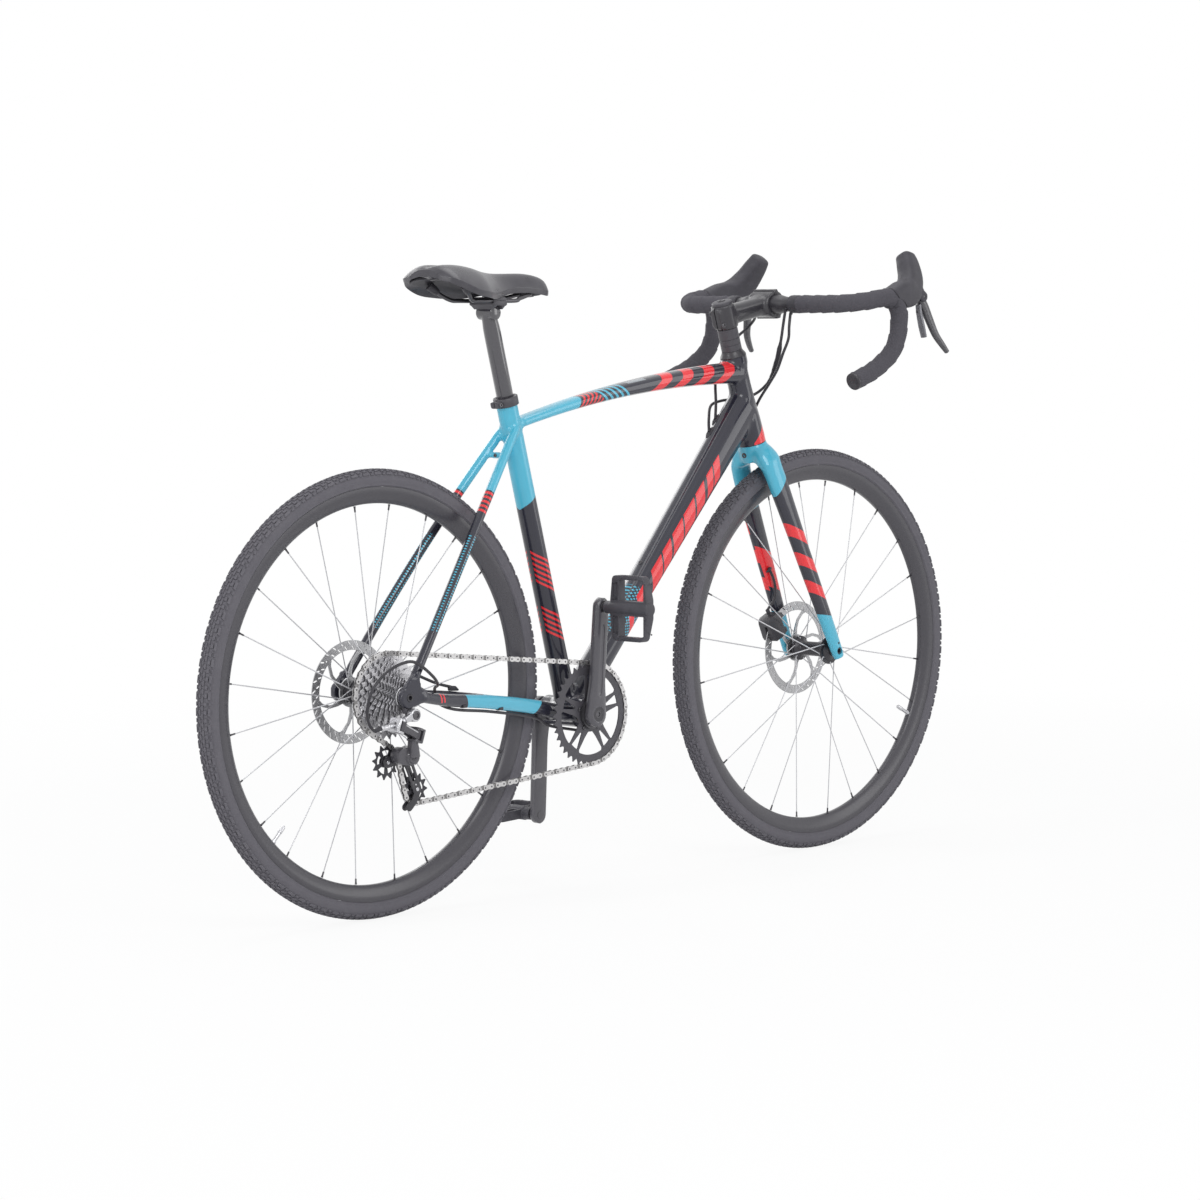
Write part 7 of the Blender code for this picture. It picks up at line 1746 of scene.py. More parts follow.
def make_stem():
    middle = on_steerer((STEM_BOTTOM + STEM_TOP) / 2)
    clamp = stack([(STEM_BOTTOM, 0.019), (STEM_BOTTOM + 0.0006, 0.0195), (STEM_TOP - 0.0006, 0.0195),
                   (STEM_TOP, 0.019)], STEER_FOOT, STEER_AXIS, 64, hint=Y)
    path = [lerp(middle, BAR_CENTRE, t) for t in [i / 12 for i in range(12)]]
    sections = []
    for i in range(12):
        t = i / 12
        if t < 0.75:
            sections.append((lerp(0.016, 0.0165, min(t / 0.35, 1)),
                             lerp(0.0188, 0.0163, smoothstep(t / 0.35))))
        else:
            flare = smoothstep((t - 0.75) / 0.18)
            sections.append((lerp(0.0172, 0.023, flare), lerp(0.0163, 0.02, flare)))
    arm = sweep(path, sections, 44, power=2.8)
    lug = sweep([middle - STEER_FORWARD * 0.01, middle - STEER_FORWARD * 0.0225],
                [(0.012, 0.0175), (0.011, 0.0165)], 40, power=5)
    barrel = cross_rod(BAR_CENTRE, CLAMP_HALF, CLAMP_OUTER, 64)
    stem = melted("stem_body", [clamp, arm, barrel, lug], 16)
    front = [(-CLEARANCE - 0.0004, -0.0325), (0.05, -0.0325), (0.05, 0.0325), (-CLEARANCE - 0.0004, 0.0325)]
    split = prism([(-0.034, -0.001), (-0.015, -0.001), (-0.015, 0.001), (-0.034, 0.001)], STEM_BOTTOM
                  - 0.01, STEM_TOP + 0.01, lambda u, v, w: on_steerer(w) + STEER_FORWARD * u + Y * v)
    ends = rod(on_steerer(STEM_TOP), on_steerer(STEM_TOP + 0.01), 0.03, 48)
    low = rod(on_steerer(STEM_BOTTOM - 0.01), on_steerer(STEM_BOTTOM), 0.03, 48)
    for tool in (prism(front, -0.05, 0.05, along_stem), cross_rod(BAR_CENTRE, 0.04, CLAMP_BORE, 56),
                 rod(on_steerer(STEM_BOTTOM - 0.01), on_steerer(STEM_TOP + 0.01), STEERER_BORE, 48), ends,
                 low, split):
        boolean(stem, cutter("stem_tool", tool))
    smooth_shading(stem, 45)
    finish_piece(stem, "stem", "steering", ["stem"])
    barrel = mesh_object("faceplate_cap", cross_rod(BAR_CENTRE, CLAMP_HALF, CLAMP_OUTER, 72))
    ears = joined(*[prism([(0.0003, s * 0.015), (0.0085, s * 0.015), (0.011, s * 0.019),
                           (0.0085, s * 0.0245), (0.0003, s * 0.0245)], -0.0225, 0.0225, along_stem)
                    for s in (-1, 1)])
    boolean(barrel, mesh_object("ears", ears), "UNION")
    for tool in (prism([(-0.05, -0.04), (0.0, -0.04), (0.0, 0.04), (-0.05, 0.04)], -0.05, 0.05,
                       along_stem), cross_rod(BAR_CENTRE, 0.04, CLAMP_BORE, 56),
                 prism([(0.0165, -0.01), (0.03, -0.01), (0.03, 0.01), (0.0165, 0.01)], -0.0125, 0.0125,
                       along_stem)):
        boolean(barrel, cutter("faceplate_tool", tool))
    bevelled(barrel, 0.0008, 2, 35)
    finish_piece(barrel, "stem", "steering", ["stem_faceplate"])
    bolts = [bolt(along_stem(0.0096, s * 0.0197, w), STEM_DIRECTION, 0.004, 0.0026) for s in (-1, 1)
             for w in (-0.0155, 0.0155)]
    for height in (0.01, 0.03):
        place = on_steerer(STEM_BOTTOM + height) - STEER_FORWARD * 0.0185
        bolts.append(bolt(place - Y * (0.0112 if height < 0.02 else -0.0112), -Y if height < 0.02 else Y,
                          0.004, 0.0022))
    bolts.append(bolt(on_steerer(STEM_TOP + 0.0058), STEER_AXIS, 0.0055, 0.0022))
    add_piece("stem_bolts", joined(*bolts), "dark_steel", "steering")


def make_headset():
    bore = STEERER_BORE
    cover = [(HEAD_TOP + CLEARANCE, bore), (HEAD_TOP + CLEARANCE, 0.0218), (HEAD_TOP + 0.0016, 0.022),
             (HEAD_TOP + 0.004, 0.0205), (HEAD_TOP + 0.0085, 0.0178), (COVER_TOP, 0.0172),
             (COVER_TOP, bore)]
    add_piece("headset_cone", turned(cover, STEER_FOOT, STEER_AXIS, 72, hint=Y), "black_alloy",
              "steering", ["headset_cover"])
    rings = []
    low = COVER_TOP + CLEARANCE
    for height in (0.01, 0.01, 0.018):
        top = min(low + height, STEM_BOTTOM - CLEARANCE)
        rings.append(turned([(low, bore), (low, 0.0168), (low + 0.0004, 0.0172), (top - 0.0005, 0.0172),
                             (top - 0.0001, 0.0168), (top - 0.0001, bore)], STEER_FOOT, STEER_AXIS, 64,
                            hint=Y))
        low = top + 0.0001
    add_piece("headset_spacer_rings", joined(*rings), "satin_black", "steering",
              ["headset_spacers"])
    cap = [(STEM_TOP + CLEARANCE, 0.017), (STEM_TOP + 0.004, 0.0172), (STEM_TOP + 0.0055, 0.016),
           (STEM_TOP + 0.0064, 0.012), (STEM_TOP + 0.0065, 0.007), (STEM_TOP + 0.0054, 0.0064),
           (STEM_TOP + 0.0054, 0.001)]
    add_piece("stem_cap", stack(cap, STEER_FOOT, STEER_AXIS, 56, hint=Y), "satin_black",
              "steering", ["stem_top_cap"])


def tape_material():
    """Cork-like bar tape: soft, with fine pores."""
    shade = Shade("bar_tape", 0.8, specular=0.25)
    pores, grain = shade.cells(900), shade.noise(500, 3.0)
    shade.colour(shade.mix(grain.rise(0.3, 0.75), (0.074, 0.0705, 0.0825), (0.102, 0.0975, 0.112)))
    shade.vary("Roughness", grain, 0.7, 0.88)
    return shade.bump(pores.rise(0.0, 0.5), 0.00018, 0.8).material


def lever_material():
    """Moulded carbon-fibre composite: faint short fibres under a thin gloss."""
    shade = Shade("lever_composite", 0.34, coat=0.4, coat_roughness=0.12)
    fibre = shade.noise(420, 4.0, 0.65, stretch=(0.35, 1.6, 1.0))
    shade.colour(shade.mix(fibre.rise(0.42, 0.62), (0.038, 0.0365, 0.043), (0.09, 0.087, 0.098)))
    shade.vary("Roughness", fibre, 0.26, 0.46)
    return shade.bump(fibre, 0.00004, 0.35).material


MATERIALS["tape"] = tape_material()
MATERIALS["hood"] = rubber("hood_rubber", (0.04, 0.038, 0.046), 0.56, 1300, 0.00005, 1.35)
MATERIALS["lever"] = lever_material()
MATERIALS["paddle"] = alloy("paddle_grey", (0.155, 0.155, 0.17), 0.34, metallic=0.4, scale=1200)
MATERIALS["stem"] = alloy("stem_black", (0.025, 0.0235, 0.029), 0.34, scale=1500, relief=0.00002, coat=0.2)
make_handlebar()
make_headset()
make_stem()
for hand, hand_sign in SIDES.items():
    make_tape(hand, hand_sign)
    make_hood(hand, hand_sign)
    make_lever(hand, hand_sign)
make_paddle()


# Seatpost and saddle

COLLAR_BOTTOM, COLLAR_TOP = SEAT_TUBE_LENGTH - 0.0122, SEAT_TUBE_LENGTH + 0.0018
SADDLE_REAR = TILT_AXIS.x - 0.1365
SADDLE_LENGTH, SADDLE_WIDTH, SADDLE_THICKNESS = 0.262, 0.144, 0.02
SADDLE_TOP = RAIL_HEIGHT + 0.043
RAIL_RADIUS, RAIL_BORE = 0.0034, 0.0037
# Share of the length from the rear, half width as a share of the width, height over the nose, and the
# hang of the edge
SADDLE_STATIONS = ((0.0, 0.23, 0.004, 0.01), (0.03, 0.4, 0.0105, 0.019), (0.1, 0.48, 0.013, 0.03),
                   (0.2, 0.5, 0.012, 0.0385), (0.3, 0.47, 0.0085, 0.0385), (0.4, 0.37, 0.0035, 0.0355),
                   (0.5, 0.255, 0.0005, 0.03), (0.62, 0.17, 0.0, 0.024), (0.76, 0.142, 0.0, 0.022),
                   (0.88, 0.135, -0.003, 0.021), (0.96, 0.115, -0.0095, 0.017), (1.0, 0.06, -0.02, 0.008))


def make_seat_collar():
    ring = [(COLLAR_BOTTOM, 0.0171), (COLLAR_BOTTOM, 0.0193), (COLLAR_BOTTOM + 0.0005, 0.0197),
            (COLLAR_TOP - 0.0005, 0.0197), (COLLAR_TOP, 0.0193), (COLLAR_TOP, SEAT_BORE),
            (SEAT_TUBE_LENGTH + 0.0003, SEAT_BORE), (SEAT_TUBE_LENGTH + 0.0003, 0.0171)]
    collar = mesh_object("collar_ring", turned(ring, BB, SEAT_AXIS, 72, hint=Y), sharp=35)
    middle = on_seat_tube((COLLAR_BOTTOM + COLLAR_TOP) / 2)
    back = (Vector((-1, 0, 0)) - SEAT_AXIS * SEAT_AXIS.dot(Vector((-1, 0, 0)))).normalized()
    lug = sweep([middle + back * 0.0178, middle + back * 0.0262], [(0.0098, 0.0056), (0.0086, 0.005)], 36,
                power=4.5)
    boolean(collar, mesh_object("lug", lug), "UNION")
    split = prism([(0.014, -0.0007), (0.05, -0.0007), (0.05, 0.0007), (0.014, 0.0007)], COLLAR_BOTTOM
                  - 0.01, COLLAR_TOP + 0.01, lambda u, v, w: on_seat_tube(w) + back * u + Y * v)
    boolean(collar, mesh_object("split", split))
    bevelled(collar, 0.0004, 2, 40)
    finish_piece(collar, "satin_black", "frame", ["seat_collar"])
    place = middle + back * 0.0218
    add_piece("collar_bolt", joined(bolt(place - Y * 0.009, -Y, 0.0034, 0.0024),
                                    stack([(0.0086, 0.003), (0.01, 0.003), (0.0104, 0.0024)], place, Y,
                                          24)), "dark_steel", "frame")


def make_seatpost():
    low, top = SEAT_TUBE_LENGTH - 0.11, SEAT_TUBE_LENGTH + 0.1385
    post = stack([(low, 0.013), (low + 0.0008, 0.0136), (top - 0.034, 0.0136), (top - 0.022, 0.0133),
                  (top - 0.012, 0.0124), (top - 0.002, 0.0118)], BB, SEAT_AXIS, 64, hint=Y)
    head = stack([(-0.017, 0.0102), (-0.0162, 0.0113), (-0.0148, 0.0115), (0.0148, 0.0115),
                  (0.0162, 0.0113), (0.017, 0.0102)], TILT_AXIS, Y, 64)
    post = mesh_object("seatpost_tube", post, sharp=None)
    boolean(post, mesh_object("head", head), "UNION")
    bevelled(post, 0.0012, 3, 40)
    finish_piece(post, "post", "seatpost", ["seatpost"])


def rail_path():
    x, z = TILT_AXIS.x, RAIL_HEIGHT
    half = [Vector((x - 0.085, 0.038, z + 0.02)), Vector((x - 0.072, 0.032, z + 0.009)),
            Vector((x - 0.058, 0.024, z + 0.001)), Vector((x - 0.04, 0.022, z)),
            Vector((x + 0.034, 0.022, z)), Vector((x + 0.05, 0.019, z + 0.0035)),
            Vector((x + 0.078, 0.012, z + 0.0095)), Vector((x + 0.086, 0.005, z + 0.011))]
    return half, half + [mirror_y(p) for p in reversed(half)]


def make_saddle_rails():
    _, path = rail_path()
    add_piece("saddle_rail_rods", tube(curve_through(path, 6), RAIL_RADIUS, 20), "rail",
              "saddle", ["saddle_rails"], sharp=40)


def make_saddle_clamp():
    """Cradle under the rails and a cap over them, drawn together by two bolts before and behind the post."""
    middle = Vector((TILT_AXIS.x, 0, RAIL_HEIGHT))
    bottom, half = 0.0024 - 0.0185, 0.014
    lower = [(-half, -0.007), (-half + 0.0018, -0.0086), (-0.01, bottom + 0.0012), (-0.0088, bottom),
             (0.0088, bottom), (0.01, bottom + 0.0012), (half - 0.0018, -0.0086), (half, -0.007),
             (half, -0.0006), (-half, -0.0006)]
    upper = [(-half, 0.0006), (half, 0.0006), (half, 0.003), (half * 0.62, 0.0058),
             (-half * 0.62, 0.0058), (-half, 0.003)]
    clamp = mesh_object("clamp_cradle", prism(lower, -0.0275, 0.0275, side_view(middle)), sharp=None)
    cap = mesh_object("clamp_cap", prism(upper, -0.0278, 0.0278, side_view(middle)), sharp=None)
    for sign in (-1, 1):
        corner = [(sign * 0.03, bottom - 0.004), (sign * 0.03, -0.0068), (sign * 0.0262, -0.0068),
                  (sign * 0.015, bottom - 0.004)]
        wedge = prism(corner, -0.03, 0.03, lambda u, v, w: middle + Vector((w, u, v)))
        boolean(clamp, cutter("corner", wedge))
    _, path = rail_path()
    fine = curve_through(path, 6)
    for piece in (clamp, cap):
        boolean(piece, cutter("grooves", tube(fine, RAIL_BORE, 20)))
    boolean(clamp, cutter("recess", cross_rod(TILT_AXIS, 0.05, 0.0118, 56)))
    for piece, nodes in ((clamp, ["saddle_clamp"]), (cap, [])):
        bevelled(piece, 0.0009, 2, 40)
        finish_piece(piece, "satin_black", "saddle", nodes)
    bolts = []
    for u in (-0.0085, 0.0085):
        bolts.append(bolt(middle + Vector((u, 0, 0.0056)), Z, 0.0034, 0.0026))
        bolts.append(rod(middle + Vector((u, 0, -0.004)), middle + Vector((u, 0, 0.0058)), 0.0022, 16))
    add_piece("clamp_bolts", joined(*bolts), "dark_steel", "saddle")


def stations_between(table, count):
    """Rows of a table at steps of its first column that are finer at both ends, by a smooth interpolation."""
    rows = []
    last = len(table) - 1
    for i in range(count + 1):
        share = 0.5 - 0.5 * math.cos(math.pi * i / count)
        k = max(j for j in range(last + 1) if table[j][0] <= share + 1e-9)
        k = min(k, last - 1)
        a, b, c, d = (table[min(max(k + j, 0), last)] for j in (-1, 0, 1, 2))
        t = (share - b[0]) / (c[0] - b[0])
        row = [share]
        for n in (1, 2, 3):
            slope_b = (c[n] - a[n]) / max(c[0] - a[0], 1e-6) * (c[0] - b[0])
            slope_c = (d[n] - b[n]) / max(d[0] - b[0], 1e-6) * (c[0] - b[0])
            row.append((2 * t ** 3 - 3 * t ** 2 + 1) * b[n] + (t ** 3 - 2 * t ** 2 + t) * slope_b
                       + (-2 * t ** 3 + 3 * t ** 2) * c[n] + (t ** 3 - t ** 2) * slope_c)
        rows.append(row)
    return rows


def saddle_height(share, across_share, rise, hang):
    """Top of the padded cover: crowned, with a channel along the middle and two full pads at the rear."""
    channel = 0.0068 * max(0.0, 1 - (max(share - 0.06, 0.0) / 0.72) ** 2) * smoothstep(share / 0.06)
    groove = channel * math.exp(-(across_share / 0.13) ** 2)
    from_rear, from_side = (share - 0.2) / 0.14, (abs(across_share) - 0.45) / 0.22
    pads = 0.0016 * math.exp(-from_rear ** 2) * math.exp(-from_side ** 2)
    return SADDLE_TOP + rise - hang * abs(across_share) ** 2.6 - groove + pads


def make_saddle_cover():
    """Closed padded cover, drawn in where it folds under the shell's edge."""
    rings = []
    count = 34
    for share, half_share, rise, hang in stations_between(SADDLE_STATIONS, 54):
        x = SADDLE_REAR + share * SADDLE_LENGTH
        half = max(half_share, 0.05) * SADDLE_WIDTH
        end = min(1.0, share / 0.05, (1 - share) / 0.04)
        thick = SADDLE_THICKNESS * lerp(0.45, 1.0, math.sqrt(max(end, 0.0)))
        upper, lower = [], []
        for k in range(count + 1):
            a = math.cos(math.pi * k / count)
            a = math.copysign(abs(a) ** 0.86, a)
            height = saddle_height(share, a, rise, hang)
            edge = abs(a) ** 8
            upper.append(Vector((x, half * a * (1 - 0.012 * edge), height)))
            lower.append(Vector((x, half * a * (0.985 - 0.06 * edge), height - thick * (1 - 0.38 * abs(a))
                                 * (1 - 0.25 * edge))))
        rings.append(upper + lower[-2:0:-1])
    first = [lerp(p, sum(rings[0], Vector()) / len(rings[0]), 0.35) - X * 0.0006 for p in rings[0]]
    final = [lerp(p, sum(rings[-1], Vector()) / len(rings[-1]), 0.4) for p in rings[-1]]
    for ring in (first, final):
        for p in ring:
            p.x = min(max(p.x, SADDLE_REAR), SADDLE_REAR + SADDLE_LENGTH)
    rings[0] = [p + X * 0.001 for p in rings[0]]
    rings[-1] = [p - X * 0.0012 for p in rings[-1]]
    cover = mesh_object("saddle_padding", skin([first] + rings + [final]), sharp=None)
    subdivided(cover, 1)
    finish_piece(cover, "leather", "saddle", ["saddle_cover"])


def make_saddle_shell():
    rings = []
    rows = [row for row in stations_between(SADDLE_STATIONS, 40) if 0.03 <= row[0] <= 0.955]
    for share, half_share, rise, hang in rows:
        x = SADDLE_REAR + share * SADDLE_LENGTH
        upper = []
        for k in range(21):
            a = 0.74 * (1 - k / 10)
            top = SADDLE_TOP + rise - hang * abs(a) ** 2.6
            height = top - SADDLE_THICKNESS * (1 - 0.36 * abs(a)) - 0.0004
            upper.append(Vector((x, half_share * SADDLE_WIDTH * a, height)))
        rings.append(upper + [p - Z * 0.0028 for p in reversed(upper)])
    shell = mesh_object("saddle_base", skin(rings), sharp=None)
    _, path = rail_path()
    ahead = directions(path)
    extra = []
    for end, outward in ((0, -ahead[0]), (-1, ahead[-1])):
        start = path[end] - outward * 0.012
        extra.append(sweep([start, path[end] - outward * 0.004, path[end] + outward * 0.006],
                           [(0.0052, 0.0052), (0.0066, 0.0066), (0.0072, 0.0072)], 24))
    nose = (path[len(path) // 2 - 1] + path[len(path) // 2]) / 2
    extra.append(sweep([nose - X * 0.008, nose, nose + X * 0.008],
                       [(0.0085, 0.0052), (0.0092, 0.0058), (0.0082, 0.005)], 28, power=4))
    extra.append(sweep([nose, nose + Z * 0.0075], [(0.0065, 0.0055), (0.011, 0.01)], 24, power=3))
    for part in extra:
        boolean(shell, mesh_object("socket", part), "UNION")
    boolean(shell, cutter("rail_holes", tube(curve_through(path, 6), RAIL_BORE, 20)))
    bevelled(shell, 0.0006, 2, 40)
    finish_piece(shell, "plastic", "saddle", ["saddle_shell"])


def leather_material():
    """Smooth synthetic leather with a fine pebble and a soft sheen."""
    shade = Shade("saddle_leather", 0.32, specular=0.5)
    pebble, patch = shade.cells(2600), shade.noise(55, 3.0)
    shade.colour(shade.mix(patch.rise(0.3, 0.7), (0.05, 0.0475, 0.057), (0.068, 0.065, 0.076)))
    shade.vary("Roughness", patch, 0.24, 0.34)
    return shade.bump(pebble.rise(0.0, 0.6), 0.00005, 0.35).material


MATERIALS["post"] = alloy("post_gloss", (0.042, 0.04, 0.048), 0.16, scale=1800, relief=0.000005, coat=1.0)
MATERIALS["rail"] = alloy("rail_dark", (0.075, 0.073, 0.08), 0.3, metallic=0.8, scale=1500)
MATERIALS["leather"] = leather_material()
make_seat_collar()
make_seatpost()
make_saddle_rails()
make_saddle_clamp()
make_saddle_cover()
make_saddle_shell()


# Brakes and hoses

HOSE_RADIUS = 0.0024
# In-line adjuster: how far above the head tube's top it starts, its length, and (share of the length, size
# against the hose)
ADJUSTER_TOP, ADJUSTER_LENGTH = 0.023, 0.066
ADJUSTER = ((0.0, 1.3), (0.15, 1.75), (0.45, 2.0), (0.75, 1.75), (0.9, 1.3))


def caliper_place(axle, rotor_offset, angle, back_angle):
    reach = ROTOR_RADIUS - 0.0165 * 0.45
    middle = axle + Vector((reach * math.cos(angle), rotor_offset, reach * math.sin(angle)))
    outward = Vector((math.cos(back_angle), 0, math.sin(back_angle)))
    tangent = outward.cross(Y)
    return lambda u, v, w: middle + tangent * u + outward * v + Y * w


FRONT_PLACE = caliper_place(FRONT_AXLE, ROTOR_OFFSETS["front"], math.radians(148), math.radians(204.5))
REAR_PLACE = caliper_place(REAR_AXLE, ROTOR_OFFSETS["rear"], math.radians(24), math.radians(90))


def make_caliper(end, axle, place, foot, body):
    """Two-piece caliper that straddles the rotor, with its fixing feet, piston cap and bleed screw."""
    half, depth = 0.022, 0.015
    outline = [(-half * 0.8, -foot), (-half * 0.45, -foot), (-half * 0.4, -foot + 0.005),
               (half * 0.4, -foot + 0.005), (half * 0.45, -foot), (half * 0.8, -foot),
               (half, -depth * 0.6), (half, depth * 0.5), (half * 0.86, depth * 0.86),
               (half * 0.6, depth), (-half * 0.6, depth), (-half * 0.86, depth * 0.86),
               (-half, depth * 0.5), (-half, -depth * 0.6)]
    caliper = mesh_object(end + "_caliper_body", prism(outline, -0.0095, 0.0148, place), sharp=None)
    rotor = axle + ROTOR_OFFSETS[end] * Y
    tools = [cross_rod(rotor, 0.0018, ROTOR_RADIUS + 0.0018, 96),
             prism([(-0.0085, 0.001), (0.0085, 0.001), (0.0085, 0.03), (-0.0085, 0.03)], -0.003, 0.003,
                   place), prism([(-0.03, 0.0095), (-0.0125, 0.03), (-0.04, 0.03)], 0.006, 0.02, place)]
    for tool in tools:
        boolean(caliper, cutter("caliper_tool", tool))
    cap = stack([(0.01, 0.0112), (0.0144, 0.0112), (0.015, 0.0104)], place(0, -0.001, 0), Y, 40)
    boolean(caliper, mesh_object("cap", cap), "UNION")
    bevelled(caliper, 0.0009, 2, 35)
    finish_piece(caliper, "caliper", body, [end + "_caliper"])
    out = (place(0, 1, 0) - place(0, 0, 0)).normalized()
    tangent = (place(1, 0, 0) - place(0, 0, 0)).normalized()
    bits = [bolt(place(u, -foot + 0.0045, -0.0055), out, 0.003, 0.0026)
            for u in (-half * 0.62, half * 0.62)]
    bits.append(bolt(place(half - 0.0012, 0.005, 0.002), tangent, 0.0024, 0.0022))
    bits.append(bolt(place(0.0, -0.001, 0.0149), Y, 0.003, 0.0001, socket=False))
    add_piece(end + "_caliper_bolts", joined(*bits), "silver", body)
    add_piece(end + "_pads", joined(*[prism([(-0.008, -0.0085), (0.008, -0.0085), (0.008, 0.0105),
                                             (-0.008, 0.0105)], s * 0.00118, s * 0.0027, place)
                                      for s in (-1, 1)]), "dark_steel", body)


def tape_end(turn, sign):
    out = BAR_RADIUS + HOSE_RADIUS + 0.0012
    u, v = out * math.cos(turn), out * math.sin(turn)
    return [bar_point(u, v, sign * (TAPE_START - inward)) for inward in (0.0012, 0.0026, 0.004)]


def by_head(x, y, z):
    return on_steerer(HEAD_TOP) + Vector((x, y, z))


def by_front_axle(x, y, z):
    return FRONT_AXLE + Vector((x, y, z))


def by_rear_axle(x, y, z):
    return REAR_AXLE + Vector((x, y, z))


def hose_routes():
    leg = fork_leg_top(1)
    left, right = chainstay_corners(1), chainstay_corners(-1)
    under = CHAINSTAY_HEIGHT * 0.55 + HOSE_RADIUS + 0.001
    adjuster = BARREL_FOOT + BARREL_AXIS * 0.03
    return {"shift_housing_front": [*tape_end(math.radians(215), -1), by_head(0.0688, -0.051, 0.0512),
                                    by_head(0.0671, -0.047, 0.0232), by_head(0.0763, -0.0285, -0.0158),
                                    by_head(0.0838, -0.007, -0.0428), by_head(0.0703, 0.013, -0.0648),
                                    by_head(0.0423, 0.031, -0.0728), by_head(0.0073, 0.033, -0.0753),
                                    by_head(-0.0247, 0.028, -0.0828), by_head(-0.0432, 0.016, -0.1038),
                                    above_down_tube(0.868, 0.006, HOSE_RADIUS)],
            "rear_brake_hose_front": [*tape_end(math.radians(335), 1), by_head(0.1013, 0.04, 0.0672),
                                      by_head(0.0703, 0.028, 0.0482), by_head(0.0463, 0.032, 0.0312),
                                      by_head(0.0203, 0.037, -0.0008), by_head(-0.0017, 0.036, -0.0278),
                                      by_head(-0.0147, 0.027, -0.0498), by_head(-0.0222, 0.019, -0.0788),
                                      above_down_tube(0.912, 0.009, HOSE_RADIUS)],
            "front_brake_hose": [*tape_end(math.radians(270), -1), by_head(0.0773, -0.057, 0.0492),
                                 by_head(0.0753, -0.057, 0.0282), by_head(0.0693, -0.05, 0.0032),
                                 by_head(0.0659, -0.04, -0.024), by_head(0.0643, -0.024, -0.0468),
                                 by_head(0.0593, -0.004, -0.0768), by_head(0.0643, 0.019, -0.1128),
                                 leg + Vector((0.017, 0.001, 0.056)),
                                 leg + Vector((0.0205, 0.0065, 0.028)),
                                 leg + Vector((0.0185, 0.008, 0.004))],
            "front_brake_hose_lower": [by_front_axle(-0.0725, 0.0357, 0.142),
                                       by_front_axle(-0.0635, 0.0332, 0.124),
                                       by_front_axle(-0.058, 0.033, 0.103),
                                       by_front_axle(-0.0605, 0.035, 0.085),
                                       FRONT_PLACE(-0.032, -0.006, 0.003),
                                       FRONT_PLACE(-0.0229, -0.006, 0.003)],
            "rear_brake_hose": [REAR_PLACE(-0.0226, 0.0, 0.005), REAR_PLACE(-0.027, 0.0, 0.005),
                                REAR_PLACE(-0.047, -0.002, 0.005),
                                left[2] + Vector((-0.025, 0.001, 0.026)),
                                left[2] + Vector((0.012, -0.003, CHAINSTAY_HEIGHT * 0.55 + HOSE_RADIUS
                                                  + 0.0015))],
            "shift_housing": [BB + Vector((-0.004, -0.024, -0.024 - HOSE_RADIUS - 0.002)), right[4]
                              + Vector((-0.02, 0.006, -CHAINSTAY_HEIGHT * 0.65 - 0.006)), right[3]
                              + Vector((0, 0, -under - 0.002)), right[2] + Vector((0, 0.001, -under)),
                              right[1] + Vector((0.014, 0.003, -under)), right[1]
                              + Vector((-0.014, 0.0125, -0.002)), right[1]
                              + Vector((-0.023, 0.0085, 0.019)), by_rear_axle(0.0675, -0.071, 0.015),
                              by_rear_axle(0.0465, -0.081, 0.0305), by_rear_axle(0.0065, -0.091, 0.0525),
                              by_rear_axle(-0.0205, -0.093, 0.056), by_rear_axle(-0.0575, -0.092, 0.044),
                              by_rear_axle(-0.0845, -0.09, 0.019), by_rear_axle(-0.0915, -0.086, -0.008),
                              by_rear_axle(-0.0845, -0.08, -0.03), adjuster + BARREL_AXIS * 0.014,
                              adjuster + BARREL_AXIS * 0.006, adjuster + BARREL_AXIS * 0.0006]}


def make_hoses():
    for name, points in hose_routes().items():
        path = curve_through(points, 7)
        radii = [(HOSE_RADIUS, HOSE_RADIUS)] * len(path)
        if name == "shift_housing_front":
            top = on_steerer(HEAD_TOP).z + ADJUSTER_TOP
            for i, point in enumerate(path):
                passed = [size for at, size in ADJUSTER if at <= (top - point.z) / ADJUSTER_LENGTH < 1]
                radii[i] = (HOSE_RADIUS * (passed + [1.0])[max(len(passed) - 1, 0)],) * 2
        obj = mesh_object(name + "_line", skin(carried_rings(path, radii, 18)), sharp=60)
        obj.data.materials.append(MATERIALS["hose"])
        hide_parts(name)
        if name.endswith("_front"):
            tuple(by_head(0.045, 0, 0.035))
            tuple(by_head(-0.03, 0, -0.085))
            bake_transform(obj)
        else:
            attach(obj, "steering" if name.startswith("front") else "frame")


def collar_on(path, place, length, radius):
    """Small turned fitting round a hose at a place along it."""
    ahead = (path[min(place + 1, len(path) - 1)] - path[max(place - 1, 0)]).normalized()
    profile = [(-length / 2, 0.0021), (-length / 2, radius * 0.85), (-length / 2 + 0.0006, radius),
               (length / 2 - 0.0006, radius), (length / 2, radius * 0.85), (length / 2, 0.0021)]
    return turned(profile, path[place], ahead, 28, hint=Y if abs(ahead.y) < 0.9 else Z)


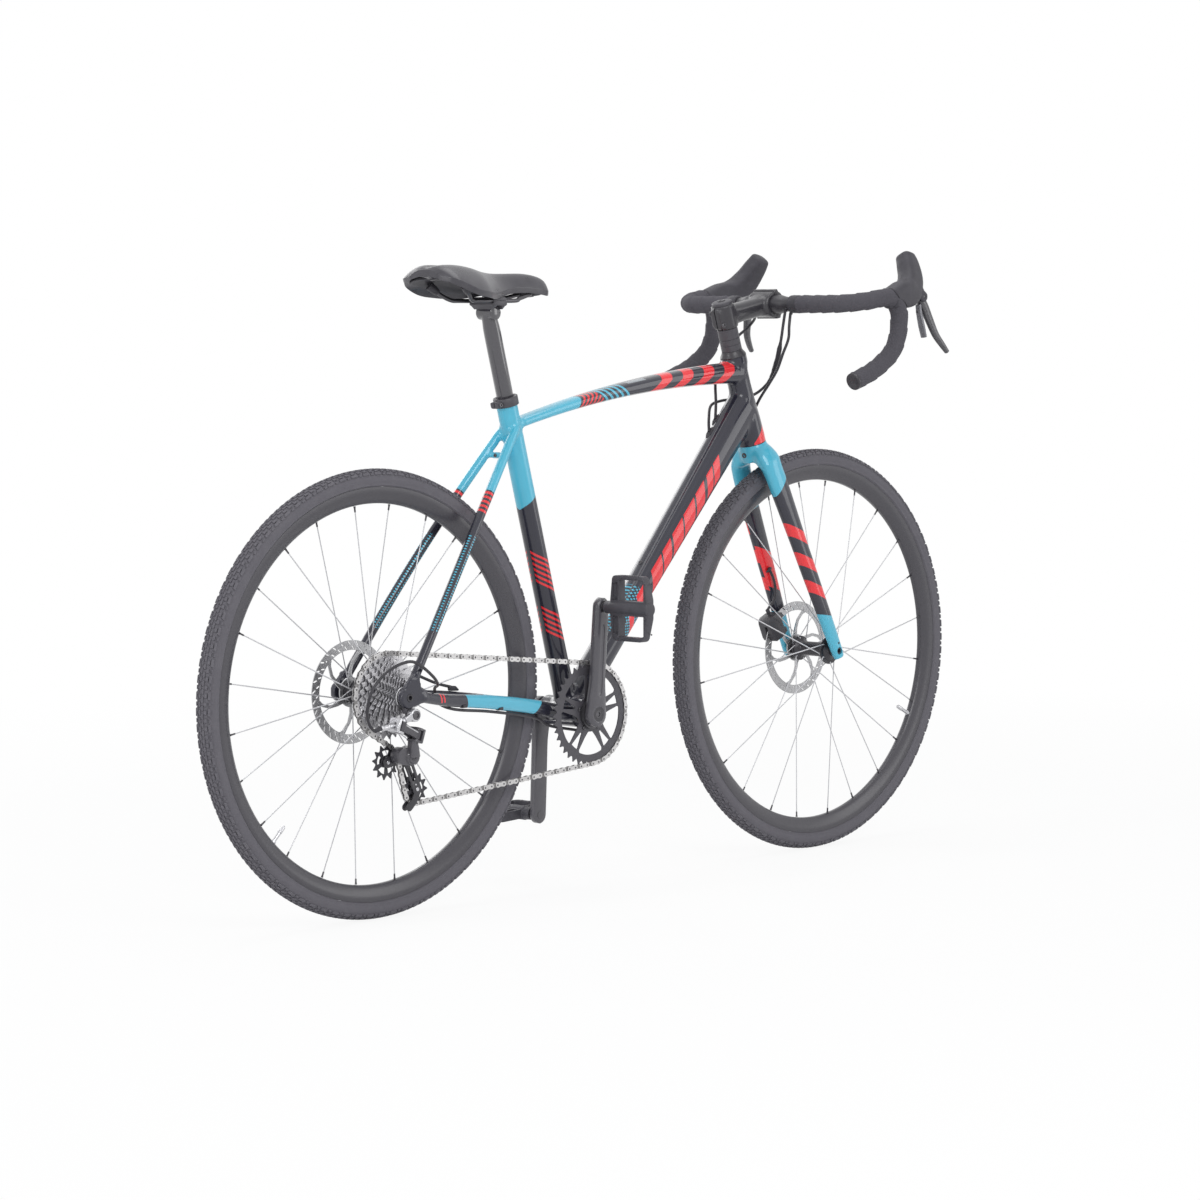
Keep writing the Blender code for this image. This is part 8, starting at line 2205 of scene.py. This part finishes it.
def make_fittings():
    """Small parts by the lines: ferrules, port covers, guides, grommets, and bolts of frame and fork."""
    routes = {name: curve_through(points, 7) for name, points in hose_routes().items()}
    along, up = DOWN_TUBE_ALONG, DOWN_TUBE_UP
    on_frame, on_fork = [], []
    for share, y in ((0.868, 0.006), (0.912, 0.009)):
        foot = above_down_tube(share, y, 0.0)
        port = sweep([foot - along * 0.011 - up * 0.0008, foot - along * 0.004 + up * 0.0004,
                      foot + along * 0.006 + up * 0.0005, foot + along * 0.012 - up * 0.0008],
                     [(0.003, 0.001), (0.0052, 0.0018), (0.0052, 0.0018), (0.0032, 0.001)], 24, power=3)
        on_frame.append(port)
    on_frame.append(collar_on(routes["shift_housing"], len(routes["shift_housing"]) - 8, 0.014, 0.0033))
    hose_end = routes["rear_brake_hose"][-1]
    on_frame.append(sweep([hose_end - X * 0.009 - Z * 0.0012, hose_end - X * 0.005 - Z * 0.001, hose_end
                           + X * 0.004 - Z * 0.0018, hose_end + X * 0.01 - Z * 0.0046],
                          [(0.0022, 0.0034), (0.0038, 0.0042), (0.0042, 0.004), (0.0034, 0.0016)], 28,
                          power=2.6))
    guide = chainstay_corners(-1)
    for place in (guide[3] + Vector((0.01, 0, -0.0135)), guide[2] + Vector((0.02, 0, -0.012)), guide[1]
                  + Vector((0.03, 0, -0.0112))):
        on_frame.append(sweep([place - X * 0.005, place - X * 0.0042, place + X * 0.0042,
                               place + X * 0.005], [(0.0022, 0.0014), (0.0044, 0.0026), (0.0044, 0.0026),
                                                    (0.0022, 0.0014)], 24, power=3.5))
    seat_bosses = [BB + SEAT_AXIS * t + Vector((SEAT_AXIS.z, 0, -SEAT_AXIS.x)) * 0.0164
                   for t in (0.165, 0.229)]
    forward = Vector((SEAT_AXIS.z, 0, -SEAT_AXIS.x))
    bosses = [bolt(p, forward, 0.0032, 0.0018, washer=0.0045) for p in seat_bosses]
    for share in (0.345, 0.445):
        bosses.append(bolt(above_down_tube(share, 0.0, -0.0002), up, 0.0032, 0.0018, washer=0.0045))
    bosses.append(bolt(SEAT_STAY_BRIDGE - Vector((0.0046, 0, 0)), -X, 0.003, 0.0016))
    bosses.append(bolt(on_steerer(CROWN_RACE + 0.13) - STEER_FORWARD * 0.0185 - Y * 0.0078,
                       (-0.8, -0.55, -0.2), 0.0014, 0.0006, socket=False))
    add_piece("line_ports", joined(*on_frame), "plastic", "frame", sharp=40)
    add_piece("boss_bolts", joined(*bosses), "dark_steel", "frame")
    grommet = by_front_axle(-0.07, 0.0365, 0.1375)
    on_fork.append(stack([(-0.0024, 0.006), (-0.0012, 0.0066), (0.0004, 0.0056), (0.0016, 0.0034)], grommet,
                         (0.42, -0.55, -0.72), 28, hint=X))
    on_fork.append(collar_on(routes["front_brake_hose_lower"], len(routes["front_brake_hose_lower"]) - 5,
                             0.009, 0.0036))
    leg = fork_leg_top(1)
    on_fork.append(stack([(-0.003, 0.0056), (0.0004, 0.006), (0.0022, 0.0048), (0.003, 0.003)],
                         leg + Vector((0.018, 0.008, 0.004)), (0.25, 0.0, 0.97), 28, hint=Y))
    add_piece("fork_grommets", joined(*on_fork), "plastic", "steering", sharp=40)
    crown = [bolt(on_steerer(CROWN_RACE - 0.015) - STEER_FORWARD * 0.0235, -STEER_FORWARD, 0.0046, 0.0026)]
    for sign in (-1, 1):
        low = lerp(fork_leg_top(sign), front_dropout(sign), 0.955)
        crown.append(bolt(low + Vector((0.004, sign * 0.0072, 0)), Y * sign, 0.0019, 0.0008, socket=False))
    add_piece("fork_bolts", joined(*crown), "black_alloy", "steering")


MATERIALS["caliper"] = alloy("caliper_black", (0.032, 0.0305, 0.0365), 0.38, scale=1700)
make_caliper("front", FRONT_AXLE, FRONT_PLACE, 0.0235, "steering")
make_caliper("rear", REAR_AXLE, REAR_PLACE, 0.0262, "frame")
make_hoses()
make_fittings()


# Rear derailleur

HANGER_FACE, CAGE_HALF_GAP, EAR_THICKNESS = -0.0785, 0.0042, 0.0036
LINK_GAP, LINK_HEIGHT, EAR_GAP = 0.015, 0.007, 0.0006
SWING_AT_REST = math.radians(20)
LINK_VECTOR = (RD_ALONG * math.cos(SWING_AT_REST) + Y * math.sin(SWING_AT_REST)) * 0.055


def make_hanger():
    outline = arc(0, 0, 0.0168, 244, 290, 12) + [(0.0152, -0.02), (0.0146, -0.027), (0.0122, -0.032)]
    outline += arc(B_BOLT.x - REAR_AXLE.x, B_BOLT.z - REAR_AXLE.z, 0.0062, 10, -190, 14)
    outline += [(-0.007, -0.023)]
    hanger = mesh_object("hanger_plate", prism(outline, HANGER_FACE, -0.072, side_view(REAR_AXLE)),
                         sharp=None)
    bevelled(hanger, 0.0008, 2, 35)
    finish_piece(hanger, "satin_black", "frame", ["derailleur_hanger"])


def knuckle_ears(middle, web_side):
    """Ears above and below the links' ends, rounded at their tips, and the web behind them."""
    half, half_y = LINK_HEIGHT + EAR_GAP, LINK_GAP / 2 + 0.0042
    web_place = middle + RD_ALONG * (web_side * 0.0092)
    reach = RD_AXIS * (half + EAR_THICKNESS - 0.0002)
    parts = [sweep([web_place - reach, web_place - reach * 0.9, web_place + reach * 0.9, web_place
                    + reach], [(half_y - 0.0008, 0.0019), (half_y, 0.0024), (half_y, 0.0024),
                               (half_y - 0.0008, 0.0019)], 40, power=6)]
    for end in (-1, 1):
        start = middle + RD_AXIS * (end * half) + RD_ALONG * (web_side * 0.0022)
        steps = [(0.0, 0.0004), (0.12, 0.0), (0.8, 0.0), (1.0, 0.0006)]
        parts.append(sweep([start + RD_AXIS * (end * EAR_THICKNESS * t) for t, _ in steps],
                           [(half_y - d, 0.0074 - d) for _, d in steps], 40, power=3.6))
    return parts


def pivot_pins(middle):
    radius = 0.0024
    reach = LINK_HEIGHT + EAR_GAP + EAR_THICKNESS
    pins = []
    for sign in (-1, 1):
        place = middle + Y * (sign * LINK_GAP / 2)
        pins.append(stack([(-reach - 0.0003, radius * 0.6), (-reach, radius), (reach, radius),
                           (reach + 0.0003, radius * 0.6)], place, RD_AXIS, 20, hint=Y))
    return pins


def make_b_knuckle():
    drum = Vector((B_BOLT.x, HANGER_FACE - 0.0003 - 0.006, B_BOLT.z))
    body = mesh_object("b_knuckle_body", stack([(-0.006, 0.0088), (-0.005, 0.0099), (0.0046, 0.01),
                                                (0.0058, 0.0094)], drum, Y, 48), sharp=None)
    top = B_PIVOTS + RD_AXIS * (LINK_HEIGHT + EAR_GAP + EAR_THICKNESS / 2)
    arm_end = Vector((top.x, drum.y, top.z + 0.0006))
    arm = sweep([drum, lerp(drum, arm_end, 0.45), arm_end],
                [(0.005, 0.0072), (0.005, 0.0056), (0.0048, 0.0042)], 40, power=4)
    for part in knuckle_ears(B_PIVOTS, -1) + [arm]:
        boolean(body, mesh_object("part", part), "UNION")
    bevelled(body, 0.0004, 2, 45)
    finish_piece(body, "silver", "frame", ["derailleur_b_knuckle"])
    back, foot = BARREL_AXIS, BARREL_FOOT
    barrel = [(0.0, 0.0036), (0.006, 0.004), (0.013, 0.004), (0.0135, 0.0034), (0.015, 0.0034),
              (0.0155, 0.0042), (0.019, 0.0041), (0.0225, 0.0042), (0.026, 0.0041), (0.0285, 0.0038),
              (0.0296, 0.003)]
    ribs = [rod(foot + back * 0.0165 + side * 0.004, foot + back * 0.027 + side * 0.0039, 0.0004, 6)
            for side in (Y * math.cos(a) + back.cross(Y) * math.sin(a)
                         for a in (2 * math.pi * k / 14 for k in range(14)))]
    add_piece("barrel_adjuster", joined(stack(barrel, foot, back, 36, hint=Y), *ribs), "silver",
              "frame", sharp=35)
    head = drum - Y * 0.0058
    fixing = stack([(0.0, 0.007), (0.0012, 0.007), (0.0018, 0.0064), (0.0018, 0.0034), (0.0006, 0.003)],
                   head, -Y, 36)
    screws = [bolt(B_PIVOTS - RD_ALONG * 0.0112 + RD_AXIS * h - Y * 0.003, -RD_ALONG, 0.0018, 0.0016)
              for h in (-0.004, 0.002)]
    add_piece("b_bolt", joined(fixing, *screws), "dark_steel", "frame")
    add_piece("b_pivot_pins", joined(*pivot_pins(B_PIVOTS)), "silver", "frame")


def make_links():
    """Two links: a rounded bar with an eye at each end; the outer one has a raised bright edge."""
    for name, sign in (("derailleur_outer_link", -1), ("derailleur_inner_link", 1)):
        rear = B_PIVOTS + Y * (sign * LINK_GAP / 2)
        front = rear + LINK_VECTOR
        shape = [(0.0, 0.9), (0.1, 0.98), (0.3, 0.86), (0.7, 0.86), (0.9, 0.98), (1.0, 0.9)]
        link = mesh_object(name + "_bar", sweep([lerp(rear, front, t) for t, _ in shape],
                                                [(LINK_HEIGHT * k, 0.0026) for _, k in shape], 40,
                                                power=4.5, hint=RD_AXIS), sharp=None)
        for point in (rear, front):
            eye = stack([(-LINK_HEIGHT, 0.0037), (-LINK_HEIGHT + 0.0005, 0.0042),
                         (LINK_HEIGHT - 0.0005, 0.0042), (LINK_HEIGHT, 0.0037)], point, RD_AXIS, 32,
                        hint=Y)
            boolean(link, mesh_object("eye", eye), "UNION")
        bevelled(link, 0.0004, 2, 45)
        finish_piece(link, "satin_black", name, [name])
        if sign > 0:
            continue
        out = (LINK_VECTOR.cross(RD_AXIS)).normalized()
        out = out if out.y < 0 else -out
        edge = [lerp(rear, front, t) + out * 0.0025 + RD_AXIS * lerp(0.0042, 0.003, t)
                for t in (0.1, 0.5, 0.9)]
        add_piece("link_edge", sweep(edge, [(0.001, 0.0006)] * 3, 16, power=3, hint=RD_AXIS), "silver",
                  name, sharp=40)


def make_p_knuckle():
    middle = B_PIVOTS + LINK_VECTOR
    inner_face = CAGE_PIVOT - Y * 0.0063
    drum = stack([(0.0, 0.0128), (0.001, 0.0135), (0.02, 0.0135), (0.0222, 0.013), (0.0226, 0.0106),
                  (0.025, 0.01)], inner_face, -Y, 60)
    body = mesh_object("p_knuckle_body", drum, sharp=None)
    low_ear = middle - RD_AXIS * (LINK_HEIGHT + EAR_GAP + EAR_THICKNESS / 2)
    foot = Vector((CAGE_PIVOT.x, middle.y, CAGE_PIVOT.z))
    post = sweep([low_ear, lerp(low_ear, foot, 0.5), foot],
                 [(0.0075, 0.0052), (0.0076, 0.0078), (0.007, 0.01)], 40, power=4)
    cover = prism(strap([Vector((-0.015, 0, 0.002)), Vector((-0.006, 0, 0.0004)),
                         Vector((0.002, 0, 0.0024))], 0.0134, 12), inner_face.y - 0.02, inner_face.y
                  - 0.0012, side_view(CAGE_PIVOT))
    for part in knuckle_ears(middle, 1) + [post, cover]:
        boolean(body, mesh_object("part", part), "UNION")
    boolean(body, cutter("bore", rod(inner_face + Y * 0.01, inner_face - Y * 0.013, 0.0053, 36, hint=Z)))
    bevelled(body, 0.0004, 2, 45)
    finish_piece(body, "crank", "derailleur_p_knuckle", ["derailleur_p_knuckle"])
    face = inner_face - Y * 0.025
    rivets = [stack([(-0.001, 0.0011), (0.0003, 0.0011), (0.0006, 0.0007)],
                    face + Y * 0.0016 + Vector((0.0118 * math.cos(a), 0, 0.0118 * math.sin(a))), -Y, 14)
              for a in (math.radians(d) for d in (35, 155, 275))]
    cap = stack([(-0.001, 0.006), (0.0004, 0.006), (0.0007, 0.0054), (0.0007, 0.0024), (-0.0002, 0.002)],
                face, -Y, 36)
    add_piece("p_rivets", joined(*rivets, *pivot_pins(middle)), "silver",
              "derailleur_p_knuckle")
    add_piece("p_cap", cap, "satin_black", "derailleur_p_knuckle")


def make_cage():
    """Two boomerang plates with windows, the pulleys' bolts, and the pin in the P knuckle."""
    path = [GUIDE_PULLEY - CAGE_PIVOT, Vector((0, 0, -0.003)), Vector((0.013, 0, -0.017)), TENSION_PULLEY
            - CAGE_PIVOT]
    outline = strap(curve_through(path, 6), 0.0086, 12)
    tail = [path[-1] + Vector((0.001, 0, -0.004)), path[-1] + Vector((-0.006, 0, -0.018)), path[-1]
            + Vector((-0.016, 0, -0.027))]
    tail_outline = strap(tail, 0.0058, 10)
    outer, inner = CAGE_PIVOT.y - CAGE_HALF_GAP, CAGE_PIVOT.y + CAGE_HALF_GAP
    plate = mesh_object("cage_plates", prism(outline, outer - 0.0015, outer, side_view(CAGE_PIVOT)),
                        sharp=None)
    inner_plate = mesh_object("inner_plate", prism(outline, inner, inner + 0.0015, side_view(CAGE_PIVOT)))
    for piece, low_y in ((plate, outer - 0.0015), (inner_plate, inner)):
        extra = mesh_object("tail", prism(tail_outline, low_y, low_y + 0.0015, side_view(CAGE_PIVOT)))
        boolean(piece, extra, "UNION")
    elbow, low = path[2], path[3]
    window = strap([lerp(elbow, low, 0.1), lerp(elbow, low, 0.55)], 0.004, 8)
    slot = strap([lerp(path[0], path[1], 0.5), lerp(path[0], path[1], 0.52)], 0.003, 8)
    for piece, side in ((plate, outer - 0.00075), (inner_plate, inner + 0.00075)):
        for hole in (window, slot):
            boolean(piece, cutter("window", prism(hole, side - 0.003, side + 0.003, side_view(CAGE_PIVOT))))
        bevelled(piece, 0.0003, 2, 40)
    pin = rod(Vector((CAGE_PIVOT.x, outer - 0.0005, CAGE_PIVOT.z)),
              Vector((CAGE_PIVOT.x, outer - 0.0135, CAGE_PIVOT.z)), 0.005, 32, hint=Z)
    pin = mesh_object("cage_pin", pin, sharp=35)
    for piece, nodes in ((plate, ["derailleur_cage"]), (inner_plate, []), (pin, [])):
        finish_piece(piece, "black_alloy" if piece is not pin else "dark_steel",
                     "derailleur_cage", nodes)
    bolts = []
    for centre in (GUIDE_PULLEY, TENSION_PULLEY):
        outside = Vector((centre.x, outer - 0.0015, centre.z))
        bolts.append(bolt(outside, -Y, 0.003, 0.0012))
        bolts.append(rod(outside, Vector((centre.x, inner + 0.0015, centre.z)), 0.0021, 16, hint=Z))
    rivet = CAGE_PIVOT + lerp(elbow, low, 0.8)
    bolts.append(stack([(0.0, 0.0014), (0.0007, 0.0014), (0.001, 0.0009)],
                       Vector((rivet.x, outer - 0.0015, rivet.z)), -Y, 16))
    add_piece("pulley_bolts", joined(*bolts), "silver", "derailleur_cage")


def make_pulley(name, centre, teeth, pins):
    """Moulded pulley with windows between its ribs, and a metal shield on each side of its bearing."""
    phase = roller_phase(centre, pins, pitch_radius(teeth))
    radius = pitch_radius(teeth)
    disc = mesh_object(name + "_disc", sprocket(teeth, -centre.y, 0.0021, centre, phase, tip=0.003,
                                                bevel=0.45), sharp=None)
    half = CAGE_HALF_GAP - 0.0006
    hub = stack([(-half, 0.006), (-half + 0.0006, 0.007), (half - 0.0006, 0.007), (half, 0.006)], centre,
                Y, 36)
    boolean(disc, mesh_object("hub", hub), "UNION")
    for k in range(5):
        middle = 72 * k + 20
        hole = arc(0, 0, radius - 0.0062, middle - 24, middle + 24,
                   8) + arc(0, 0, 0.0086, middle + 20, middle - 20, 6)
        boolean(disc, cutter("window", prism(hole, centre.y - 0.003, centre.y + 0.003, side_view(centre))))
    boolean(disc, cutter("bore", cross_rod(centre, 0.01, 0.0024, 24)))
    smooth_shading(disc, 32)
    finish_piece(disc, "plastic", name, [name])
    shields = [stack([(half - 0.0002, 0.003), (half - 0.0002, 0.0054), (half + 0.0002, 0.0054),
                      (half + 0.0002, 0.003)], centre, axis, 32) for axis in (Y, -Y)]
    add_piece(name + "_shield", joined(*shields), "silver", name)


make_hanger()
make_b_knuckle()
make_links()
make_p_knuckle()
make_cage()
make_pulley("guide_pulley", GUIDE_PULLEY, GUIDE_TEETH, PINS)
make_pulley("tension_pulley", TENSION_PULLEY, TENSION_TEETH, PINS)


# Floor, light and the photograph's white background

FLOOR_HALF, WHITE_FROM, WHITE_TO = 14.0, 1.4, 3.2


def add_floor():
    bm = bmesh.new()
    bmesh.ops.create_grid(bm, x_segments=2, y_segments=2, size=FLOOR_HALF)
    floor = mesh_object("floor", bm)
    floor.data.materials.append(floor_material())


def floor_material():
    """Pale floor that takes the object's shadow, and turns to the white of the background further out."""
    made = bpy.data.materials.new("floor")
    made.use_nodes = True
    tree = made.node_tree
    shader = tree.nodes["Principled BSDF"]
    shader.inputs["Base Color"].default_value = (0.9, 0.9, 0.9, 1)
    shader.inputs["Roughness"].default_value = 0.9
    shader.inputs["Specular IOR Level"].default_value = 0.1
    place = tree.nodes.new("ShaderNodeTexCoord")
    length = tree.nodes.new("ShaderNodeVectorMath")
    length.operation = "LENGTH"
    tree.links.new(place.outputs["Object"], length.inputs[0])
    share = tree.nodes.new("ShaderNodeMapRange")
    share.inputs["From Min"].default_value, share.inputs["From Max"].default_value = WHITE_FROM, WHITE_TO
    share.inputs["To Min"].default_value = 0.9
    tree.links.new(length.outputs["Value"], share.inputs["Value"])
    rays = tree.nodes.new("ShaderNodeLightPath")
    seen = tree.nodes.new("ShaderNodeMath")
    seen.operation = "MULTIPLY"
    tree.links.new(share.outputs["Result"], seen.inputs[0])
    tree.links.new(white_rays(tree, rays), seen.inputs[1])
    white = tree.nodes.new("ShaderNodeEmission")
    mix = tree.nodes.new("ShaderNodeMixShader")
    tree.links.new(seen.outputs[0], mix.inputs[0])
    tree.links.new(shader.outputs[0], mix.inputs[1])
    tree.links.new(white.outputs[0], mix.inputs[2])
    tree.links.new(mix.outputs[0], tree.nodes["Material Output"].inputs["Surface"])
    return made


def white_rays(tree, rays):
    """1 for the rays that see the white background: camera, glossy and transmission rays."""
    total = rays.outputs["Is Camera Ray"]
    for kind in ("Is Glossy Ray", "Is Transmission Ray"):
        either = tree.nodes.new("ShaderNodeMath")
        either.operation = "MAXIMUM"
        tree.links.new(total, either.inputs[0])
        tree.links.new(rays.outputs[kind], either.inputs[1])
        total = either.outputs[0]
    return total


def add_world():
    world = bpy.data.worlds.new("studio")
    bpy.context.scene.world = world
    world.use_nodes = True
    tree = world.node_tree
    light = tree.nodes["Background"]
    light.inputs["Color"].default_value = (0.95, 0.97, 1.0, 1)
    light.inputs["Strength"].default_value = 0.4
    white = tree.nodes.new("ShaderNodeBackground")
    white.inputs["Color"].default_value = (1, 1, 1, 1)
    rays = tree.nodes.new("ShaderNodeLightPath")
    mix = tree.nodes.new("ShaderNodeMixShader")
    tree.links.new(white_rays(tree, rays), mix.inputs[0])
    tree.links.new(light.outputs[0], mix.inputs[1])
    tree.links.new(white.outputs[0], mix.inputs[2])
    tree.links.new(mix.outputs[0], tree.nodes["World Output"].inputs["Surface"])


def add_area(name, place, target, width, height, power):
    data = bpy.data.lights.new(name, "AREA")
    data.shape = "RECTANGLE"
    data.size, data.size_y = width, height
    data.energy = power
    light = bpy.data.objects.new(name, data)
    light.location = place
    light.rotation_euler = (Vector(target) - Vector(place)).to_track_quat("-Z", "Y").to_euler()
    bpy.context.scene.collection.objects.link(light)


def add_lights():
    middle = Vector((0, 0, 0.5))
    add_area("key", (-1.6, -3.4, 2.6), middle, 2.0, 2.0, 58)
    add_area("left_strip", (-4.2, 0.5, 1.6), middle, 0.35, 3.0, 42)
    add_area("right_strip", (2.8, -3.2, 1.5), middle, 1.6, 2.6, 26)
    add_area("top", (0.0, 0.2, 3.6), middle, 3.0, 2.0, 38)
    add_area("far_side", (0.8, 3.6, 2.2), middle, 2.4, 2.0, 34)


add_floor()
add_world()
add_lights()
bpy.context.scene.view_settings.view_transform = "Standard"
